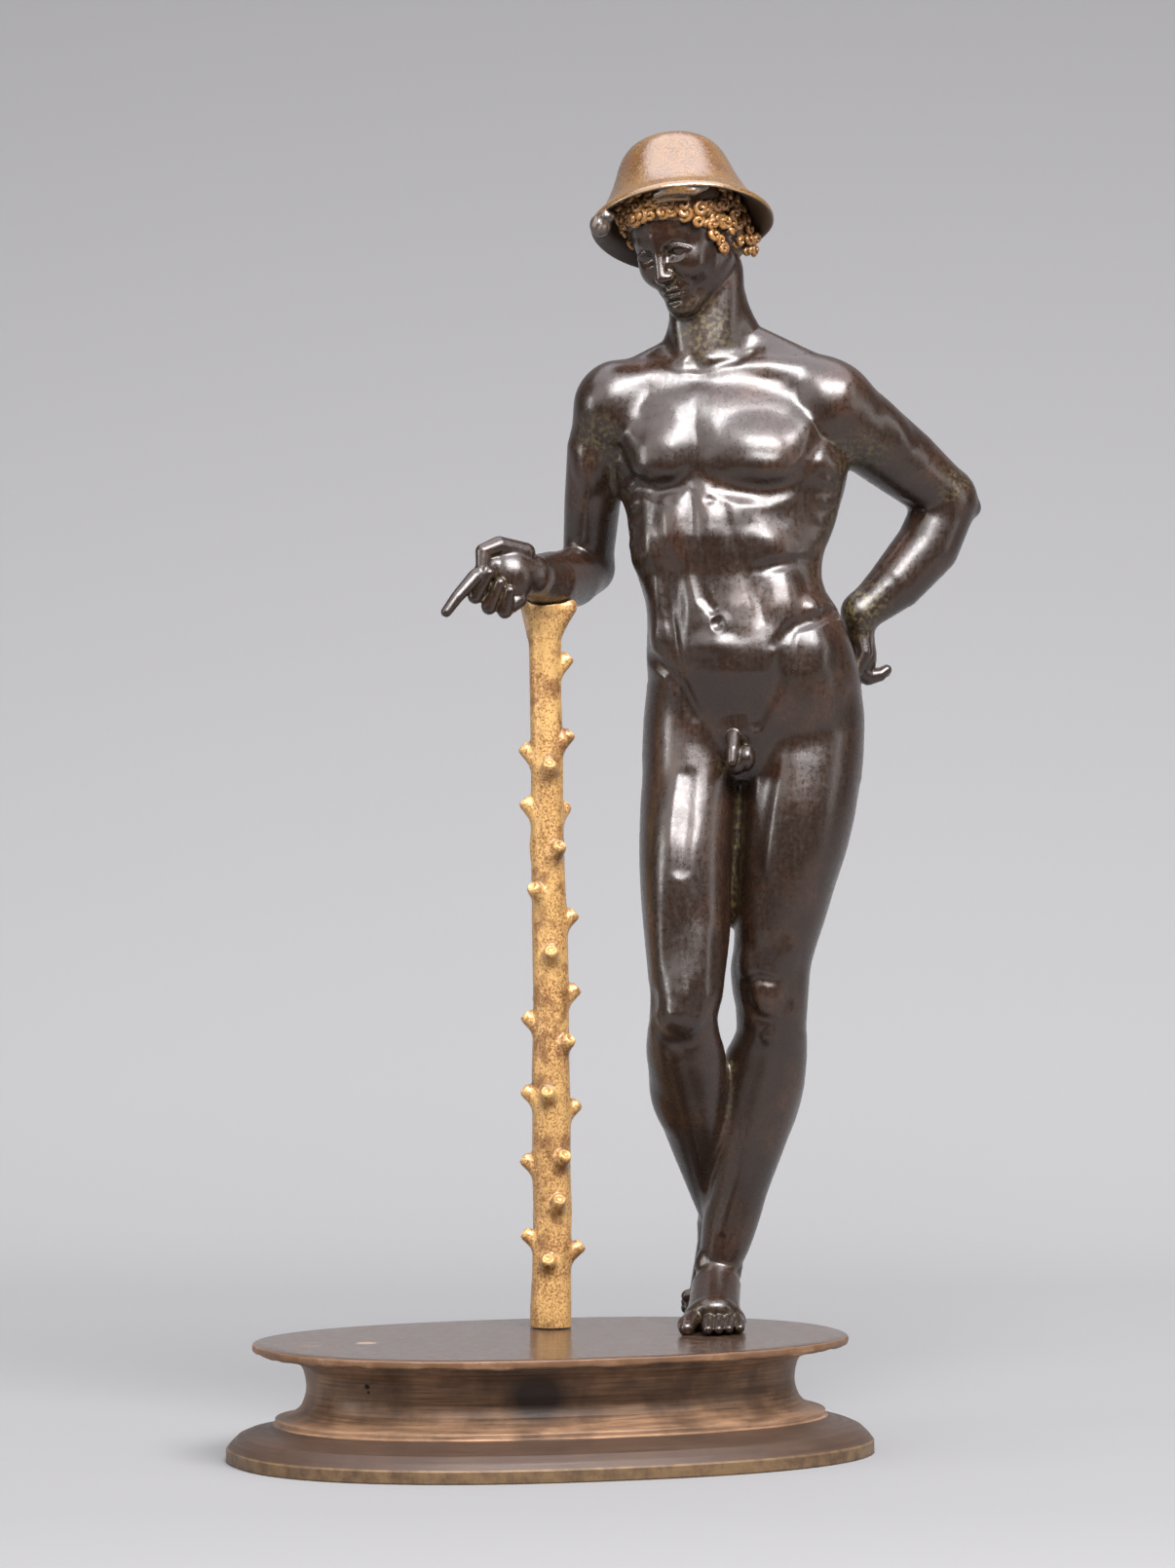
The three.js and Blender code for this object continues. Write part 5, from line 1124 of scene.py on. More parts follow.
def fill_mesh(mesh: bpy.types.Mesh, points: Array, faces: Array) -> None:
    """Writes corners and faces into a mesh; a face that names a corner twice is a triangle.

    Args:
        mesh: an empty mesh.
        points: corner places.
        faces: three or four corners in each row.
    """
    if faces.shape[1] == 4:
        short = faces[:, 2] == faces[:, 3]
        sizes = np.where(short, 3, 4)
        keep = np.ones(faces.shape, bool)
        keep[short, 3] = False
        corners = faces[keep]
    else:
        sizes = np.full(len(faces), 3)
        corners = faces.ravel()
    starts = np.concatenate([[0], np.cumsum(sizes)[:-1]])
    mesh.vertices.add(len(points))
    mesh.vertices.foreach_set("co", np.ascontiguousarray(points, np.float32).ravel())
    mesh.loops.add(len(corners))
    mesh.loops.foreach_set("vertex_index", corners.astype(np.int32))
    mesh.polygons.add(len(sizes))
    mesh.polygons.foreach_set("loop_start", starts.astype(np.int32))
    mesh.update(calc_edges=True)
    mesh.validate(clean_customdata=False)


def place_object(name: str, data: bpy.types.ID) -> Thing:
    """A new object of the scene for a mesh, a lamp or a camera.

    Args:
        name: its name.
        data: what it shows.

    Returns:
        The object, at the origin.
    """
    obj = bpy.data.objects.new(name, data)
    bpy.context.scene.collection.objects.link(obj)
    return obj


def thin(points: Array, faces: Array, limit: int) -> tuple[Array, Array]:
    """Fewer triangles by edge collapse, with the shape kept as well as it can be.

    Args:
        points: corner places.
        faces: four-sided faces.
        limit: most triangles to leave.

    Returns:
        Corner places and triangles.
    """
    total = 2 * len(faces)
    mesh = bpy.data.meshes.new("thinning")
    fill_mesh(mesh, points, faces)
    obj = place_object("thinning", mesh)
    obj.modifiers.new("triangles", "TRIANGULATE")
    if total > limit:
        step = obj.modifiers.new("collapse", "DECIMATE")
        step.ratio = limit / total
    ready = obj.evaluated_get(bpy.context.evaluated_depsgraph_get())
    out = ready.to_mesh()
    co = np.empty(3 * len(out.vertices), np.float32)
    out.vertices.foreach_get("co", co)
    tri = np.empty(len(out.loops), np.int32)
    out.loops.foreach_get("vertex_index", tri)
    ready.to_mesh_clear()
    bpy.data.objects.remove(obj)
    bpy.data.meshes.remove(mesh)
    return co.reshape(-1, 3).astype(float), tri.reshape(-1, 3)


WAYS_OUT = (2.0, 4.5, 9.0)
WAYS_IN = (2.0, 4.0, 7.0)


def hollowness(clay: Clay, points: Array, normals: Array, sign: float) -> Array:
    """How shut in a place is, or how sharp its edge, between 0 and 1.

    The distance read a little way off the surface, outwards or inwards, falls short of the
    way gone where other surface is near: the mean of 1 - distance / way over three ways.

    Args:
        clay: the block.
        points, normals: the places and the ways that the surface faces.
        sign: 1 to look outwards, -1 to look inwards.

    Returns:
        One value for each place.
    """
    total = np.zeros(len(points))
    ways = WAYS_OUT if sign > 0 else WAYS_IN
    for way in ways:
        total += np.clip(1 - sign * clay.read(points + sign * way * normals) / way, 0, 1)
    return np.clip(total / len(ways), 0, 1)


def carve_skin(name: str, clay: Clay, limit: int,
               whole: Optional[Array] = None) -> Surface:
    """Skin of a clay block with normals and marks, thinned to a number of triangles.

    Args:
        name: name for the log.
        clay: the block.
        limit: most triangles.
        whole: the distances before the piece was trimmed. Corners near that surface move
            onto it and take its normals, so that pieces meet without a line.

    Returns:
        The skin with the marks hollow and edge.
    """
    points, faces = clay.skin()
    points = clay.settle(points, 2)
    count = 2 * len(faces)
    points, faces = thin(points, faces, limit)
    if whole is None:
        points = clay.settle(points, 1)
    else:
        clay.field = whole
        near = np.abs(clay.read(points)) < 0.8 * clay.step
        points[near] = clay.settle(points[near], 2)
    g = clay.slope(points)
    normals = g / np.maximum(np.linalg.norm(g, axis=1), 1e-6)[:, None]
    marks = {
        "hollow": hollowness(clay, points, normals, 1.0),
        "edge": hollowness(clay, points, normals, -1.0),
    }
    log.info("%s: %d triangles, thinned to %d", name, count, len(faces))
    return Surface(points, faces, normals, marks)


def in_row(surface: Surface) -> Surface:
    """The same surface in the row frame."""
    normals = None if surface.normals is None else way_to_row(surface.normals)
    return Surface(to_row(surface.points), surface.faces, normals, surface.marks)


def add_piece(name: str, surface: Surface, material: Material) -> Thing:
    """A Blender object of a surface given in row metres.

    Args:
        name: name of the object.
        surface: corner places and normals in the row frame.
        material: its finish.

    Returns:
        The object, at the origin, unturned and unscaled.
    """
    mesh = bpy.data.meshes.new(name)
    fill_mesh(mesh, surface.points, surface.faces)
    for key, values in surface.marks.items():
        mark = mesh.attributes.new(key, "FLOAT", "POINT")
        mark.data.foreach_set("value", np.ascontiguousarray(values, np.float32))
    mesh.polygons.foreach_set("use_smooth", np.ones(len(mesh.polygons), bool))
    if surface.normals is not None:
        mesh.normals_split_custom_set_from_vertices(surface.normals.tolist())
    mesh.materials.append(material)
    obj = place_object(name, mesh)
    log.info("%s: %d faces", name, len(mesh.polygons))
    return obj


class Maths(Enum):
    """Arithmetic that a finish uses."""

    ADD = "sum"
    SUBTRACT = "difference"
    MULTIPLY = "product"
    MAXIMUM = "greater"


class Bench:
    """Node bench of one material, with helpers that return output sockets."""

    def __init__(self, name: str) -> None:
        """Sets up an empty bench.

        Args:
            name: name of the material.
        """
        self.material = bpy.data.materials.new(name)
        self.material.use_nodes = True
        self.tree = self.material.node_tree
        self.tree.nodes.clear()
        self.out = self.node("OutputMaterial")
        self.place = self.node("TexCoord").outputs["Object"]

    def node(self, kind: str) -> bpy.types.Node:
        """A new shader node of a kind."""
        return self.tree.nodes.new("ShaderNode" + kind)

    def set(self, socket: Socket, value: object) -> None:
        """Links a socket to an output, or sets its own value.

        Args:
            socket: the input.
            value: an output or a constant.
        """
        if isinstance(value, Socket):
            self.tree.links.new(value, socket)
        else:
            socket.default_value = value

    def noise(self, per_mm: float, detail: float, rough: float,
              stretch: Optional[Numbers] = None) -> Socket:
        """Cloudy noise of so many bumps to the millimetre.

        Args:
            per_mm: bumps to the millimetre.
            detail, rough: how many finer octaves and how strong.
            stretch: scale of the pattern along each axis.

        Returns:
            The noise, between 0 and 1.
        """
        place = self.place
        if stretch is not None:
            mapping = self.node("Mapping")
            self.set(mapping.inputs["Vector"], place)
            mapping.inputs["Scale"].default_value = stretch
            place = mapping.outputs[0]
        node = self.node("TexNoise")
        self.set(node.inputs["Vector"], place)
        node.inputs["Scale"].default_value = per_mm / MM
        node.inputs["Detail"].default_value = detail
        node.inputs["Roughness"].default_value = rough
        return node.outputs["Fac"]

    def cells(self, per_mm: float) -> Socket:
        """Distance to the nearest of scattered points.

        Args:
            per_mm: points to the millimetre.

        Returns:
            The distance, as a share of their spacing.
        """
        node = self.node("TexVoronoi")
        self.set(node.inputs["Vector"], self.place)
        node.inputs["Scale"].default_value = per_mm / MM
        return node.outputs["Distance"]

    def near(self, place: Numbers, low: float, high: float) -> Socket:
        """1 within so many millimetres of a place of the row frame, 0 beyond so many.

        Args:
            place: the place, in millimetres.
            low, high: the two distances.

        Returns:
            The share.
        """
        node = self.node("VectorMath")
        node.operation = "DISTANCE"
        self.set(node.inputs[0], self.place)
        node.inputs[1].default_value = [number * MM for number in place]
        return self.span(node.outputs["Value"], low * MM, high * MM, 1.0, 0.0)

    def mark(self, name: str) -> Socket:
        """A value kept at the corners of the mesh.

        Args:
            name: name of the mark.

        Returns:
            The value.
        """
        node = self.node("Attribute")
        node.attribute_name = name
        return node.outputs["Fac"]

    def span(self, value: object, low: float, high: float, to_low: float = 0.0,
             to_high: float = 1.0) -> Socket:
        """Straight-line mapping of one range to another, held at its ends.

        Args:
            value: the value.
            low, high: ends of its range.
            to_low, to_high: what they become.

        Returns:
            The mapped value.
        """
        node = self.node("MapRange")
        self.set(node.inputs["Value"], value)
        ends = {"From Min": low, "From Max": high, "To Min": to_low, "To Max": to_high}
        for key, number in ends.items():
            node.inputs[key].default_value = number
        return node.outputs["Result"]

    def math(self, kind: Maths, a: object, b: object) -> Socket:
        """Arithmetic of two values.

        Args:
            kind: what is done with them.
            a, b: numbers or outputs.

        Returns:
            The output of the result.
        """
        node = self.node("Math")
        node.operation = kind.name
        self.set(node.inputs[0], a)
        self.set(node.inputs[1], b)
        return node.outputs[0]

    def times(self, a: object, b: object) -> Socket:
        """Product of two values."""
        return self.math(Maths.MULTIPLY, a, b)

    def plus(self, a: object, b: object) -> Socket:
        """Sum of two values."""
        return self.math(Maths.ADD, a, b)

    def more(self, a: object, b: object) -> Socket:
        """The greater of two values."""
        return self.math(Maths.MAXIMUM, a, b)

    def less(self, a: object, b: object) -> Socket:
        """The first value less the second."""
        return self.math(Maths.SUBTRACT, a, b)

    def blend(self, share: object, a: object, b: object) -> Socket:
        """Mixture of two colours.

        Args:
            share: share of the second colour.
            a, b: the colours.

        Returns:
            The mixture.
        """
        node = self.node("Mix")
        node.data_type = "RGBA"
        self.set(node.inputs[0], share)
        self.set(node.inputs[6], a if isinstance(a, Socket) else (*a, 1))
        self.set(node.inputs[7], b if isinstance(b, Socket) else (*b, 1))
        return node.outputs[2]

    def bump(self, height: object, depth_mm: float,
             under: Optional[Socket] = None) -> Socket:
        """Normal bent by a height of so many millimetres.

        Args:
            height: a value between 0 and 1.
            depth_mm: height of a full step.
            under: the normal that is bent.

        Returns:
            The normal.
        """
        node = self.node("Bump")
        self.set(node.inputs["Height"], height)
        node.inputs["Strength"].default_value = 1.0
        node.inputs["Distance"].default_value = depth_mm * MM
        if under is not None:
            self.set(node.inputs["Normal"], under)
        return node.outputs["Normal"]

    def metal(self, color: object, rough: object, normal: object, metallic: object,
              coat: float, coat_rough: float, bend: float) -> Material:
        """Finishes the bench with one principled shader; bend is its index of refraction.

        Args:
            color, rough, normal, metallic: values of the surface.
            coat, coat_rough: weight and roughness of the wax.
            bend: index of refraction.

        Returns:
            The material.
        """
        node = self.node("BsdfPrincipled")
        self.set(node.inputs["Base Color"], color)
        self.set(node.inputs["Roughness"], rough)
        self.set(node.inputs["Normal"], normal)
        self.set(node.inputs["Metallic"], metallic)
        node.inputs["IOR"].default_value = bend
        node.inputs["Coat Weight"].default_value = coat
        node.inputs["Coat Roughness"].default_value = coat_rough
        self.tree.links.new(node.outputs[0], self.out.inputs["Surface"])
        return self.material


DUSTY_PLACES = (
    ((-14, -20, 1026), 4.0, 11.0), ((140, 20, 905), 4.0, 12.0), ((-118, -6, 920), 3.0, 9.0),
    ((146, 30, 742), 4.0, 11.0), ((240, 64, 870), 3.0, 8.0),
)
RING_PLACE = (139, -6, 542)
FACE_PLACE = (-66, -40, 1100)


@dataclass(frozen=True)
class BronzeFinish:
    """Dark waxed bronze: near black, redder where rubbed, olive specks where shut in.

    Attributes:
        dark, rubbed, dust, ring: colours of the skin, of rubbed places, of dust in hollows
            and of the ringed mark on the thigh.
        rough: roughness of the wax.
    """

    name: str = "dark_bronze"
    dark: tuple = (0.0195, 0.0092, 0.0050)
    rubbed: tuple = (0.052, 0.021, 0.010)
    dust: tuple = (0.12, 0.095, 0.030)
    ring: tuple = (0.30, 0.33, 0.30)
    rough: float = 0.29

    def build(self) -> Material:
        """Colour from noise and the marks on the mesh, bump from pits and hammering.

        Returns:
            The material.
        """
        b = Bench(self.name)
        hollow, edge = b.mark("hollow"), b.mark("edge")
        cloud = b.noise(0.06, 5, 0.6)
        fine = b.noise(0.8, 6, 0.62)
        grain = b.noise(4.0, 4, 0.6)
        streak = b.noise(1.1, 5, 0.6, (1, 1, 0.14))
        worn = b.times(b.span(cloud, 0.48, 0.64), b.span(fine, 0.3, 0.62))
        worn = b.times(worn, b.span(streak, 0.36, 0.60, 0.35, 1.0))
        worn = b.more(worn, b.times(b.span(edge, 0.4, 0.9), 0.35))
        face = b.near(row_mm(FACE_PLACE), 9.0, 15.0)
        blush = b.times(face, b.span(cloud, 0.42, 0.58, 0.2, 0.9))
        worn = b.more(worn, b.times(blush, b.span(fine, 0.3, 0.6)))
        color = b.blend(worn, self.dark, self.rubbed)
        dusty = b.span(hollow, 0.26, 0.8, 0.0, 0.75)
        for place, low, high in DUSTY_PLACES:
            here = b.near(row_mm(place), low, high)
            dusty = b.more(dusty, b.times(here, 0.6))
        shut = b.times(dusty, b.span(fine, 0.48, 0.60))
        color = b.blend(shut, color, self.dust)
        ring = b.near(row_mm(RING_PLACE), 0.9, 1.3)
        inside = b.near(row_mm(RING_PLACE), 0.4, 0.8)
        color = b.blend(b.less(ring, inside), color, self.ring)
        rough = b.span(fine, 0.3, 0.75, self.rough - 0.07, self.rough + 0.12)
        rough = b.plus(rough, b.times(b.span(dusty, 0.2, 1.0), 0.16))
        rough = b.plus(rough, b.span(streak, 0.4, 0.65, -0.02, 0.05))
        rough = b.less(rough, b.times(face, 0.09))
        pits = b.span(b.cells(1.1), 0.0, 0.12)
        normal = b.bump(pits, 0.04)
        normal = b.bump(grain, 0.018, normal)
        normal = b.bump(streak, 0.02, normal)
        normal = b.bump(b.noise(0.35, 3, 0.5), 0.08, normal)
        return b.metal(color, rough, normal, 0.2, 0.2, 0.2, 1.68)


@dataclass(frozen=True)
class GiltFinish:
    """Worn gilding under wax: ochre gold, brown by patches and grain, painted shade where shut in.

    Attributes:
        gold, brown, dark: the three colours, dark being the painted shade.
        wear: share of brown.
        grain_mm: depth of the grain in the surface.
        shine: how much of it is bare metal.
        bend: index of refraction of the wax.
        shut: range of the hollow mark over which the painted shade comes in.
        patches, rust: strength and colour of the red-brown patches.
    """

    name: str = "worn_gilding"
    gold: tuple = (0.50, 0.26, 0.075)
    brown: tuple = (0.20, 0.070, 0.022)
    dark: tuple = (0.030, 0.020, 0.014)
    rough: float = 0.34
    wear: float = 0.5
    grain_mm: float = 0.06
    shine: float = 0.35
    bend: float = 1.5
    shut: tuple = (0.25, 0.62)
    patches: float = 0.3
    rust: tuple = (0.13, 0.042, 0.016)

    def build(self) -> Material:
        """Gold and brown mixed by grain, with painted shade in hollows.

        Returns:
            The material.
        """
        b = Bench(self.name)
        hollow, edge = b.mark("hollow"), b.mark("edge")
        cloud = b.noise(0.10, 4, 0.6)
        grain = b.noise(1.6, 6, 0.7)
        spots = b.plus(b.span(grain, 0.36, 0.62), b.span(cloud, 0.35, 0.7, -0.25, 0.25))
        spots = b.plus(spots, b.span(edge, 0.3, 0.8, 0.0, 0.4))
        color = b.blend(b.span(spots, self.wear - 0.35, self.wear + 0.25), self.brown, self.gold)
        red = b.times(b.span(b.noise(0.16, 5, 0.65), 0.52, 0.62), self.patches)
        color = b.blend(red, color, self.rust)
        # painted shade: dark where the hollow mark is high, in creases, under the hat's brim and
        # between the curls
        shut = b.span(hollow, *self.shut)
        color = b.blend(shut, color, self.dark)
        rough = b.span(grain, 0.3, 0.7, self.rough - 0.08, self.rough + 0.16)
        rough = b.plus(rough, b.times(b.span(hollow, 0.1, 0.5), 0.2))
        metallic = b.times(b.span(shut, 0, 1, 1, 0.2), self.shine)
        normal = b.bump(grain, self.grain_mm)
        normal = b.bump(b.noise(0.5, 3, 0.5), 0.10, normal)
        return b.metal(color, rough, normal, metallic, 0.1, 0.25, self.bend)


HAT_GILT = GiltFinish("hat_gilding", (0.150, 0.075, 0.018), (0.070, 0.028, 0.008),
                      (0.022, 0.012, 0.007), 0.17, 0.42, 0.045, 0.05, 2.1)
HAIR_GILT = GiltFinish("hair_gilding", (0.38, 0.180, 0.045), (0.17, 0.062, 0.017),
                       (0.014, 0.008, 0.005), 0.24, 0.55, 0.03, 0.22, 1.75, (0.24, 0.66))
BRANCH_GILT = GiltFinish("branch_gilding", (0.60, 0.355, 0.128), (0.27, 0.115, 0.040),
                         (0.050, 0.023, 0.012), 0.30, 0.43, 0.10, 0.36, 1.6, (0.22, 0.62), 0.6)


PLINTH_SPOTS = (
    ((-66.6, 2.7, 31.5), 2.6, 3.1, (0.110, 0.058, 0.030)),
    ((-50.4, 4.9, 31.5), 2.5, 3.0, (0.260, 0.170, 0.110)),
    ((-16.4, -37.1, 20.5), 5.0, 11.0, (0.055, 0.036, 0.027)),
    # painted shade: a hole, shown only as near-black colour
    ((-58.5, -21.7, 22.9), 0.55, 0.90, (0.002, 0.002, 0.002)),
    ((-58.1, -21.7, 21.4), 0.30, 0.60, (0.006, 0.004, 0.003)),
)


@dataclass(frozen=True)
class PlinthFinish:
    """Brown bronze: glossy mottled plate, painted copper edge highlight, copper hollow, dull brass
    foot band.

    Attributes:
        dark, copper, lit, brass: colours of plate and patches, hollow, painted edge highlight,
            band.
        spots: (place in mm, inner and outer reach in mm, colour) of plugs, and of a hole in painted
            shade.
    """

    name: str = "plinth_bronze"
    dark: tuple = (0.045, 0.027, 0.019)
    copper: tuple = (0.340, 0.195, 0.112)
    edge_highlight: tuple = (0.120, 0.060, 0.030)
    brass: tuple = (0.150, 0.092, 0.047)
    rough: float = 0.40
    spots: tuple = PLINTH_SPOTS

    def build(self) -> Material:
        """Streaks along the mouldings; plate, painted edge highlight, hollow and band by their
        marks.

        Returns:
            The material.
        """
        b = Bench(self.name)
        plate, band, lip, ogee = b.mark("plate"), b.mark("band"), b.mark("edge"), b.mark("ogee")
        cloud = b.noise(0.07, 5, 0.6)
        streak = b.noise(0.5, 5, 0.6, (0.12, 0.12, 3.0))
        patch = b.noise(0.22, 5, 0.65)
        grain = b.noise(2.5, 4, 0.6)
        share = b.times(b.span(cloud, 0.34, 0.60, 0.30, 1.0),
                      b.span(streak, 0.35, 0.65, 0.4, 1.0))
        share = b.times(share, b.span(ogee, 0, 1, 1.0, 0.07))
        color = b.blend(share, self.dark, self.copper)
        mottle = b.times(b.span(patch, 0.5, 0.68), 0.2)
        color = b.blend(plate, color, b.blend(mottle, self.dark, self.copper))
        # painted highlight: the plate's edge is painted a lighter copper, in patches
        lighter = b.span(patch, 0.36, 0.6, 0.35, 1.0)
        color = b.blend(b.times(lip, lighter), color, self.edge_highlight)
        brassy = b.times(band, b.span(patch, 0.35, 0.6, 0.25, 1))
        color = b.blend(brassy, color, self.brass)
        for place, low, high, tint in self.spots:
            color = b.blend(b.near(place, low, high), color, tint)
        rough = b.span(streak, 0.3, 0.7, self.rough - 0.06, self.rough + 0.12)
        glossy = b.span(patch, 0.35, 0.65, 0.18, 0.27)
        rough = b.plus(b.times(rough, b.span(plate, 0, 1, 1, 0)),
                      b.times(glossy, plate))
        flat = b.span(plate, 0, 1, 1.0, 0.12)
        normal = b.bump(b.times(streak, flat), 0.05)
        normal = b.bump(b.times(grain, flat), 0.02, normal)
        normal = b.bump(patch, 0.006, normal)
        return b.metal(color, rough, normal, 0.12, 0.0, 0.15, 1.34)


class YouthPiece:
    """A piece that is shown for some of the youth."""

    name: str

    @staticmethod
    def show(name: str, surface: Surface, material: Material) -> None:
        """Makes the object, hangs it on the root and hides the CAD part of the youth.

        Args:
            name: name of the object.
            surface: its surface, in parts.
            material: its finish.
        """
        obj = add_piece(name, in_row(surface), material)
        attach(obj, "root")
        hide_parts("youth")

    def dress(self, surface: Surface, material: Material) -> None:
        """Shows the piece under its own name."""
        self.show(self.name, surface, material)


@dataclass
class Sculpted(YouthPiece):
    """One piece of the youth taken from a clay block.

    Attributes:
        name: name of the piece.
        low, high: corners of the block, in parts.
        step: grid spacing, in parts.
        limit: most triangles.
        sides: planes where the piece ends, a place and a direction each.
        without, only: spheres that the piece is outside of, or inside of.
        under_hat: whether it ends inside the hat's wall, with no hair there.
    """

    name: str
    low: tuple
    high: tuple
    step: float
    limit: int
    sides: Sequence[tuple] = ()
    without: Sequence[tuple] = ()
    only: Sequence[tuple] = ()
    under_hat: bool = False

    def build(self) -> Surface:
        """Models the figure in the block, trims it and takes its skin.

        Returns:
            The skin, in parts.
        """
        clay = Figure(self.low, self.high, self.step)
        clay.whole(not self.under_hat)
        clay.ease()
        whole = clay.field.copy()
        for place, way in self.sides:
            clay.keep_side(place, way)
        for centre, radius in self.without:
            clay.keep_ball(centre, radius, inside=False)
        for centre, radius in self.only:
            clay.keep_ball(centre, radius + OVERLAP, inside=True)
        if self.under_hat:
            clay.keep_bell_side(BELL, HAT_WALL, above=False)
        return carve_skin(self.name, clay, self.limit, whole)


OVERLAP = 3
NECK = np.array((-10, 0, 1004), float)
NECK_WAY = np.array((0, -0.2, 1))
UP = np.array((0, 0, 1))
HIPS = 566
ANKLES = 98
RIGHT_HAND = ((-216, -106, 776), 80)
LEFT_HAND = ((162, 64, 690), 52)

YOUTH_PIECES = [
    Sculpted("trunk", (-225, -120, 560), (300, 140, 1012), 1.7, 180000,
             [(NECK, NECK_WAY), (HIPS * UP, -UP)], without=[RIGHT_HAND, LEFT_HAND]),
    Sculpted("legs", (-100, -125, 92), (165, 142, 572), 1.6, 120000,
             [((HIPS + OVERLAP) * UP, UP), (ANKLES * UP, -UP)]),
    Sculpted("feet", (-62, -106, -8), (64, 150, 104), 0.9, 75000,
             [((ANKLES + OVERLAP) * UP, UP)]),
    Sculpted("head", (-150, -110, 985), (118, 100, 1235), 0.9, 150000,
             [(NECK - OVERLAP * NECK_WAY / np.linalg.norm(NECK_WAY), -NECK_WAY)],
             under_hat=True),
    Sculpted("right_hand", (-292, -140, 700), (-150, -20, 840), 0.8, 45000,
             only=[RIGHT_HAND]),
    Sculpted("left_hand", (106, 8, 634), (220, 122, 746), 0.8, 40000, only=[LEFT_HAND]),
]


@dataclass
class Hat(YouthPiece):
    """Brimmed hat with a dented brim, a wing's worn stump and a fold under the front."""

    name: str = "hat"
    step: float = 0.95
    limit: int = 90000

    def build(self) -> Surface:
        """The hair's mass above the brim joined to the bell, then the stump; painted shade under
        the brim.

        Returns:
            The skin, in parts.
        """
        clay = Clay((-150, -112, 1060), (80, 112, 1240), self.step)
        clay.place(HEAD_AT, HEAD_TURN, HEAD_SIZE)
        clay.ball((0, 10, 14), (50, 58, 56), soft=0)
        clay.ball((0, 18, 28), (58, 64, 56), soft=4)
        clay.place()
        clay.keep_bell_side(BELL, 1.5, above=True)
        clay.bell(BELL, 3)
        clay.ball((-119, -42, 1132), (11, 11, 12), soft=3)
        clay.ball((-113, -46, 1141), (9, 9, 7), soft=3)
        for i in range(4):
            clay.crease(
                [(-129 + 6 * i, -48, 1122 + 2 * i), (-125 + 5 * i, -54, 1133 + i),
                 (-122 + 5 * i, -50, 1144)], 2.4, [-1.2, -2, -1.2],
            )
        fold = np.array([(-62, -70, 1162), (-50, -76, 1166), (-38, -78, 1167),
                         (-25, -76, 1166), (-12, -69, 1170)], float)
        clay.chain(fold, [4, 5.5, 6, 5, 3.2], soft=3)
        clay.chain([(-60, -66, 1156), (-47, -71, 1159), (-32, -72, 1159)], [3, 4, 3], soft=2)
        clay.ease()
        crack = []
        for x, z in ((-41, 1185.6), (-33, 1186), (-27, 1184.6), (-25, 1184.8)):
            y = np.arange(-100, -10, 0.25)
            inside = clay.read(np.stack([np.full_like(y, x), y, np.full_like(y, z)], 1)) < 0
            crack.append((x, y[np.argmax(inside)], z))
        clay.crease(crack, 1.8, [-0.8, -1.6, -1.6, -0.8])
        surface = carve_skin(self.name, clay, self.limit)
        # painted shade under the brim: its underside, away from the fold, is marked hollow so the
        # gilding turns dark
        q = (surface.points - np.array(BELL.at)) @ BELL.turn
        _, _, under, _, _ = BELL.heights(q[:, 0], q[:, 1])
        inner = np.clip((under + 2.5 - q[:, 2]) / 2, 0, 1)
        off = np.linalg.norm(surface.points[:, None] - fold[None], axis=2).min(1)
        inner *= np.clip((off - 8) / 6, 0, 1)
        surface.marks["hollow"] = np.maximum(surface.marks["hollow"], 0.55 * inner)
        return surface


HAIRLINE = [
    (0, 36), (20, 34), (36, 26), (50, 12), (60, -8), (68, -26), (76, -24), (86, -8), (98, -8),
    (106, -28), (120, -44), (180, -54),
]
EARS = 95


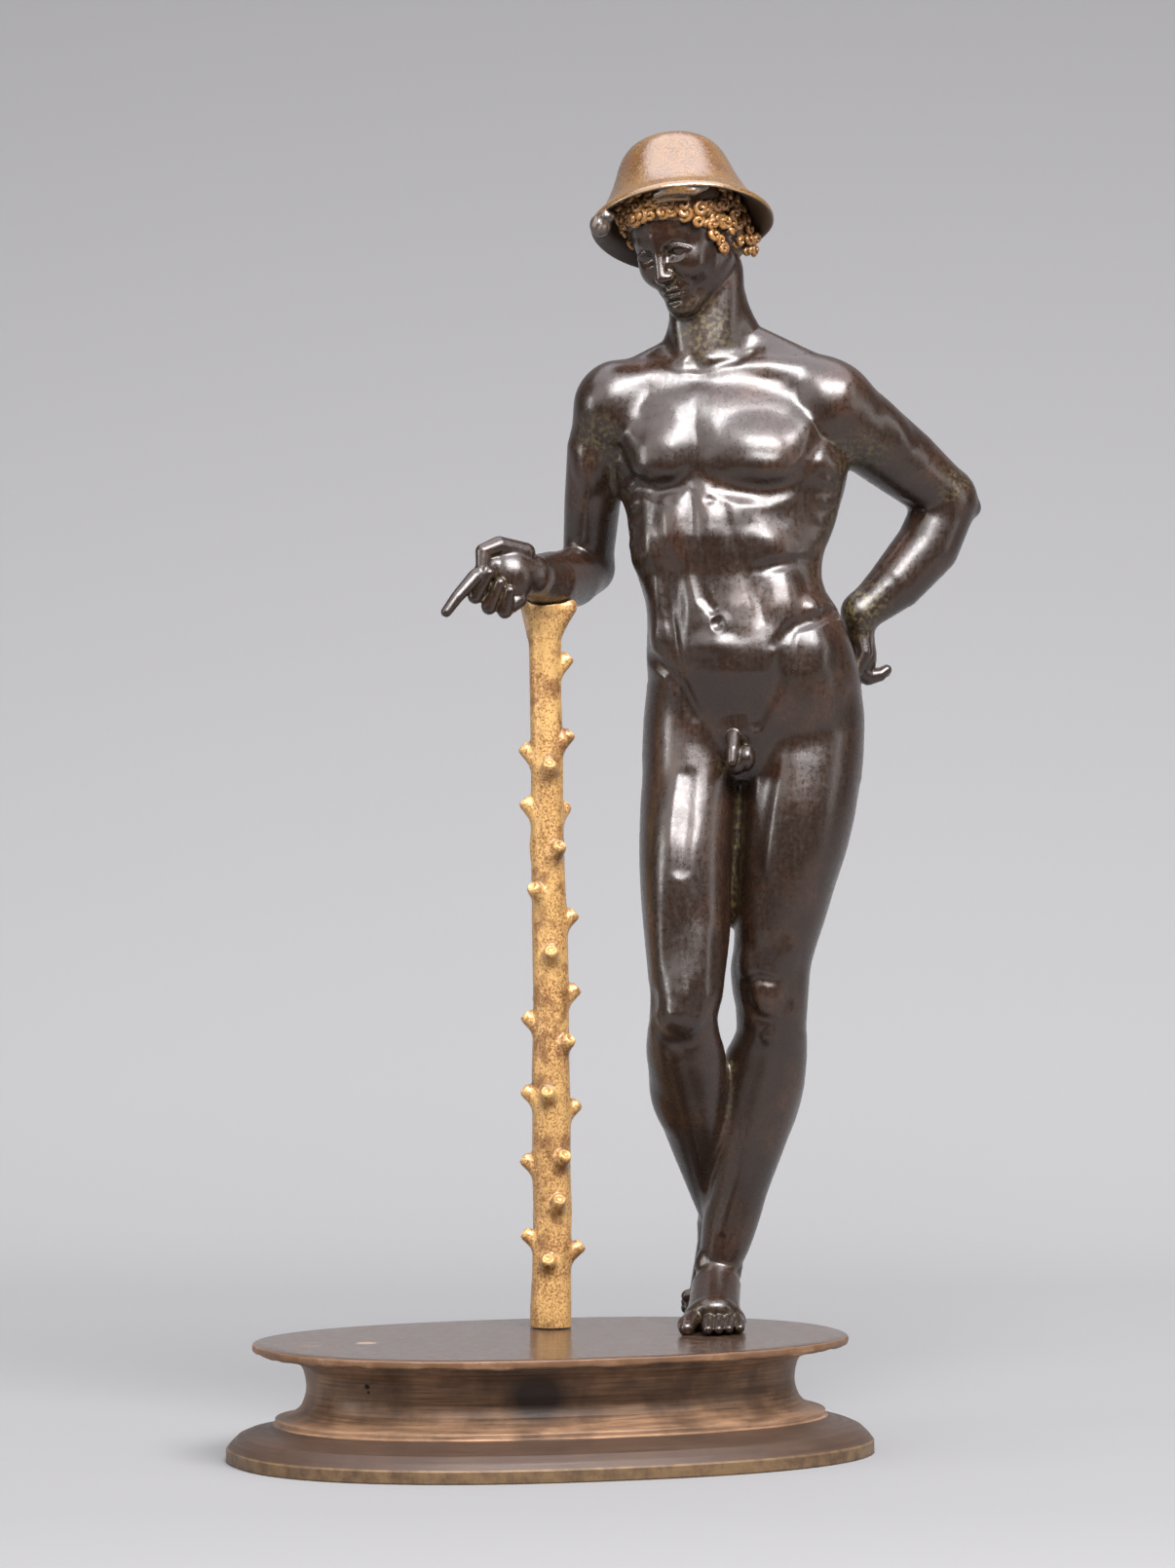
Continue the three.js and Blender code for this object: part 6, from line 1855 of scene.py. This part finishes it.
@dataclass
class Hair(YouthPiece):
    """Snail curls along the hairline and the nape.

    Attributes:
        radius, turns, dome: of a curl, its size, its windings and its angle from the middle.
        strand: thickness of its strand at the start and how much of that it loses.
        gap, rise, rows: from curl to curl, from row to row, and the rows.
        shake: how far seats stray round, up or down, and how far curls lean.
        brow_room, nape_room: how far past the hat's underside seats go before and behind.
        mass_limit: most triangles of the mass between the curls.
    """

    name: str = "curls"
    radius: float = 7.0
    turns: float = 1.5
    dome: float = 96.0
    strand: tuple = (0.46, 0.12)
    gap: float = 10.7
    rise: float = 10.5
    rows: int = 5
    shake: tuple = (1.8, 1.3, 0.22)
    brow_room: float = 2.0
    nape_room: float = -6.0
    mass_limit: int = 30000
    seed: int = 5

    def seats(self, clay: Clay, rng: np.random.Generator) -> list:
        """Places of the curls and the way each faces.

        Row k runs round the head k rises above the hairline, whose height is a smooth curve
        of the angle from the front; seats lie a gap apart, shaken a little, where a ray
        from the head's axis leaves the hair.

        Args:
            clay: the head.
            rng: the source of the shaking.

        Returns:
            A place and a direction for each curl.
        """
        found = []
        line = np.array([(-a, z) for a, z in HAIRLINE[:0:-1]] + HAIRLINE, float)
        for row in range(self.rows):
            angle = -180.0 + 5.0 * (row % 2)
            while angle < 180:
                shaken = angle + rng.uniform(-self.shake[0], self.shake[0])
                level = np.interp(shaken, line[:, 0], line[:, 1]) + self.rise * row
                level += rng.uniform(-self.shake[1], self.shake[1])
                a = math.radians(shaken)
                way = HEAD_TURN @ np.array([math.sin(a), -math.cos(a), 0])
                centre = np.array(HEAD_AT) + HEAD_SIZE * (HEAD_TURN @ np.array([0, 14, level]))
                ray = centre + np.arange(110, 20, -0.5)[:, None] * way
                inside = np.flatnonzero(clay.read(ray) < 0)
                reach = 50.0
                if len(inside):
                    place = ray[inside[0]]
                    reach = np.linalg.norm(place - centre)
                    q = (place - np.array(BELL.at)) @ BELL.turn
                    under = BELL.heights(q[None, 0], q[None, 1])[2][0]
                    room = self.brow_room if abs(shaken) < EARS else self.nape_room
                    if q[2] < under + room:
                        found.append(place)
                angle += math.degrees(self.gap / max(reach, 30.0))
        middle = np.array(HEAD_AT, float)
        result = []
        for place in found:
            g = clay.slope(place[None])[0]
            away = place - middle
            way = g / max(np.linalg.norm(g), 1e-6) + 0.4 * away / np.linalg.norm(away)
            way = way / np.linalg.norm(way) + rng.uniform(-self.shake[2], self.shake[2], 3)
            result.append((place, way / np.linalg.norm(way)))
        return result

    def curl(self, place: Array, way: Array, radius: float, turn: float,
             sense: float) -> Surface:
        """A strand wound up a dome: angle 2 pi turns t, colatitude dome (1 - t)^0.92, with a
        round section that thins towards the middle.

        Args:
            place: middle of the curl.
            way: the way it faces.
            radius: its radius, in parts.
            turn: angle where the strand begins.
            sense: 1 or -1, the way it winds.

        Returns:
            The strand, closed at both ends.
        """
        u = np.cross(way, (0.3, 0.2, 0.9))
        u /= np.linalg.norm(u)
        v = np.cross(way, u)
        t = np.linspace(0, 1, 46)
        down = np.radians(self.dome) * (1 - t) ** 0.92
        spin = sense * 2 * math.pi * self.turns * t + turn
        path = (np.sin(down) * np.cos(spin))[:, None] * u + (
            np.sin(down) * np.sin(spin))[:, None] * v + np.cos(down)[:, None] * way
        path = place + path * radius * 0.78
        along = np.gradient(path, axis=0)
        along /= np.linalg.norm(along, axis=1)[:, None]
        out = path - place
        out /= np.maximum(np.linalg.norm(out, axis=1), 1e-6)[:, None]
        side = np.cross(along, out)
        side /= np.linalg.norm(side, axis=1)[:, None]
        out = np.cross(side, along)
        around = np.linspace(0, 2 * math.pi, 8, endpoint=False)
        ends = np.minimum(1, np.minimum(t * 9, (1 - t) * 14) + 0.25)
        thick = radius * (self.strand[0] - self.strand[1] * t) * ends
        ring = (np.cos(around)[None, :, None] * side[:, None]
                + np.sin(around)[None, :, None] * out[:, None])
        rows = path[:, None] + thick[:, None, None] * ring
        surface = sheet(rows)
        # painted shade on the side of each strand that faces into the curl; the side that faces out
        # is marked as edge, a little more gold
        strand_shade = np.repeat(np.clip(0.45 - 0.55 * np.sin(around)[None], 0, 1), len(t), 0)
        surface.marks = {
            "hollow": np.concatenate([strand_shade.ravel() * 0.75, [0, 0]]),
            "edge": np.concatenate([(1 - strand_shade).ravel() * 0.5, [0, 0]]),
        }
        return surface

    def mass(self) -> Surface:
        """Smooth mass of hair between the curls, up to the inside of the hat, in painted shade.

        Returns:
            The skin, in parts.
        """
        clay = Clay((-120, -80, 1040), (60, 95, 1200), 1.6)
        clay.place(HEAD_AT, HEAD_TURN, HEAD_SIZE)
        clay.ball((0, 18, 28), (58, 64, 56), soft=4)
        clay.ball((0, 44, -20), (48, 36, 38), soft=10)
        clay.place()
        clay.keep_bell_side(BELL, HAT_WALL, above=False)
        surface = carve_skin("hair mass", clay, self.mass_limit)
        # painted shade over the whole mass between the curls
        surface.marks["hollow"] = np.maximum(surface.marks["hollow"], 0.5)
        return surface

    def core(self, place: Array, radius: float) -> Surface:
        """Ball under a curl, so that no gap shows, in painted shade.

        Args:
            place: its middle.
            radius: its radius.

        Returns:
            The ball.
        """
        lat = np.linspace(0, math.pi, 10)[1:-1]
        lon = np.linspace(0, 2 * math.pi, 14, endpoint=False)
        rows = np.stack([
            np.sin(lat)[:, None] * np.cos(lon), np.sin(lat)[:, None] * np.sin(lon),
            np.cos(lat)[:, None] + 0 * lon,
        ], -1)
        surface = sheet(place + radius * rows[::-1])
        n = len(surface.points)
        # painted shade: the ball is marked hollow all over
        surface.marks = {"hollow": np.full(n, 0.8), "edge": np.zeros(n)}
        return surface

    def build(self) -> Surface:
        """Every curl on its seat, with its size and turn drawn at random.

        Returns:
            All the curls as one surface.
        """
        clay = Figure((-150, -110, 1020), (80, 110, 1240), 2.0)
        clay.neck()
        clay.head(True)
        rng = np.random.default_rng(self.seed)
        parts = []
        for place, way in self.seats(clay, rng):
            radius = self.radius * rng.uniform(0.78, 1.18)
            parts.append(self.curl(place, way, radius, rng.uniform(0, 6.28),
                                   rng.choice([-1.0, 1.0])))
            parts.append(self.core(place, radius * 0.72))
        return merge(parts)

    def dress(self, surface: Surface, material: Material) -> None:
        """Shows the curls, then the mass of hair between them."""
        super().dress(surface, material)
        self.show("hair", self.mass(), material)


BRANCH_AT = (-170, -6)
BRANCH_THICK = 11.3 * MM
STUB_THICK = 4.4 * MM
TRUNK = [
    (-20, 0, 0, 21.5), (20, 0, 0, 21.3), (60, 1, 1, 20), (115, 2, 2, 19.6), (165, 0.5, 1, 20),
    (215, 1, -1, 20), (265, 0, -2, 19.5), (325, 0.5, -1, 18.4), (370, 0, 1, 18.6),
    (415, -1, 2, 18.4), (465, -2.5, 1, 17.4), (515, -3.5, 0, 17), (565, -3.5, -1, 16.6),
    (605, -4, -1, 16.6), (645, -5, 0, 16.4), (690, -5.5, 0, 16.6), (718, -6, -1, 17),
    (732, -6.5, -2, 18.6), (744, -6.5, -2, 22.5), (770, -6.5, -2, 24),
]
STUBS = [
    (688, 8, 25), (610, -8, 25), (596, 176, 25), (580, -84, 26), (540, 186, 24), (535, 38, 25),
    (496, -58, 26), (453, -128, 27), (425, 4, 26), (388, -88, 27), (348, 6, 27), (320, 178, 27),
    (297, -42, 27), (244, 184, 27), (244, -98, 27), (229, 16, 28), (173, 182, 28),
    (178, -58, 28), (132, -74, 28), (96, 184, 29), (83, 10, 32), (71, -98, 28),
    (640, 112, 24), (560, 76, 25), (474, 104, 26), (404, 66, 26), (338, 120, 27),
    (262, 82, 27), (196, 108, 28), (118, 70, 28),
]
FOREARM = [(-131, 80, 780), (-148, 44, 770), (-170, -6, 770), (-193, -58, 774)]
FOREARM_RADII = [26, 29, 29, 21]


@dataclass
class Branch:
    """Knotty branch with lopped side shoots and a forked top.

    Attributes:
        step, limit: grid spacing, in parts, and most triangles.
        shown: share of a shoot's reach that stands out.
        ridges: how many low ridges and hollows the bark has.
        clearance, foot_gap: from the forearm and from the plate, in metres.
        seed: seed of the ridges.
    """

    name: str = "branch_bark"
    step: float = 0.95
    limit: int = 95000
    shown: float = 0.62
    ridges: int = 46
    clearance: float = 0.45 * MM
    foot_gap: float = 0.3 * MM
    seed: int = 11

    def build(self) -> Surface:
        """Trunk of round cones, a cone with a dished end for each shoot, low bark ridges.

        Returns:
            The skin, in parts.
        """
        x0, y0 = BRANCH_AT
        half = 40
        clay = Clay((x0 - half, y0 - half, 0.4), (x0 + half, y0 + half, 775), self.step)
        thick = BRANCH_THICK / 2 / PART / TRUNK[0][3]
        clay.chain([(x0 + x, y0 + y, z) for z, x, y, _ in TRUNK],
                   [r * thick for *_, r in TRUNK], soft=2)
        clay.cone((x0 + 2, y0 - 2, 724), (x0 + 17, y0 - 6, 742), 14 * thick, 10, soft=6)
        clay.cone((x0 - 12, y0 + 8, 716), (x0 - 25, y0 + 20, 750), 13 * thick, 8, soft=6)
        stub = STUB_THICK / 2 / PART
        rng = np.random.default_rng(self.seed)
        for z, way, reach in STUBS:
            cx, cy, r = smooth_curve(TRUNK, np.array([float(z)]))[0]
            a = math.radians(way)
            out = r * thick + (reach - r) * self.shown
            side = np.array([math.cos(a), math.sin(a), 0])
            middle = np.array([x0 + cx, y0 + cy, z])
            base = middle + 8 * side - (0, 0, 14)
            tip = middle + out * side
            clay.cone(base, tip, stub * 1.15, stub * 0.9, soft=5)
            axis = (tip - base) / np.linalg.norm(tip - base)
            clay.ball(tip + axis * stub * 0.95, np.full(3, stub * 0.62), soft=1.2, join=Join.CUT)
        for _ in range(self.ridges):
            z = rng.uniform(10, 730)
            a = rng.uniform(0, 2 * math.pi)
            cx, cy, r = smooth_curve(TRUNK, np.array([z]))[0]
            place = (x0 + cx + r * thick * math.cos(a), y0 + cy + r * thick * math.sin(a), z)
            clay.swell(place, (7, 7, rng.uniform(14, 34)), rng.uniform(-1.2, 1.4))
        grown = [r + self.clearance / PART for r in FOREARM_RADII]
        clay.chain(FOREARM, grown, soft=1, join=Join.CUT)
        clay.ball((x0, y0, 830), (90, 90, 62), soft=1, join=Join.CUT)
        clay.keep_side((0, 0, self.foot_gap / PART), (0, 0, -1))
        clay.field[:, :, 0] = np.maximum(clay.field[:, :, 0], 0.01)
        return carve_skin(self.name, clay, self.limit)

    def dress(self, surface: Surface, material: Material) -> None:
        """Makes the branch, hangs it on the root and hides the CAD part of the branch.

        Args:
            surface: its surface, in parts.
            material: its finish.
        """
        obj = add_piece(self.name, in_row(surface), material)
        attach(obj, "root")
        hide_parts("branch")


@dataclass
class Plinth:
    """Oval moulded plinth: a profile drawn round a full oval.

    Attributes:
        plate_long, plate_deep, fullness: the plate's two widths, in mm, and its exponent.
        profile: how far inside the plate's edge and how high, in mm, from the foot up.
        columns, levels: corners round the oval and up the profile.
        waves: number and height, in mm, of the waves that the plate's edge has.
        band_top, ogee_top, lip_low, lip_top: heights where finishes change, in mm.
    """

    name: str = "moulded_plinth"
    plate_long: float = 162.4
    plate_deep: float = 104.0
    fullness: float = 2.3
    profile: tuple = (
        (-6.9, 0.0), (-6.9, 3.3), (-6.8, 3.4), (-6.4, 3.9), (-5.4, 5.2), (-3.5, 7.0),
        (-1.2, 8.0), (1.1, 8.56), (3.4, 9.1), (5.3, 9.9), (5.5, 10.1), (6.0, 10.2),
        (5.97, 11.4), (6.2, 11.7), (8.5, 12.2), (10.3, 12.8), (11.67, 13.7), (12.9, 15.1),
        (13.6, 16.8), (14.1, 18.6), (14.2, 20.4), (13.9, 22.6), (13.4, 24.6), (12.7, 25.8),
        (12.2, 26.4), (11.5, 26.5), (11.4, 27.3), (10.8, 27.5), (10.8, 29.15), (0.6, 29.2),
        (0.15, 29.5), (0.0, 30.0), (0.0, 30.9), (0.15, 31.3), (0.5, 31.5),
    )
    columns: int = 400
    levels: int = 110
    waves: tuple = ((7, 0.10), (17, 0.09), (37, 0.08), (61, 0.06))
    band_top: float = 3.6
    ogee_top: float = 9.9
    lip_low: float = 29.35
    lip_top: float = 31.45

    def build(self) -> Surface:
        """Each profile point (inset d, height z) gives the oval
        (A - d) sgn(cos a) |cos a|^(2/n), (B - d) sgn(sin a) |sin a|^(2/n), with n the
        fullness; the top is filled by ovals shrunk towards the middle.

        Returns:
            The surface, in row metres.
        """
        corner = np.array(self.profile)
        lengths = np.concatenate([[0], np.cumsum(np.linalg.norm(np.diff(corner, axis=0), axis=1))])
        even = np.unique(np.append(np.linspace(0, lengths[-1], self.levels), lengths))
        inset = np.interp(even, lengths, corner[:, 0])
        height = np.interp(even, lengths, corner[:, 1])
        a = np.linspace(0, 2 * math.pi, self.columns, endpoint=False)
        c, s = np.cos(a), np.sin(a)
        power = 2 / self.fullness
        full = np.stack([np.sign(c) * np.abs(c) ** power, np.sign(s) * np.abs(s) ** power], 1)
        rows = []
        wave = sum(tall * np.sin(k * a + k * k) for k, tall in self.waves)
        for d, z in zip(inset, height):
            lift = wave * np.interp(z, (28.6, 29.1, 29.6, 30.9), (0, 1, 1, 0))
            nick = 0.35 * wave * np.interp(z, (29.2, 29.6, 31.2, 31.5), (0, 1, 1, 0.4))
            rows.append(np.column_stack([
                (self.plate_long / 2 - d + nick) * full[:, 0],
                (self.plate_deep / 2 - d + nick) * full[:, 1], z + lift,
            ]))
        for share in np.linspace(1, 0.02, 16)[1:]:
            flat = rows[len(inset) - 1].copy()
            flat[:, :2] *= share
            rows.append(flat)
        under = rows[0].copy()
        under[:, :2] *= 0.02
        rows = np.array([under] + rows) * MM
        surface = sheet(rows)
        z = np.append(rows[..., 2].ravel(), [0, PLINTH_TALL])
        z[-2] = 0
        surface.marks = {
            "plate": (z > self.lip_top * MM).astype(float),
            "band": (z < self.band_top * MM).astype(float),
            "hollow": np.zeros(len(z)),
            "edge": ((z > self.lip_low * MM) & (z < self.lip_top * MM)).astype(float),
            "ogee": (z < self.ogee_top * MM).astype(float),
        }
        return surface

    def dress(self, surface: Surface, material: Material) -> None:
        """Makes the plinth, hangs it on the root and hides the CAD part of the plinth.

        Args:
            surface: its surface, in row metres.
            material: its finish.
        """
        obj = add_piece(self.name, surface, material)
        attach(obj, "root")
        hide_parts("plinth")


@dataclass(frozen=True)
class Softbox:
    """One area light, placed in the camera's own frame: x right, y away, z up.

    Attributes:
        place, aim: where it stands and where it looks, in metres.
        size, power, color: its two widths in metres, its watts and its colour.
    """

    name: str
    place: tuple
    size: tuple
    power: float
    aim: tuple = (0.03, 0.0, 0.2)
    color: tuple = (1.0, 1.0, 1.0)


class Studio:
    """Pale swept ground, soft lights and the camera, in metres."""

    LIGHTS = [
        Softbox("key", (0.32, -0.80, 1.02), (1.10, 0.56), 46.0, color=(0.98, 0.98, 1.0)),
        Softbox("ceiling", (0.05, -0.02, 1.55), (2.0, 2.1), 38.0, color=(0.93, 0.92, 1.0)),
        Softbox("fill", (-0.72, -0.70, 0.85), (0.8, 0.8), 4.6),
        Softbox("left", (-1.0, -0.33, 0.42), (0.2, 0.40), 3.4),
        Softbox("right", (1.15, -0.25, 0.5), (0.25, 0.9), 2.0),
    ]
    ROOM_LIGHT = (0.9, 0.92, 1.0, 1)
    ROOM_STRENGTH = 0.07
    ROOM_SEEN = (0.50, 0.50, 0.51, 1)
    # painted light and shade on the ground: brighter further back, darker up the wall
    GROUND_NEAR = (0.198, 0.196, 0.193)
    GROUND_FAR = (0.278, 0.275, 0.272)
    WALL = (0.190, 0.187, 0.189)
    FLOOR_FRONT = -0.42
    SWEEP_AT = 0.45
    SWEEP = 0.5
    WALL_TOP = 2.4
    HALF_WIDE = 2.2

    def __init__(self) -> None:
        """Sets the turn from the camera's frame to the row frame."""
        self.turn = turn_matrix((0, 0, STANCE_TURN))

    def aim(self, obj: Thing, place: Numbers, at: Numbers) -> None:
        """Puts an object at a place, looking at another.

        Args:
            obj: the light.
            place, at: the two places, in the camera's frame.
        """
        spot = Vector(self.turn @ np.array(place, float))
        look = Vector(self.turn @ np.array(at, float)) - spot
        obj.location = spot
        obj.rotation_euler = look.to_track_quat("-Z", "Y").to_euler()

    def camera(self) -> None:
        """Long lens, level with the upper thigh, looking a little down."""
        data = bpy.data.cameras.new("camera")
        data.sensor_width = SENSOR_LONG
        data.lens = PHOTO_FOCAL / PHOTO_TALL * SENSOR_LONG
        data.clip_end = 30
        obj = place_object("camera", data)
        obj.location = self.turn @ np.array(CAMERA_PLACE)
        obj.rotation_euler = (math.radians(90 - CAMERA_PITCH), 0, math.radians(STANCE_TURN))
        bpy.context.scene.camera = obj

    def lights(self) -> None:
        """Area lights from the list."""
        for box in self.LIGHTS:
            data = bpy.data.lights.new(box.name, "AREA")
            data.shape = "RECTANGLE"
            data.size, data.size_y = box.size
            data.energy = box.power
            data.color = box.color
            self.aim(place_object(box.name, data), box.place, box.aim)
        world = bpy.data.worlds.new("room")
        world.use_nodes = True
        tree = world.node_tree
        dim = tree.nodes["Background"]
        dim.inputs[0].default_value = self.ROOM_LIGHT
        dim.inputs[1].default_value = self.ROOM_STRENGTH
        pale = tree.nodes.new("ShaderNodeBackground")
        pale.inputs[0].default_value = self.ROOM_SEEN
        seen = tree.nodes.new("ShaderNodeLightPath").outputs["Is Camera Ray"]
        mix = tree.nodes.new("ShaderNodeMixShader")
        for socket, value in zip(mix.inputs, (seen, dim.outputs[0], pale.outputs[0])):
            tree.links.new(value, socket)
        tree.links.new(mix.outputs[0], tree.nodes["World Output"].inputs["Surface"])
        bpy.context.scene.world = world

    def ground(self) -> None:
        """Floor that sweeps up behind: flat, then a quarter circle, then a wall, which is clear
        from its back, so that the statuette can be looked at from behind."""
        arc = np.linspace(0, math.pi / 2, 24)
        back = self.SWEEP_AT + self.SWEEP
        y = np.concatenate([[self.FLOOR_FRONT], self.SWEEP_AT + self.SWEEP * np.sin(arc), [back]])
        z = np.concatenate([[0.0], self.SWEEP - self.SWEEP * np.cos(arc), [self.WALL_TOP]])
        x = np.linspace(-self.HALF_WIDE, self.HALF_WIDE, 3)
        grid = np.stack([np.repeat(x, len(y)), np.tile(y, 3), np.tile(z, 3)], 1) @ self.turn.T
        n = len(y)
        index = np.arange(3 * n).reshape(3, n)
        faces = np.stack([index[:-1, :-1], index[1:, :-1], index[1:, 1:], index[:-1, 1:]],
                         -1).reshape(-1, 4)
        bench = Bench("pale_ground")
        node = bench.node("BsdfPrincipled")
        split = bench.node("SeparateXYZ")
        bench.set(split.inputs[0], bench.place)
        depth = bench.node("VectorMath")
        depth.operation = "DOT_PRODUCT"
        bench.set(depth.inputs[0], bench.place)
        depth.inputs[1].default_value = self.turn[:, 1]
        # painted light and shade: brighter further back, darker up the wall
        far = bench.span(depth.outputs["Value"], -0.12, 0.55)
        high = bench.span(split.outputs[2], 0.05, 0.55)
        shade = bench.blend(far, self.GROUND_NEAR, self.GROUND_FAR)
        shade = bench.blend(high, shade, self.WALL)
        bench.set(node.inputs["Base Color"], shade)
        node.inputs["Roughness"].default_value = 0.9
        node.inputs["Specular IOR Level"].default_value = 0.1
        side = bench.node("NewGeometry").outputs["Backfacing"]
        clear = bench.node("BsdfTransparent")
        mix = bench.node("MixShader")
        for socket, value in zip(mix.inputs, (side, node.outputs[0], clear.outputs[0])):
            bench.set(socket, value)
        bench.set(bench.out.inputs["Surface"], mix.outputs[0])
        obj = add_piece("ground", Surface(grid, faces), bench.material)


def main() -> None:
    """Builds the statuette's looks on the frame."""
    logging.basicConfig(level=logging.INFO, format="%(message)s")
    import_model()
    studio = Studio()
    studio.camera()
    bronze = BronzeFinish().build()
    for piece in YOUTH_PIECES:
        piece.dress(piece.build(), bronze)
    for part, finish in ((Hat(), HAT_GILT), (Hair(), HAIR_GILT), (Branch(), BRANCH_GILT)):
        part.dress(part.build(), finish.build())
    plinth = Plinth()
    plinth.dress(plinth.build(), PlinthFinish().build())
    studio.lights()
    studio.ground()
    scene = bpy.context.scene
    scene.view_settings.view_transform = "Standard"


if __name__ == "__main__":
    main()
